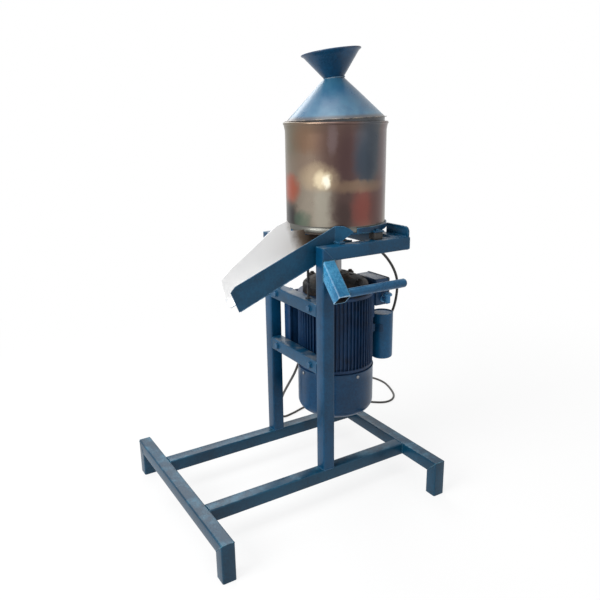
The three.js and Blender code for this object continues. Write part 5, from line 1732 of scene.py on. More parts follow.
    def _clip(self) -> None:
        """Saddle under the end tube that carries the cord."""
        centre = middle_of("cord_clip")
        half = self.radius + self.clip_play
        wide = half + self.clip_wall
        at = self.clip_point
        before, here, after = LEAD_ROUTE[at - 1], LEAD_ROUTE[at], LEAD_ROUTE[at + 1]
        turn = math.atan2(after[1] - before[1], after[0] - before[0])
        level = self.start[2] + here[2]
        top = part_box("cord_clip")[1].z - level
        outline = [
            (-wide, top), *arc((0.0, 0.0), wide, 180, 360, 16), (wide, top),
            (half, top), *arc((0.0, 0.0), half, 360, 180, 16), (-half, top),
        ]
        deep = self.clip_half
        shape = Shape()
        shape.slab([Vector((-deep, y, z)) for y, z in outline], Vector((2 * deep, 0, 0)))
        shape.block(Vector((-deep, -wide, top - self.clip_wall)), Vector((deep, wide, top)))
        shape.recalculate()
        place = Matrix.Translation((centre.x, centre.y, level)) @ Matrix.Rotation(turn, 4, "Z")
        shape.move(shape.bm.verts[:], place)
        shape.finish("cord_saddle", self.look.plastic, "cord_clip", slot="black_plastic")


# The welded stand.


class Trim(Enum):
    """Mitre planes: which box corner they pass, and the normal of the side cut off."""

    FOOT_FRONT = ((0, 0, 1), (0, 1, 1))
    FOOT_BACK = ((0, 1, 1), (0, -1, 1))
    BASE_FRONT = ((0, 0, 1), (0, -1, -1))
    BASE_BACK = ((0, 1, 1), (0, 1, -1))
    POST_TOP = ((0, 0, 1), (1, 0, 1))
    RAIL_LEFT = ((0, 0, 1), (-1, 0, -1))
    RAIL_FRONT_CORNER = ((1, 0, 0), (1, 1, 0))
    RAIL_BACK_CORNER = ((1, 1, 0), (1, -1, 0))
    END_FRONT = ((1, 0, 0), (-1, -1, 0))
    END_BACK = ((1, 1, 0), (-1, 1, 0))


@dataclass
class Stand(Assembly):
    """Base, posts, top frame, motor rails, stop strip and carrying handle."""

    tube: float = 0.038
    wall: float = 0.0025
    weld: float = 0.0016
    weld_wobble: float = 0.3
    sink: float = 0.0004
    arm_slope: float = math.radians(47.5)
    arm_length: float = 0.113
    arm_drop: float = 0.034
    arm_mouth: float = 0.002
    arm_hollow_share: float = 0.62
    bar_nose_share: float = 0.55
    rail_weld_sink: float = 0.0006
    strip_corner: float = 0.016
    strip_edge: float = 0.0007
    strip_weld_ends: tuple[float, float] = (0.004, 0.002)
    seams: list[list[Vector]] = field(default_factory=list)
    pale_seams: list[list[Vector]] = field(default_factory=list)

    def make(self) -> None:
        """Makes every piece of the stand."""
        self._base()
        self._frame()
        self._motor_rails()
        self._strip()
        self._arm()
        self._carry_bar()
        self._welds()

    def bar(self, node: str, axis: Axis, trims: tuple[Trim, ...], name: str,
            material: bpy.types.Material) -> None:
        """One length of tube in place of its node.

        Args:
            node: the frame's node.
            axis: its direction.
            trims: mitres at its ends.
            name: the piece's name.
            material: its finish.
        """
        low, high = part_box(node)
        shape = Shape()
        shape.bar(low, high, axis, TUBE_CORNER)
        for trim in trims:
            pick, normal = trim.value
            point = Vector((high[i] if pick[i] else low[i] for i in range(3)))
            shape.cut(point, Vector(normal).normalized())
        shape.finish(name, material, node)

    def _base(self) -> None:
        """Cross tubes, feet and long rails."""
        for side in ("left", "right"):
            self.bar(f"base_tube_{side}", Axis.Y, (Trim.BASE_FRONT, Trim.BASE_BACK),
                     f"cross_tube_{side}", self.look.base_blue)
            for end, trim in (("front", Trim.FOOT_FRONT), ("back", Trim.FOOT_BACK)):
                node = f"foot_{end}_{side}"
                self.bar(node, Axis.Z, (trim,), f"leg_{end}_{side}", self.look.base_blue)
                self._mitre_seam(node, end)
        for end in ("front", "back"):
            node = f"base_rail_{end}"
            self.bar(node, Axis.X, (), f"long_rail_{end}", self.look.base_blue)
            low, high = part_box(node)
            middle = middle_of(node)
            for x in (low.x, high.x):
                self.pale_seams.append(square_bead(Vector((x, middle.y, middle.z)), Axis.X, self.tube / 2))

    def _mitre_seam(self, node: str, end: str) -> None:
        """Bead over the slanting seam between a leg and its cross tube.

        Args:
            node: node of the leg.
            end: front or back.
        """
        low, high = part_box(node)
        out, inner = (low.y, high.y) if end == "front" else (high.y, low.y)
        step = math.copysign(TUBE_CORNER, inner - out)
        for x in (low.x + self.sink, high.x - self.sink):
            self.pale_seams.append(bead_path(
                Vector((x, out + step, high.z - TUBE_CORNER)),
                Vector((x, inner - step, high.z - self.tube + TUBE_CORNER)),
            ))
        self.pale_seams.append(bead_path(
            Vector((low.x + TUBE_CORNER, inner - step * 0.2, high.z - self.tube + self.sink)),
            Vector((high.x - TUBE_CORNER, inner - step * 0.2, high.z - self.tube + self.sink)),
        ))

    def _frame(self) -> None:
        """Posts and the top frame that is open at its left."""
        for end in ("front", "back"):
            post = f"post_{end}"
            self.bar(post, Axis.Z, (Trim.POST_TOP,), f"upright_{end}", self.look.blue)
            corner = Trim.RAIL_FRONT_CORNER if end == "front" else Trim.RAIL_BACK_CORNER
            self.bar(f"top_rail_{end}", Axis.X, (Trim.RAIL_LEFT, corner), f"top_bar_{end}",
                     self.look.rail_blue)
            low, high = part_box(post)
            foot = upright(post) + Vector((0, 0, low.z))
            self.seams.append(square_bead(foot, Axis.Z, self.tube / 2))
            for y in (low.y + self.sink, high.y - self.sink):
                self.seams.append(bead_path(
                    Vector((low.x + TUBE_CORNER, y, high.z - TUBE_CORNER)),
                    Vector((high.x - TUBE_CORNER, y, high.z - self.tube + TUBE_CORNER)),
                ))
        self.bar("top_end_tube", Axis.Y, (Trim.END_FRONT, Trim.END_BACK), "top_end_bar",
                 self.look.rail_blue)
        low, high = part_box("top_end_tube")
        for y, step in ((low.y, TUBE_CORNER), (high.y, -TUBE_CORNER)):
            inner = y + math.copysign(self.tube, step)
            for z in (low.z + self.sink, high.z - self.sink):
                self.seams.append(bead_path(Vector((high.x - TUBE_CORNER, y + step, z)),
                                            Vector((low.x + TUBE_CORNER, inner - step, z))))

    def _motor_rails(self) -> None:
        """The two rails that the motor is bolted to."""
        for level in ("lower", "upper"):
            node = f"motor_rail_{level}"
            self.bar(node, Axis.Y, (), f"mounting_rail_{level}", self.look.rail_blue)
            low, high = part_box(node)
            middle = middle_of(node)
            half = self.tube / 2 - self.rail_weld_sink
            for y in (low.y, high.y):
                self.seams.append(square_bead(Vector((middle.x, y, middle.z)), Axis.Y, half))

    def _strip(self) -> None:
        """Flat stop strip across the frame's right end, with its front corner rounded."""
        low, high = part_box("stop_strip")
        radius = self.strip_corner
        corner = arc((low.y + radius, high.z - radius), radius, 90, 180, 12)
        outline = [(high.y, low.z), (high.y, high.z), *corner, (low.y, low.z)]
        shape = Shape()
        shape.slab([Vector((low.x, y, z)) for y, z in outline], Vector((high.x - low.x, 0, 0)))
        shape.recalculate()
        rims = [e for e in shape.bm.edges
                if abs((e.verts[0].co - e.verts[1].co).normalized().x) < ACROSS]
        shape.soften(rims, self.strip_edge)
        shape.finish("stop_plate", self.look.rail_blue, "stop_strip")
        front, back = self.strip_weld_ends
        for x in (low.x, high.x):
            self.seams.append(bead_path(Vector((x, low.y + front, low.z + self.sink)),
                                        Vector((x, high.y - back, low.z + self.sink))))

    def _arm(self) -> None:
        """Sloping arm of the handle, with an open lower end."""
        post_low, post_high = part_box("post_front")
        arm_low, arm_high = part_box("handle_arm")
        half = self.tube / 2
        heading = Vector((0, -math.cos(self.arm_slope), -math.sin(self.arm_slope)))
        inward = Vector((0, math.sin(self.arm_slope), -math.cos(self.arm_slope)))
        root = Vector((post_low.x + half, post_low.y, post_high.z - self.arm_drop))
        end = root + inward * half + heading * self.arm_length
        shape = Shape()
        shape.bar(Vector((-half, -half, 0)), Vector((half, half, self.arm_length + 2 * self.tube)), Axis.Z,
                  TUBE_CORNER)
        mouth = [f for f in shape.bm.faces if f.normal.z < -ALONG]
        shape.hollow(mouth, self.wall, Vector((0, 0, self.arm_length * self.arm_hollow_share)))
        turn = Matrix((Axis.X.value, -heading.cross(Axis.X.value), -heading)).transposed().to_4x4()
        shape.move(shape.bm.verts[:], Matrix.Translation(end) @ turn)
        shape.cut(Vector((0, arm_high.y, 0)), Axis.Y.value)
        arm = shape.finish("carry_arm", self.look.handle_blue, "handle_arm")
        arm.data.materials.append(self.look.iron)
        inner = half - self.wall * 0.7
        for face in arm.data.polygons:
            offset = face.center - end
            deep = offset.dot(-heading) - self.arm_mouth
            across = max(abs(offset.x), abs(offset.dot(inward)))
            if 0 < deep < self.arm_length * 0.7 and across < inner:
                face.material_index = 1
        upper = post_high.z - self.arm_drop + (post_low.y - arm_high.y) * math.tan(self.arm_slope)
        lower = upper - self.tube / math.cos(self.arm_slope)
        corners = [
            Vector((x, arm_high.y, z)) for x, z in (
                (arm_low.x, upper), (arm_high.x, upper), (arm_high.x, lower), (arm_low.x, lower),
            )
        ]
        self.pale_seams.append(bead_path(*corners, corners[0]))

    def _carry_bar(self) -> None:
        """Round bar that the arm carries, and its weld."""
        low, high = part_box("handle_bar")
        middle = middle_of("handle_bar")
        radius = (high.z - low.z) / 2
        length = high.x - low.x
        nose = radius * self.bar_nose_share
        shape = Shape()
        shape.along([
            (0.0, 0.0), (radius, 0.0), (radius, length * 0.33), (radius, length * 0.66),
            *arc((radius - nose, length - nose), nose, 0, 90, 8), (0.0, length),
        ], 48, Vector((low.x, middle.y, middle.z)), Axis.X.value)
        shape.finish("carry_bar", self.look.bar_blue, "handle_bar")
        around = arc((middle.y, middle.z), radius, 0, 360, 40)
        self.pale_seams.append([Vector((low.x + self.rail_weld_sink, y, z)) for y, z in around])

    def _welds(self) -> None:
        """All the weld beads, as two pieces in the two shades of paint."""
        declare(sweep("frame_welds", self.seams, self.weld, self.weld_wobble), self.look.weld)
        declare(sweep("pale_welds", self.pale_seams, self.weld, self.weld_wobble), self.look.base_blue)


# The motor.


@dataclass
class Motor(Assembly):
    """Finned motor with its shields, cowl, fan, shaft and foot bolts."""

    steps: int = 160
    body_radius: float = 0.108
    bore: float = 0.100
    flange: float = 0.010
    broken_edge: float = 0.002
    fins: int = 60
    fin_height: float = 0.008
    fin_root: float = 0.0036
    fin_tip: float = 0.0022
    fin_setback: float = 0.004
    short_fin: float = 0.19
    box_side: float = math.radians(24)
    foot_thickness: float = 0.014
    foot_width: float = 0.034
    foot_web: float = 0.006
    foot_bolt_y: float = 0.095
    foot_end: float = 0.020
    pad_width: float = 0.096
    pad_depth: float = 0.024
    pad_height: float = 0.092

    shield_foot: float = 0.009
    shield_round: float = 0.010
    shield_fall: float = 0.026
    shield_dome: float = 0.0045
    crown_depth: float = 0.010
    hub: float = 0.042
    hub_step: float = 0.002
    hub_hole: float = 0.016
    ribs: int = 8
    rib_half: float = 0.003
    rib_foot: float = 0.012
    rib_fall: float = 0.0155
    lugs: int = 4
    lug_radius: float = 0.011
    lug_height: float = 0.012
    lug_inset: float = 0.014
    lug_drop: float = 0.016
    lug_head: tuple[float, float] = (0.0065, 0.005)

    cowl_corner: float = 0.032
    cowl_wall: float = 0.0015
    cowl_swell: float = 0.045
    cowl_neck: float = 0.03
    cowl_roll: tuple[float, float, float] = (0.0044, 0.0030, 0.0012)
    cowl_roll_rise: float = 0.0008
    slot_inner: float = 0.028
    slot_outer: float = 0.088
    slot_spacing: float = 45.0
    slot_half: float = 5.0
    cowl_screws: int = 4
    cowl_screw_head: float = 0.005

    bolt_head: tuple[float, float] = (0.0098, 0.0064)
    bolt_nut: tuple[float, float] = (0.0098, 0.008)
    nut_setback: float = 0.013
    washer: tuple[float, float] = (0.0052, 0.0115)
    head_washer: tuple[float, float] = (0.0012, 0.0014)
    nut_washer: tuple[float, float] = (0.0006, 0.0016)
    bolt_radius: float = 0.0048
    thread_root: float = 0.0043
    thread_crest: float = 0.0049
    thread_turns: int = 9
    thread_length: float = 0.0092
    thread_start: float = 0.010
    bolt_tip: float = 0.004

    shaft_radii: tuple[float, float, float, float] = (0.0185, 0.015, 0.012, 0.010)
    shaft_chamfer: float = 0.001
    fan_height: float = 0.0303
    collar_start: float = 0.004
    collar_groove: tuple[float, float] = (0.045, 0.051)
    collar_groove_depth: float = 0.0015

    def make(self) -> None:
        """Makes every piece of the motor."""
        self.axis = upright("rotor")
        self._body()
        self._top_shield()
        self._cowl()
        self._bolts()
        self._shaft()
        dress_nodes({
            "stator": self.look.copper, "rotor": self.look.iron, "bearing_top": self.look.steel,
            "bearing_bottom": self.look.steel, "cooling_fan": self.look.plastic,
            "end_shield_bottom": self.look.motor_blue,
        })

    def _round(self, angle: float) -> Matrix:
        """Turn by an angle about the motor's axis, from the X axis."""
        return Matrix.Translation(self.axis) @ Matrix.Rotation(angle, 4, "Z")

    def _body(self) -> None:
        """Cast body: a hollow cylinder, fins, end flanges, feet and the box pad."""
        low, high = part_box("motor_body")
        shape = Shape()
        flange, edge, body = self.flange, self.broken_edge, self.body_radius
        rim = body + self.fin_height
        shape.lathe([
            (self.bore, low.z), (rim - edge, low.z), (rim, low.z + edge), (rim, low.z + flange - edge),
            (rim - edge, low.z + flange), (body, low.z + flange), (body, high.z - flange),
            (rim - edge, high.z - flange), (rim, high.z - flange + edge), (rim, high.z - edge),
            (rim - edge, high.z), (self.bore, high.z),
        ], self.steps, self.axis)
        first, last = low.z + self.fin_setback, high.z - self.fin_setback
        for index in range(self.fins):
            self._fin(shape, math.tau * (index + 0.5) / self.fins, first, last)
        self._feet(shape, low)
        shape.rounded_block(Vector((high.x - self.pad_depth, -self.pad_width / 2, last - self.pad_height)),
                            Vector((high.x, self.pad_width / 2, last)), edge)
        shape.finish("motor_casting", self.look.motor_blue, "motor_body", slot="motor_casting")

    def _fin(self, shape: Shape, angle: float, low: float, high: float) -> None:
        """Adds one upright fin with a rounded, thinner tip, cut short under the terminal box.

        Args:
            shape: the casting in the making.
            angle: where the fin stands round the motor.
            low: height of its foot.
            high: height of its head.
        """
        if math.cos(angle) > math.cos(self.box_side):
            high = min(high, low + self.short_fin)
        known = set(shape.bm.verts)
        verts = shape.block(Vector((self.body_radius - self.broken_edge, -self.fin_root / 2, low)),
                            Vector((self.body_radius + self.fin_height, self.fin_root / 2, high)))
        tips = [v for v in verts if v.co.x > self.body_radius]
        bmesh.ops.scale(shape.bm, vec=(1, self.fin_tip / self.fin_root, 1), verts=tips)
        shape.soften(shape.edges_of(tips), self.fin_tip * FIN_ROUND_SHARE)
        shape.move(shape.added_since(known), self._round(angle))

    def _feet(self, shape: Shape, low: Vector) -> None:
        """Adds two long feet that stand on the rails, each with a web to the body.

        Args:
            shape: the casting in the making.
            low: lowest corner of the casting.
        """
        bottom = middle_of("motor_bolt_lower_front").z - self.foot_end
        top = min(middle_of("motor_bolt_upper_front").z + self.foot_end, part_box("motor_body")[1].z)
        edge = self.broken_edge
        for side in (-1, 1):
            y = side * self.foot_bolt_y
            shape.rounded_block(Vector((low.x, y - self.foot_width / 2, bottom)),
                                Vector((low.x + self.foot_thickness, y + self.foot_width / 2, top)), edge)
            web = y - side * (self.foot_width / 2 - self.foot_web / 2)
            shape.rounded_block(
                Vector((low.x + edge, web - self.foot_web / 2, bottom + edge)),
                Vector((self.axis.x - self.body_radius / 2, web + self.foot_web / 2, top - edge)), edge / 2,
            )

    def _top_shield(self) -> None:
        """Upper end shield: crowned, ribbed, with its bearing hub and four screws."""
        low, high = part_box("end_shield_top")
        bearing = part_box("bearing_top")
        radius, hub, step, hole = self.bore, self.hub, self.hub_step, self.hub_hole
        seat = (bearing[1].x - bearing[0].x) / 2 + HAIR
        crown = high.z - self.crown_depth
        rounded = self.shield_round
        shape = Shape()
        shape.lathe([
            (radius - self.shield_foot, low.z), (radius, low.z),
            *arc((radius - rounded, crown - self.shield_fall), rounded, 0, 62, 6),
            (radius - self.shield_fall, crown - self.shield_dome), (hub + 2 * step, crown - step / 2),
            (hub, crown + step), (hub - step / 2, high.z - step), (hub - 1.5 * step, high.z),
            (hole, high.z), (hole, crown), (seat, crown), (seat, bearing[0].z - HAIR),
            (hub, bearing[0].z - HAIR), (radius - self.shield_foot, low.z + self.shield_foot),
        ], self.steps, self.axis)
        for index in range(self.ribs):
            self._rib(shape, math.tau * (index + 0.5) / self.ribs, crown)
        lug, tall = self.lug_radius, self.lug_height
        for index in range(self.lugs):
            angle = math.tau * (index + 0.25) / self.lugs
            spot = self.axis + Vector((math.cos(angle), math.sin(angle), 0)) * (radius - self.lug_inset)
            spot.z = crown - self.lug_drop
            shape.along([
                (0.0, 0.0), (lug, 0.0), (lug, tall - step), (lug - 0.75 * step, tall), (0.0, tall),
            ], 24, spot, Axis.Z.value)
            add_hexagon(shape, spot + Vector((0, 0, tall)), Axis.Z.value, *self.lug_head)
        shape.finish("upper_shield", self.look.shield_black, "end_shield_top", slot="motor_casting")

    def _rib(self, shape: Shape, angle: float, crown: float) -> None:
        """Adds one rib of the upper shield, from its hub down to its rim.

        Args:
            shape: the shield in the making.
            angle: where the rib stands round the motor.
            crown: height of the shield's crown.
        """
        step = self.hub_step
        known = set(shape.bm.verts)
        verts = shape.block(Vector((self.hub - 2 * step, -self.rib_half, crown - self.rib_foot)),
                            Vector((self.bore - 2.5 * step, self.rib_half, crown + self.shield_dome)))
        outer = [v for v in verts if v.co.x > self.hub and v.co.z > crown]
        bmesh.ops.translate(shape.bm, vec=(0, 0, -self.rib_fall), verts=outer)
        shape.soften(shape.edges_of(verts), step / 2)
        shape.move(shape.added_since(known), self._round(angle))

    def _cowl(self) -> None:
        """Pressed fan cowl with a rounded lower corner, slots and screws."""
        low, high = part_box("fan_cowl")
        radius = (high.x - low.x) / 2
        corner = self.cowl_corner
        rings = [(self.slot_inner + (self.slot_outer - self.slot_inner) * step / 4, low.z)
                 for step in range(5)]
        first, second, third = self.cowl_roll
        rolled = radius + self.cowl_roll_rise
        shape = Shape()
        shape.lathe([
            (0.0, low.z), *rings, *arc((radius - corner, low.z + corner), corner, -90, 0, 10),
            (radius, low.z + self.cowl_swell), (radius, high.z - self.cowl_neck), (radius, high.z - first),
            (rolled, high.z - second), (rolled, high.z - third), (radius, high.z),
        ], 144, self.axis, closed=False)
        self._open_slots(shape, low.z)
        bmesh.ops.recalc_face_normals(shape.bm, faces=shape.bm.faces[:])
        top_face = max(shape.bm.faces, key=lambda f: f.calc_center_median().z)
        outwards = top_face.calc_center_median() - self.axis
        if top_face.normal.dot(Vector((outwards.x, outwards.y, 0))) < 0:
            bmesh.ops.reverse_faces(shape.bm, faces=shape.bm.faces[:])
        shell = shape.finish("cowl_shell", self.look.cowl_blue, "fan_cowl")
        wall = shell.modifiers.new("wall", "SOLIDIFY")
        wall.thickness = self.cowl_wall
        wall.offset = -1.0
        screws = Shape()
        height = Vector((0, 0, middle_of("cowl_screw").z))
        for index in range(self.cowl_screws):
            angle = -math.pi / 2 + math.tau * index / self.cowl_screws
            away = Vector((math.cos(angle), math.sin(angle), 0))
            add_pan_screw(screws, self.axis + away * (radius + SKIN) + height, away, self.cowl_screw_head)
        screws.finish("cowl_screws", self.look.steel, "cowl_screw", slot="bare_steel")

    def _open_slots(self, shape: Shape, level: float) -> None:
        """Takes out wedges of the cowl's floor between two radii.

        Args:
            shape: the cowl in the making.
            level: height of its floor.
        """
        gone = []
        for face in shape.bm.faces:
            middle = face.calc_center_median() - self.axis
            reach = math.hypot(middle.x, middle.y)
            turn = math.degrees(math.atan2(middle.y, middle.x)) % self.slot_spacing
            open_turn = turn < self.slot_half or turn > self.slot_spacing - self.slot_half
            if abs(middle.z - level) < FLAT and self.slot_inner < reach < self.slot_outer and open_turn:
                gone.append(face)
        bmesh.ops.delete(shape.bm, geom=gone, context="FACES")

    def _bolts(self) -> None:
        """Foot bolts with their washers and nuts, threaded tips showing."""
        along = Axis.X.value
        for place in ("lower_front", "lower_back", "upper_front", "upper_back"):
            node = f"motor_bolt_{place}"
            low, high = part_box(node)
            middle = middle_of(node)
            shape = Shape()
            seat = Vector((low.x + self.bolt_head[1], middle.y, middle.z))
            add_hexagon(shape, seat, -along, *self.bolt_head)
            setback, thickness = self.head_washer
            add_washer(shape, seat - along * setback, along, *self.washer, thickness)
            nut = Vector((high.x - self.nut_setback, middle.y, middle.z))
            add_hexagon(shape, nut, along, *self.bolt_nut)
            setback, thickness = self.nut_washer
            add_washer(shape, nut - along * setback, along, *self.washer, thickness)
            length = high.x - seat.x
            thread = [(0.0, 0.0), (self.bolt_radius, 0.0)]
            for index in range(self.thread_turns):
                at = length - self.thread_start + self.thread_length * index / self.thread_turns
                thread += [(self.thread_root, at), (self.thread_crest, at + NIB)]
            thread += [(self.bolt_tip, length - SKIN), (0.0, length)]
            shape.along(thread, 20, seat, along)
            shape.finish(f"foot_bolt_{place}", self.look.weld, node, slot="bare_steel")

    def _shaft(self) -> None:
        """Shaft with shoulders, chamfers and a coupling sleeve below the drum."""
        low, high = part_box("motor_shaft")
        plate_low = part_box("runner_plate")[0].z
        fan_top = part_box("cooling_fan")[0].z + self.fan_height
        collar, body, fan, spindle = self.shaft_radii
        chamfer = self.shaft_chamfer
        groove = self.collar_groove_depth
        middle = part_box("end_shield_top")[1].z + self.collar_start
        first, last = (middle + height for height in self.collar_groove)
        shape = Shape()
        shape.lathe([
            (0.0, low.z), (fan - chamfer, low.z), (fan, low.z + chamfer), (fan, fan_top),
            (body, fan_top), (body, middle), (collar - chamfer, middle), (collar, middle + chamfer),
            (collar, first), (collar - groove, first + groove), (collar - groove, last - groove),
            (collar, last), (collar, plate_low - chamfer - HAIR), (collar - chamfer, plate_low - HAIR),
            (spindle, plate_low - HAIR), (spindle, high.z - chamfer), (spindle - chamfer, high.z),
            (0.0, high.z),
        ], 64, self.axis, closed=False)
        shape.finish("drive_shaft", self.look.steel, "motor_shaft", slot="bare_steel", body=Body.SHAFT)


# Terminal box and capacitor.


@dataclass
class Electrics(Assembly):
    """Terminal box with its fittings, and the capacitor in its clamp."""

    wall: float = 0.004
    box_round: float = 0.004
    lid_round: float = 0.005
    gasket_width: float = 0.0075
    lid_edge: float = 0.0018
    pad_inset: float = 0.016
    pad_rise: float = 0.0012
    screw_inset: float = 0.009
    screw_head: float = 0.0042

    nut_radius: float = 0.014
    nut_height: float = 0.009
    mouth: float = 0.006
    cap_radius: float = 0.0112
    cap_ribs: int = 3
    rib_pitch: float = 0.0022
    rib_step: float = 0.0012
    rib_depth: float = 0.0008
    mouth_lip: tuple[float, float] = (0.0014, 0.0006)
    cap_length_share: float = 0.72

    entry_radius: float = 0.0145
    entry_reach: float = 0.022
    entry_stem: float = 0.009
    stem_edge: float = 0.0012
    neck_rise: float = 0.009
    neck_flange: tuple[float, float] = (0.0105, 0.003)
    neck: tuple[float, float] = (0.008, 0.0036)
    dome: float = 0.0085
    cap_heights: tuple[float, float, float] = (0.0125, 0.0115, 0.0102)

    can_corner: float = 0.006
    can_rim: float = 0.0025
    can_band: tuple[float, float] = (0.05, 0.03)
    clamp_sheet: float = 0.0015
    clamp_gap: float = 0.0003
    clamp_wrap_share: float = 0.35
    clamp_tab: float = 0.015
    clamp_standoff: float = 0.0005

    def make(self) -> None:
        """Makes the box, gasket, lid, entries, capacitor and clamp."""
        self._box()
        self._gasket()
        self._cover()
        self._gland()
        self._spare_entry()
        self._can()
        self._saddle()

    def _box(self) -> None:
        """Cast box with a hollow."""
        low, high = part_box("terminal_box")
        shape = Shape()
        verts = shape.block(low, high)
        back = [e for e in shape.edges_of(verts) if all(v.co.x < low.x + PLAY for v in e.verts)]
        shape.soften(shape.edges_along(verts, Axis.X) + back, self.box_round, 3)
        mouth = [f for f in shape.bm.faces if f.normal.x > ALONG]
        shape.hollow(mouth, self.wall, Vector((low.x + self.wall - high.x, 0, 0)))
        shape.finish("box_casting", self.look.box_blue, "terminal_box")

    def _gasket(self) -> None:
        """Flat gasket with the cover's outline."""
        shape = Shape()
        verts = shape.block(*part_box("box_gasket"))
        shape.soften(shape.edges_along(verts, Axis.X), self.lid_round, 4)
        shape.pierce([f for f in shape.bm.faces if abs(f.normal.x) > ALONG], self.gasket_width)
        shape.recalculate()
        shape.finish("gasket_ring", self.look.gasket, "box_gasket", slot="black_rubber")

    def _cover(self) -> None:
        """Cover with a raised field, and its four screws."""
        low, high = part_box("box_lid")
        shape = Shape()
        verts = shape.block(low, high)
        shape.soften(shape.edges_along(verts, Axis.X), self.lid_round, 4)
        rim = [e for f in shape.bm.faces if f.normal.x > ALONG for e in f.edges]
        shape.soften(rim, self.lid_edge, 3)
        inset = Vector((0.0, self.pad_inset, self.pad_inset))
        shape.rounded_block(Vector((high.x - PLAY, low.y, low.z)) + inset,
                            Vector((high.x + self.pad_rise, high.y, high.z)) - inset, PLAY)
        shape.finish("box_cover", self.look.box_blue, "box_lid")
        screws = Shape()
        for y in (low.y + self.screw_inset, high.y - self.screw_inset):
            for z in (low.z + self.screw_inset, high.z - self.screw_inset):
                add_pan_screw(screws, Vector((high.x - SKIN, y, z)), Axis.X.value, self.screw_head)
        screws.finish("cover_screws", self.look.steel, slot="bare_steel")

    def _gland(self) -> None:
        """Compression gland: hexagon, ribbed cap and a rubber mouth."""
        low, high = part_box("cable_gland")
        start = upright("cable_gland") + Vector((0, 0, high.z))
        down = -Axis.Z.value
        shape = Shape()
        add_hexagon(shape, start, down, self.nut_radius, self.nut_height)
        depth = high.z - low.z
        cap, step = self.cap_radius, self.rib_step
        profile = [(0.0, self.nut_height - PLAY), (cap, self.nut_height - PLAY)]
        for index in range(self.cap_ribs):
            at = self.nut_height + step + self.rib_pitch * index
            profile += [(cap, at), (cap - self.rib_depth, at + step / 2), (cap, at + step)]
        wide, tall = self.mouth_lip
        profile += [(cap, depth * self.cap_length_share), (self.mouth + wide, depth - tall),
                    (self.mouth, depth), (0.0, depth)]
        shape.along(profile, 32, start, down)
        shape.finish("gland_nut", self.look.plastic, "cable_gland", slot="black_plastic")

    def _spare_entry(self) -> None:
        """Closed entry: a neck out of the box and a domed cap on its elbow."""
        low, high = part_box("spare_entry")
        wide, stem, edge = self.entry_radius, self.entry_stem, self.stem_edge
        middle = Vector(((low.x + high.x) / 2, high.y - self.entry_reach, low.z))
        reach = high.y - middle.y
        flange, neck = self.neck_flange, self.neck
        shape = Shape()
        shape.along([(0.0, 0.0), (flange[0], 0.0), flange, neck, (neck[0], reach), (0.0, reach)], 36,
                    Vector((middle.x, high.y, low.z + self.neck_rise)), -Axis.Y.value)
        top = high.z - low.z
        dome = [(wide * math.cos(a), top - self.dome + self.dome * math.sin(a))
                for a in (math.radians(step * 10) for step in range(9))]
        first, second, third = (top - height for height in self.cap_heights)
        shape.along([(0.0, 0.0), (stem - edge, 0.0), (stem, edge), (stem, first), (wide - edge, second),
                     (wide, third), *dome, (0.0, top)], 48, middle, Axis.Z.value)
        shape.finish("entry_cap", self.look.pale_blue, "spare_entry", slot="light_blue_paint")

    def _can(self) -> None:
        """Round can with a rounded foot, a rolled rim and a dusty top."""
        low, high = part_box("capacitor")
        radius = (high.x - low.x) / 2
        corner, rim = self.can_corner, self.can_rim
        shape = Shape()
        shape.lathe([
            (0.0, low.z + PLAY), (radius * 0.5, low.z),
            *arc((radius - corner, low.z + corner), corner, -90, 0, 7),
            (radius, low.z + self.can_band[0]), (radius, high.z - self.can_band[1]), (radius, high.z - rim),
            *arc((radius - rim / 2, high.z - rim / 2), rim / 2, 0, 180, 8),
            (radius - rim, high.z - rim * 1.3), (radius * 0.6, high.z - rim * 1.1), (0.0, high.z - rim),
        ], 96, upright("capacitor"), closed=False)
        shape.finish("capacitor_can", self.look.can_blue, "capacitor", slot="can_paint")

    def _saddle(self) -> None:
        """Sheet saddle behind the can, with a tab to the motor's fins."""
        low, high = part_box("capacitor_clamp")
        can_low, can_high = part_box("capacitor")
        inner = (can_high.x - can_low.x) / 2 + self.clamp_gap
        outer = inner + self.clamp_sheet
        motor_axis = upright("rotor")
        away = upright("capacitor") - motor_axis
        reach = away.length
        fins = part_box("motor_body")[1].y - motor_axis.y + self.clamp_standoff
        end = math.degrees(math.acos(-self.clamp_wrap_share))
        side = math.degrees(math.asin(self.clamp_tab / outer))
        saddle = math.degrees(math.asin(self.clamp_tab / fins))
        outline = [
            *arc((reach, 0.0), inner, end, 360 - end, 28),
            *arc((reach, 0.0), outer, 360 - end, 180 + side, 12),
            *arc((0.0, 0.0), fins, -saddle, saddle, 10),
            *arc((reach, 0.0), outer, 180 - side, end, 12),
        ]
        shape = Shape()
        shape.slab([Vector((x, y, low.z)) for x, y in outline], Vector((0, 0, high.z - low.z)))
        shape.recalculate()
        turn = Matrix.Rotation(math.atan2(away.y, away.x), 4, "Z")
        shape.move(shape.bm.verts[:], Matrix.Translation(motor_axis) @ turn)
        shape.finish("can_saddle", self.look.cowl_blue, "capacitor_clamp")


# Drum with its seat, stones and hopper.

BUFFERS = ("front_right", "back_right", "back_left")


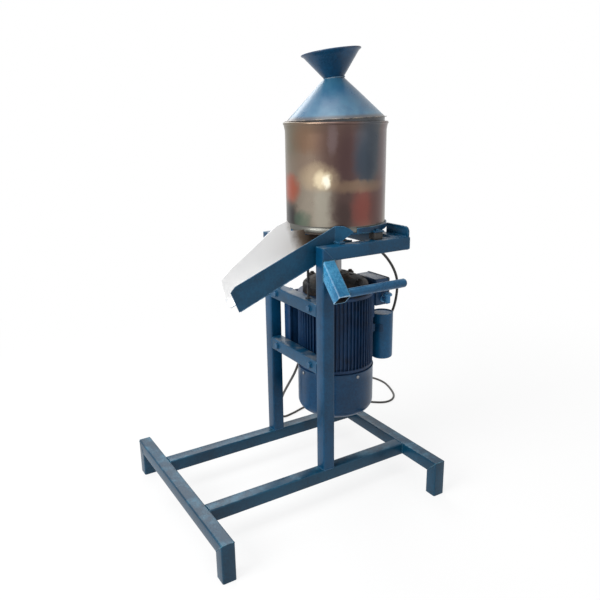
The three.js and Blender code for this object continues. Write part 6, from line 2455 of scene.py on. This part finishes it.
@dataclass
class Drum(Assembly):
    """Stainless drum, its seat on rubber blocks, the stones and the hopper in it."""

    steps: int = 192
    dent: float = 0.0007
    bead: float = 0.0045
    bead_offset: float = 0.0005
    bead_root: float = 0.0054
    hem: float = 0.013
    hem_margin: float = 0.002
    hem_groove: float = 0.003
    wall: float = 0.0015
    ring_width: float = 0.019
    ring_thickness: float = 0.005
    ear: float = 0.034
    crust_and_shade_reach: float = 0.052
    band_lift: float = 0.003
    band_gap: float = 0.0003
    band_sheet: float = 0.003
    band_reach: float = math.radians(100.7)
    band_edge: float = 0.0006
    ring_edge: float = 0.0005
    ear_edge: float = 0.0012
    ear_gap: float = 0.0001
    ear_bolt: tuple[float, float] = (0.0062, 0.0042)
    ear_bolt_shift: float = 0.0085
    block_swell: float = 0.05
    climb_rows: int = 26
    dent_scale: Point = (9.0, 9.0, 7.0)
    seam_turn: float = math.radians(118)
    seam_radius: float = 0.0011
    seam_wobble: float = 0.4
    stone_edge: float = 0.0014
    runner_eye: float = 0.012
    bed_eye: float = 0.030
    furrow_depth: float = 0.0011
    furrow_curl: float = 300.0
    furrow_spacing: float = 30.0
    furrow_wide: float = 7.0
    hopper_spout: float = 0.025
    hopper_collar: float = 0.038
    hopper_fold: tuple[float, float] = (0.0022, 0.0026)

    def make(self) -> None:
        """Makes every piece of the drum."""
        self.axis = upright("runner_stone")
        self._shell()
        self._seat()
        self._blocks()
        self._stones()
        self._hopper()
        dress_nodes({
            "drum_floor": self.look.stainless, "runner_plate": self.look.steel,
            "stone_holder": self.look.stainless,
        })

    def _shell(self) -> None:
        """Rolled shell with a wired upper edge, a folded hem and small dents."""
        low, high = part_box("drum_shell")
        radius = (high.x - low.x) / 2 - self.bead - self.bead_offset
        inner = radius - self.wall
        hem = radius + self.hem_margin
        hem_top = low.z + self.hem
        bead_z = high.z - self.bead
        rows = self.climb_rows
        climb = [(radius, hem_top + 0.004 + (bead_z - 0.012 - hem_top) * step / rows)
                 for step in range(rows)]
        fall = [(inner, bead_z - self.bead_root - (bead_z - self.bead_root - low.z) * step / 6)
                for step in range(7)]
        shape = Shape()
        verts = shape.lathe([
            *fall, (hem - 0.001, low.z), (hem, low.z + 0.001), (hem, hem_top - self.hem_groove - 0.001),
            (hem - 0.0006, hem_top - self.hem_groove), (radius + 0.0004, hem_top - 0.0014),
            (radius - 0.0004, hem_top), (radius, hem_top + 0.0015), *climb,
            *arc((radius + self.bead_offset, bead_z), self.bead, -60, 240, 18),
        ], self.steps, self.axis)
        for vert in verts:
            away = Vector((vert.co.x - self.axis.x, vert.co.y, 0.0))
            if hem_top + 0.01 < vert.co.z < bead_z - 0.02:
                depth = noise.noise(vert.co * Vector(self.dent_scale)) * self.dent
                vert.co += away.normalized() * depth
        foot = self.axis + Vector((math.cos(self.seam_turn), math.sin(self.seam_turn), 0)) * (radius + SKIN)
        run = [foot + Vector((0, 0, hem_top + 0.002 + (bead_z - 0.010 - hem_top) * step / 120))
               for step in range(121)]
        shape.finish("drum_wall", self.look.drum, "drum_shell", slot="stainless")
        declare(sweep("drum_seam", [run], self.seam_radius, self.seam_wobble), self.look.stainless,
                slot="stainless")

    def _seat(self) -> None:
        """Steel ring with three ears and a band round its right side."""
        low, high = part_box("drum_seat")
        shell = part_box("drum_shell")
        radius = (shell[1].x - shell[0].x) / 2 - self.bead - self.bead_offset + self.hem_margin
        top = low.z + self.ring_thickness
        inner, outer, edge = radius - self.ring_width, radius + self.band_gap, self.ring_edge
        shape = Shape()
        shape.lathe([
            (inner, low.z + edge), (inner + edge, low.z), (outer - edge, low.z), (outer, low.z + edge),
            (outer, top - edge), (outer - edge, top), (inner + edge, top), (inner, top - edge),
        ], self.steps, self.axis)
        half = Vector((self.ear / 2, self.ear / 2, 0.0))
        for name in BUFFERS:
            middle = upright(f"rubber_block_{name}")
            shape.rounded_block(middle - half + Vector((0, 0, low.z + self.ear_gap)),
                                middle + half + Vector((0, 0, top - self.ear_gap)), self.ear_edge)
            shift = math.copysign(self.ear_bolt_shift, middle.y)
            add_hexagon(shape, middle + Vector((0, shift, top)), Axis.Z.value, *self.ear_bolt)
        self._band(shape, low.z + self.band_lift, high.z, radius)

    def _band(self, shape: Shape, low: float, high: float, radius: float) -> None:
        """Half band that stands round the drum's hem, and the seat's dark part over the chute, dried paste
        with painted shade under the drum.

        Args:
            shape: the seat in the making.
            low: height of the band's lower edge.
            high: height of its upper edge.
            radius: radius of the drum's hem.
        """
        near, far, edge = radius + self.band_gap, radius + self.band_gap + self.band_sheet, self.band_edge
        profile = [(near, low), (far - edge, low), (far, low + edge), (far, high - edge),
                   (far - edge, high), (near, high)]
        start = -self.band_reach
        known = set(shape.bm.verts)
        points = [shape.bm.verts.new((r * math.cos(start), r * math.sin(start), z)) for r, z in profile]
        edges = [shape.bm.edges.new(pair) for pair in zip(points, points[1:] + points[:1])]
        cap = shape.bm.faces.new(points)
        bmesh.ops.spin(shape.bm, geom=[cap, *points, *edges], cent=(0, 0, 0), axis=(0, 0, 1),
                       angle=2 * self.band_reach, steps=96)
        new = shape.added_since(known)
        faces = list({f for v in new for f in v.link_faces})
        bmesh.ops.recalc_face_normals(shape.bm, faces=faces)
        shape.move(new, Matrix.Translation(self.axis))
        seat = shape.finish("seat_ring", self.look.blue, "drum_seat")
        # Dark brown on the part over the chute: dried paste with painted shade under the drum.
        seat.data.materials.append(self.look.crust_and_shade)
        for face in seat.data.polygons:
            if face.center.x < self.axis.x - self.crust_and_shade_reach and face.center.y < self.axis.y:
                face.material_index = 1

    def _blocks(self) -> None:
        """Rubber blocks that bulge a little under the drum's weight."""
        for name in BUFFERS:
            node = f"rubber_block_{name}"
            low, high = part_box(node)
            middle = middle_of(node)
            shape = Shape()
            shape.rounded_block(low, high, self.ear_edge)
            bmesh.ops.subdivide_edges(
                shape.bm, edges=[e for e in shape.bm.edges if e.calc_length() > 0.01],
                cuts=5, use_grid_fill=True,
            )
            for vert in shape.bm.verts:
                level = 1.0 - (2.0 * (vert.co.z - middle.z) / (high.z - low.z)) ** 2
                swell = 1.0 + self.block_swell * max(level, 0.0)
                vert.co.x = middle.x + (vert.co.x - middle.x) * swell
                vert.co.y = middle.y + (vert.co.y - middle.y) * swell
            shape.finish(f"buffer_{name}", self.look.rubber, node, slot="black_rubber")

    def _stones(self) -> None:
        """Runner and bed stone with worn edges; furrows are cut in their grinding faces."""
        for node, name, body, eye, faces_up in (
            ("runner_stone", "runner_wheel", Body.SHAFT, self.runner_eye, True),
            ("bed_stone", "bed_wheel", Body.STAND, self.bed_eye, False),
        ):
            low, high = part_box(node)
            radius = (high.x - low.x) / 2
            edge = self.stone_edge
            rings = [eye + edge + (radius - eye - 2 * edge) * step / 5 for step in range(6)]
            shape = Shape()
            shape.lathe([
                (eye, low.z + edge), *((r, low.z) for r in rings), (radius, low.z + edge),
                (radius, high.z - edge), *((r, high.z) for r in reversed(rings)), (eye, high.z - edge),
            ], 96, self.axis)
            self._furrows(shape, high.z if faces_up else low.z, eye, radius)
            shape.finish(name, self.look.stone, node, slot="grinding_stone", body=body)

    def _furrows(self, shape: Shape, level: float, eye: float, radius: float) -> None:
        """Sinks curled wedges of a stone's face.

        Args:
            shape: the stone in the making.
            level: height of its grinding face.
            eye: radius of its eye.
            radius: its outer radius.
        """
        sunk = []
        for face in shape.bm.faces:
            middle = face.calc_center_median() - self.axis
            reach = math.hypot(middle.x, middle.y)
            turned = math.degrees(math.atan2(middle.y, middle.x)) + reach * self.furrow_curl
            wedge = turned % self.furrow_spacing < self.furrow_wide
            if abs(middle.z - level) < FLAT and eye < reach < radius - 0.01 and wedge:
                sunk.append(face)
        bmesh.ops.inset_region(shape.bm, faces=sunk, thickness=FLAT, depth=-self.furrow_depth)

    def _hopper(self) -> None:
        """Inner hopper of thin sheet with a folded rim."""
        low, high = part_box("feed_hopper")
        rim = (high.x - low.x) / 2
        spout, collar, sheet = self.hopper_spout, self.hopper_collar, self.wall
        fold, folded = self.hopper_fold
        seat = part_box("stone_holder")[1].z + HAIR
        shape = Shape()
        shape.lathe([
            (spout - sheet, low.z), (spout, low.z), (spout, seat), (collar, seat),
            (rim, high.z - PLAY), (rim, high.z), (rim - fold, high.z), (rim - folded, high.z - 0.0014),
            (collar - sheet, seat + sheet), (spout - sheet, seat + sheet),
        ], 128, self.axis)
        shape.finish("hopper_cone", self.look.stainless, "feed_hopper", slot="stainless")


# Lid and feed funnel.


@dataclass
class Lid(Assembly):
    """Conical lid and the leaning funnel welded to it."""

    steps: int = 160
    lip: float = 0.0022
    sheet: float = 0.0015
    skirt_depth: float = 0.015
    skirt_radius: float = 0.139
    rim_edge: float = 0.0008
    shoulder: float = 0.002
    neck_gap: float = 0.0012
    wave: float = 0.0012
    wave_scale: float = 14.0
    waved: tuple[float, float] = (0.045, 0.132)
    neck_edge: float = 0.0022
    slope: float = 0.985
    tilt: float = math.radians(5.0)
    lean: float = math.radians(148.65)
    funnel_neck: float = 0.028
    funnel_radius: float = 0.082
    funnel_height: float = 0.068
    funnel_spout: float = 0.022
    funnel_bead: float = 0.0024
    weld: float = 0.0021
    weld_wobble: float = 0.35
    weld_lift: tuple[float, float] = (0.0008, 0.0006)
    askew: float = math.radians(2.1)
    askew_side: float = math.radians(-31.35)

    def make(self) -> None:
        """Makes the lid, the funnel and the weld between them."""
        low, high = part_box("drum_lid")
        self.axis = upright("drum_lid")
        self.radius = (high.x - low.x) / 2
        self.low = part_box("drum_shell")[1].z + HAIR
        self.neck_z = self.low + self.lip + (self.skirt_radius - self.funnel_neck) * self.slope
        across = Vector((math.cos(self.askew_side), math.sin(self.askew_side), 0.0))
        pivot = self.axis + Vector((0, 0, self.low)) - across * self.radius
        hinge = Vector((across.y, -across.x, 0.0))
        turn = Matrix.Rotation(self.askew, 4, hinge)
        self.seat = Matrix.Translation(pivot) @ turn @ Matrix.Translation(-pivot)
        self._lid()
        self._funnel()

    def funnel_place(self) -> Matrix:
        """Turn and place of the leaning funnel.

        Returns:
            The matrix.
        """
        axis = Vector((-math.sin(self.lean), math.cos(self.lean), 0.0))
        turn = Matrix.Rotation(self.tilt, 4, axis)
        return self.seat @ Matrix.Translation(self.axis + Vector((0, 0, self.neck_z))) @ turn

    def _lid(self) -> None:
        """Cone with a flat lip, a skirt inside the drum and slight hand-made waves."""
        low, top = self.low, self.low + self.lip
        run = self.skirt_radius - self.funnel_neck - self.neck_gap
        rise = run * self.slope
        inner = self.skirt_radius - self.sheet
        edge = self.rim_edge
        count = 14
        cone = [(self.skirt_radius - run * step / count, top + rise * step / count)
                for step in range(count + 1)]
        under = [(inner + (cone[-1][0] - inner) * (1 - step / 4),
                  low + (cone[-1][1] - self.neck_edge - low) * (1 - step / 4)) for step in range(5)]
        shape = Shape()
        verts = shape.lathe([
            (self.skirt_radius, low), (self.radius - edge, low), (self.radius, low + edge),
            (self.radius, top - edge), (self.radius - edge, top), (self.skirt_radius + self.shoulder, top),
            *cone, *under, (inner, low - self.skirt_depth), (self.skirt_radius, low - self.skirt_depth),
        ], self.steps, self.axis)
        for vert in verts:
            reach = math.hypot(vert.co.x - self.axis.x, vert.co.y - self.axis.y)
            if self.waved[0] < reach < self.waved[1] and vert.co.z > top:
                flat = Vector((vert.co.x, vert.co.y, 0.0))
                vert.co.z += noise.noise(flat * self.wave_scale) * self.wave
        shape.move(verts, self.seat)
        shape.finish("lid_cone", self.look.lid_blue, "drum_lid", slot="light_blue_paint", body=Body.LID)

    def _funnel(self) -> None:
        """Spun funnel with a wired rim, slightly out of round, and its weld."""
        neck, wide, tall = self.funnel_neck, self.funnel_radius, self.funnel_height
        count = 12
        climb = [(neck + (wide - neck) * step / count, tall * step / count) for step in range(1, count)]
        fall = [(r - self.sheet * 0.9, z + self.sheet * 0.6) for r, z in reversed(climb)]
        shape = Shape()
        verts = shape.lathe([
            (neck, -self.funnel_spout), (neck, 0.0), *climb,
            *arc((wide, tall), self.funnel_bead, -50, 170, 10), *fall,
            (neck - self.sheet, self.sheet / 2), (neck - self.sheet, -self.funnel_spout),
        ], 128)
        for vert in verts:
            if vert.co.z > 0.004:
                angle = math.atan2(vert.co.y, vert.co.x)
                share = vert.co.z / tall
                stretch = 1.0 + share * (0.006 * math.sin(2 * angle + 0.7) + 0.003 * math.sin(5 * angle))
                vert.co.x *= stretch
                vert.co.y *= stretch
        place = self.funnel_place()
        shape.move(verts, place)
        shape.finish("funnel_cone", self.look.funnel_blue, "feed_funnel", slot="blue_paint", body=Body.LID)
        out, down = self.weld_lift
        ring = [place @ Vector((x, y, -down)) for x, y in arc((0.0, 0.0), neck + out, 0, 360, 120)]
        declare(sweep("funnel_weld", [ring], self.weld, self.weld_wobble), self.look.lid_blue,
                slot="light_blue_paint", body=Body.LID)


# Discharge chute.


@dataclass
class Chute(Assembly):
    """Sloping channel of folded sheet, blue outside and bare where the paste runs."""

    slope: float = math.radians(22)
    width: float = 0.070
    centre_y: float = -0.088
    wall_height: float = 0.068
    sheet: float = 0.002
    reach: float = 0.386
    head_setback: float = 0.028
    hem_margin: float = 0.002
    hem_inset: float = 0.005
    hem_gap: float = 0.0015
    chamfer: float = 0.017
    corner: float = 0.022
    tail_rise: float = 0.003
    seat_gap: float = 0.0024
    far_lean: float = 0.0166
    far_front: float = 0.0735
    far_bevel: tuple[float, float] = (0.033, 0.029)
    far_slope: float = math.radians(35.5)
    far_edge: float = 0.1385
    far_peak: tuple[float, float] = (0.0335, 0.010)
    far_end: tuple[float, float] = (0.0085, 0.0085)
    far_fall: float = 0.0205
    far_step: float = 0.004
    flap_peak: float = 0.022
    flap_length: float = 0.051
    flap_corner: tuple[float, float] = (0.0408, 0.008)
    flap_end_fall: float = 0.017
    flap_lift_start: float = 0.0195
    flap_low_rise: float = 0.0032
    flap_lift: float = 0.003
    tab_back: float = 0.080
    tab_half: float = 0.010
    tab_front: float = 0.1485
    tab_thickness: float = 0.005
    short_edge: float = 0.006
    trough_start: float = 0.02
    fold_ends: tuple[float, float] = (0.004, 0.008)
    fold_weld: float = 0.0012
    paste_grid: tuple[int, int] = (60, 24)
    paste_reach: float = 0.175
    paste_gap: float = 0.0004
    paste_end: float = 0.002
    paste_clear: float = 0.0015
    paste_sheet: float = 0.0009
    paste_sink: float = 0.0012
    paste_deepest: float = 0.0045
    paste_thinnest: float = -0.0008
    paste_bank: float = 0.005
    lump_height: float = 0.0018
    wander: float = 0.018
    stay_radius: float = 0.004
    stay_groove: float = 0.0006
    stay_pitch: float = 0.0016
    stay_plain: float = 0.003
    stay_nut: tuple[float, float] = (0.0075, 0.007)
    stay_nut_share: float = 0.36
    stay_washer: Point = (0.0042, 0.009, 0.0015)

    def make(self) -> None:
        """Makes the channel, its fixing tab, its stay and the paste in it."""
        self.shaft_x = upright("runner_stone").x
        self.tip = (self.shaft_x - self.reach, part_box("chute")[0].z)
        self.head_x = self.shaft_x - self.head_setback
        self.frame_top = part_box("top_rail_front")[1].z
        self.tail = self.frame_top + self.tail_rise
        self.near_y = self.centre_y - self.width / 2
        self.far_y = self.centre_y + self.width / 2
        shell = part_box("drum_shell")
        self.hem = (shell[1].x - shell[0].x) / 2 - self.hem_inset + self.hem_margin
        reach = math.sqrt(self.hem ** 2 - (self.near_y + self.sheet) ** 2)
        self.near_end = self.shaft_x - reach - self.hem_gap
        self.peak = self.floor(self.near_end) + self.wall_height / math.cos(self.slope)
        self._channel()
        self._paste()
        self._stay()

    def floor(self, x: float) -> float:
        """Height of the channel's underside at a place along X."""
        return self.tip[1] + (x - self.tip[0]) * math.tan(self.slope)

    def _panel(self, shape: Shape, outline: Profile, y: float,
               width: float) -> Verts:
        """Adds one flat sheet from its outline in X and Z.

        Args:
            shape: the chute in the making.
            outline: its corners.
            y: its front face.
            width: its extent along Y.

        Returns:
            The new corners.
        """
        known = set(shape.bm.verts)
        shape.slab([Vector((x, y, z)) for x, z in outline], Vector((0, width, 0)))
        new = shape.added_since(known)
        faces = list({f for v in new for f in v.link_faces})
        bmesh.ops.recalc_face_normals(shape.bm, faces=faces)
        edges = [e for e in shape.edges_of(new) if e.calc_length() > self.short_edge
                 and abs((e.verts[0].co - e.verts[1].co).normalized().y) < ACROSS]
        shape.soften(edges, NIB, 1)
        return shape.added_since(known)

    def _walls(self) -> tuple[Profile, Profile]:
        """Outlines of the near and the far wall.

        Returns:
            The near wall's corners and the far wall's.
        """
        lean_x = -self.wall_height * math.sin(self.slope)
        lean_z = self.wall_height * math.cos(self.slope)
        head = (self.head_x, self.floor(self.head_x))
        tip = self.tip
        share = self.chamfer / self.wall_height
        top = (tip[0] + lean_x, tip[1] + lean_z)
        near = [
            tip, (tip[0] + lean_x * (1 - share / 2), tip[1] + lean_z * (1 - share / 2)),
            (top[0] + self.chamfer * math.cos(self.slope), top[1] + self.chamfer * math.sin(self.slope)),
            (self.near_end, self.peak), (self.near_end, self.tail), (self.head_x, self.tail), head,
        ]
        far = [tip, (tip[0] - self.far_lean, tip[1] + self.far_front)]
        far.append((far[-1][0] + self.far_bevel[0], far[-1][1] + self.far_bevel[1]))
        far.append((far[-1][0] + self.far_edge, far[-1][1] + self.far_edge * math.tan(self.far_slope)))
        far.append((far[-1][0] + self.far_peak[0], far[-1][1] + self.far_peak[1]))
        far.append((far[-1][0] + self.far_end[0], far[-1][1] - self.far_end[1]))
        far.append((far[-1][0] + self.far_fall / 8, far[-1][1] - self.far_fall))
        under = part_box("drum_seat")[0].z - self.seat_gap
        hem_x = self.shaft_x - math.sqrt(self.hem ** 2 - self.far_y ** 2) - 2 * self.hem_gap
        far += [(hem_x - self.far_step, far[-1][1]), (hem_x, under), (self.head_x, under), head]
        return near, far

    @staticmethod
    def _inside(outline: Profile, x: float, z: float) -> bool:
        """Whether a place lies inside an outline in X and Z.

        Args:
            outline: corners of the outline.
            x: X of the place.
            z: Z of the place.

        Returns:
            True inside the outline.
        """
        within = False
        for (ax, az), (bx, bz) in zip(outline, outline[1:] + outline[:1]):
            if (az > z) != (bz > z) and x < ax + (bx - ax) * (z - az) / (bz - az):
                within = not within
        return within

    def _trough(self, shape: Shape, outline: Profile) -> None:
        """Adds the floor, the rounded corner and the far wall as one bent sheet.

        Args:
            shape: the chute in the making.
            outline: the far wall's corners, seen from the front.
        """
        tall = max(z for _, z in outline) - self.tip[1]
        length = (self.head_x - self.tip[0]) / math.cos(self.slope) + tall
        bend = arc((self.far_y - self.corner, self.corner), self.corner, -90, 0, 12)
        section = [(self.near_y, 0.0), *bend, (self.far_y, tall)]
        run = Vector((math.cos(self.slope), 0, math.sin(self.slope)))
        rise = Vector((-math.sin(self.slope), 0, math.cos(self.slope)))
        start = Vector((self.tip[0], 0, self.tip[1])) - run * self.trough_start
        rows = [
            [shape.bm.verts.new(start + run * along + rise * h + Vector((0, y, 0))) for y, h in section]
            for along in (0.0, length)
        ]
        for index in range(len(section) - 1):
            shape.bm.faces.new((rows[0][index], rows[1][index], rows[1][index + 1], rows[0][index + 1]))
        for (ax, az), (bx, bz) in zip(outline, outline[1:] + outline[:1]):
            geometry = shape.bm.verts[:] + shape.bm.edges[:] + shape.bm.faces[:]
            bmesh.ops.bisect_plane(shape.bm, geom=geometry, dist=MERGE / 4, plane_co=(ax, 0, az),
                                   plane_no=Vector((bz - az, 0, ax - bx)).normalized())
        middles = ((face, face.calc_center_median()) for face in shape.bm.faces)
        gone = [face for face, middle in middles if not self._inside(outline, middle.x, middle.z)]
        bmesh.ops.delete(shape.bm, geom=gone, context="FACES")
        bmesh.ops.dissolve_limit(shape.bm, angle_limit=math.radians(1), verts=shape.bm.verts[:],
                                 edges=shape.bm.edges[:])
        bmesh.ops.recalc_face_normals(shape.bm, faces=shape.bm.faces[:])
        floor = max(shape.bm.faces, key=lambda f: f.calc_area() * abs(f.normal.z))
        if floor.normal.z > 0:
            bmesh.ops.reverse_faces(shape.bm, faces=shape.bm.faces[:])
        bmesh.ops.solidify(shape.bm, geom=shape.bm.faces[:], thickness=self.sheet)
        bmesh.ops.recalc_face_normals(shape.bm, faces=shape.bm.faces[:])

    def _lined(self, middle: Vector, normal: Vector) -> bool:
        """Whether a face is on the side where the paste runs.

        Args:
            middle: the face's centre.
            normal: its outward direction.

        Returns:
            True for the inner faces of the floor and the walls.
        """
        height = (middle.z - self.floor(middle.x)) * math.cos(self.slope)
        depth = self.sheet * 0.75
        if middle.y < self.near_y + self.sheet + SKIN:
            return normal.y > 0.8 and middle.z < self.peak and middle.x < self.near_end
        centre = (self.far_y - self.corner, self.corner)
        if middle.y < centre[0]:
            return normal.z > 0.5 and depth < height < 2 * self.sheet
        if height < centre[1]:
            return math.hypot(middle.y - centre[0], height - centre[1]) < self.corner - depth
        return normal.y < 0.5

    def _flap(self, shape: Shape) -> None:
        """Adds the near wall's end that is bent round the drum's hem.

        Args:
            shape: shape that the flap joins.
        """
        low = self.frame_top + self.flap_low_rise
        outline = [
            (-PLAY, self.peak), (self.flap_peak, self.peak),
            (self.flap_corner[0], self.peak - self.flap_corner[1]),
            (self.flap_length, self.peak - self.flap_end_fall),
            (self.flap_lift_start, low + self.flap_lift), (-PLAY, low),
        ]
        verts = self._panel(shape, outline, -self.sheet, self.sheet)
        heading = math.atan2(self.shaft_x - self.near_end, self.near_y) + math.pi
        place = Matrix.Translation((self.near_end, self.near_y + self.sheet / 2, 0))
        shape.move(verts, place @ Matrix.Rotation(heading, 4, "Z"))

    def _channel(self) -> None:
        """Bent sheet, near wall, flap and the tab that sits on the front top rail."""
        near, far = self._walls()
        shape = Shape()
        self._trough(shape, far)
        self._panel(shape, near, self.near_y, self.sheet)
        self._flap(shape)
        top = self.frame_top + HAIR
        tab_x = self.shaft_x - self.tab_back
        shape.rounded_block(
            Vector((tab_x - self.tab_half, -self.tab_front, top)),
            Vector((tab_x + self.tab_half, self.near_y + self.sheet / 2, top + self.tab_thickness)), PLAY,
        )
        channel = shape.finish("chute_channel", self.look.chute_blue, "chute")
        inside = RunSheet("run_sheet", (self.tip[0], 0.0, self.tip[1]), self.slope)
        channel.data.materials.append(inside.build())
        for face in channel.data.polygons:
            if self._lined(face.center, face.normal):
                face.material_index = 1
        heading = Vector((math.cos(self.slope), 0, math.sin(self.slope)))
        first, spared = self.fold_ends
        start = Vector((self.tip[0], self.near_y, self.tip[1])) + heading * first
        run = (self.near_end - self.tip[0]) / math.cos(self.slope) - spared
        fold = sweep("fold_weld", [bead_path(start, start + heading * run)], self.fold_weld, 0.3)
        declare(fold, self.look.chute_blue)

    def _paste(self) -> None:
        """Dried nut paste in the head of the channel and a thin trail from it."""
        near_y = self.near_y + self.sheet + self.paste_gap
        far_y = self.far_y - self.sheet - self.paste_gap
        rows, columns = self.paste_grid
        start_x, end_x = self.shaft_x - self.paste_reach, self.head_x - self.paste_end
        inner = self.corner - self.sheet
        shape = Shape()
        bmesh.ops.create_grid(shape.bm, x_segments=rows, y_segments=columns, size=0.5)
        for vert in shape.bm.verts:
            along = vert.co.x + 0.5
            across = vert.co.y + 0.5
            y = near_y + (far_y - near_y) * across
            wander = noise.noise(Vector((y * 70, 4.0, 0.0))) * self.wander * (1 - along)
            x = start_x + (end_x - start_x) * along + wander
            past = min(max(y - self.far_y + self.corner, 0.0), inner)
            bed = self.floor(x) + self.sheet / math.cos(self.slope)
            bed += inner - math.sqrt(inner ** 2 - past ** 2)
            level = bed + max(self._paste_depth(x, y, along, across) - self.paste_sink, self.paste_thinnest)
            if x > self.near_end:
                level = min(level, self.tail - self.paste_clear)
            vert.co = Vector((x, y, level))
        bmesh.ops.recalc_face_normals(shape.bm, faces=shape.bm.faces[:])
        if shape.bm.faces[:][0].normal.z < 0:
            bmesh.ops.reverse_faces(shape.bm, faces=shape.bm.faces[:])
        bmesh.ops.solidify(shape.bm, geom=shape.bm.faces[:], thickness=self.paste_sheet)
        shape.recalculate()
        shape.finish("paste_crust", self.look.paste, slot="grinding_stone")

    def _paste_depth(self, x: float, y: float, along: float, across: float) -> float:
        """Depth of the paste at a place, with lumps and banks at the walls.

        Args:
            x: the place along X.
            y: the place along Y.
            along: share of the paste's length, from its thin end.
            across: share of the channel's width.

        Returns:
            The depth in metres.
        """
        lumps = noise.fractal(Vector((x * 60, y * 60, 1.3)), 1.0, 2.0, 4)
        bank = abs(2 * across - 1) ** 3 * self.paste_bank
        return self.paste_deepest * along ** 1.6 + bank * along + self.lump_height * lumps * (0.3 + along)

    def _stay(self) -> None:
        """Threaded rod under the channel with a lock nut and a washer."""
        low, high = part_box("chute_stay")
        foot = upright("chute_stay") + Vector((0, 0, low.z))
        tall, pitch = high.z - low.z, self.stay_pitch
        radius = self.stay_radius
        root = radius - self.stay_groove
        thread = [(0.0, 0.0), (radius, 0.0)]
        for index in range(int((tall - self.stay_plain) / pitch)):
            thread += [(root, pitch * (index + 0.5) + PLAY), (radius, pitch * (index + 1) + PLAY)]
        thread += [(root, tall), (0.0, tall)]
        shape = Shape()
        shape.along(thread, 20, foot, Axis.Z.value)
        add_hexagon(shape, foot + Vector((0, 0, tall * self.stay_nut_share)), Axis.Z.value, *self.stay_nut)
        add_washer(shape, foot, Axis.Z.value, *self.stay_washer)
        shape.finish("stay_rod", self.look.iron, "chute_stay", slot="core_iron")


def main() -> None:
    """Builds the studio and the mill in order."""
    logging.basicConfig(level=logging.INFO, format="%(name)s %(message)s")
    noise.seed_set(WELD_SEED)
    studio = Studio()
    studio.place_camera()
    centre = upright("runner_stone")
    low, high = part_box("drum_shell")
    look = Finishes((centre.x, centre.y), low.z, high.z)
    for kind in (MainsCord, Stand, Motor, Electrics, Drum, Lid, Chute):
        kind(look).make()
        log.info("%s done", kind.__name__)
    studio.build()


if __name__ == "__main__":
    main()
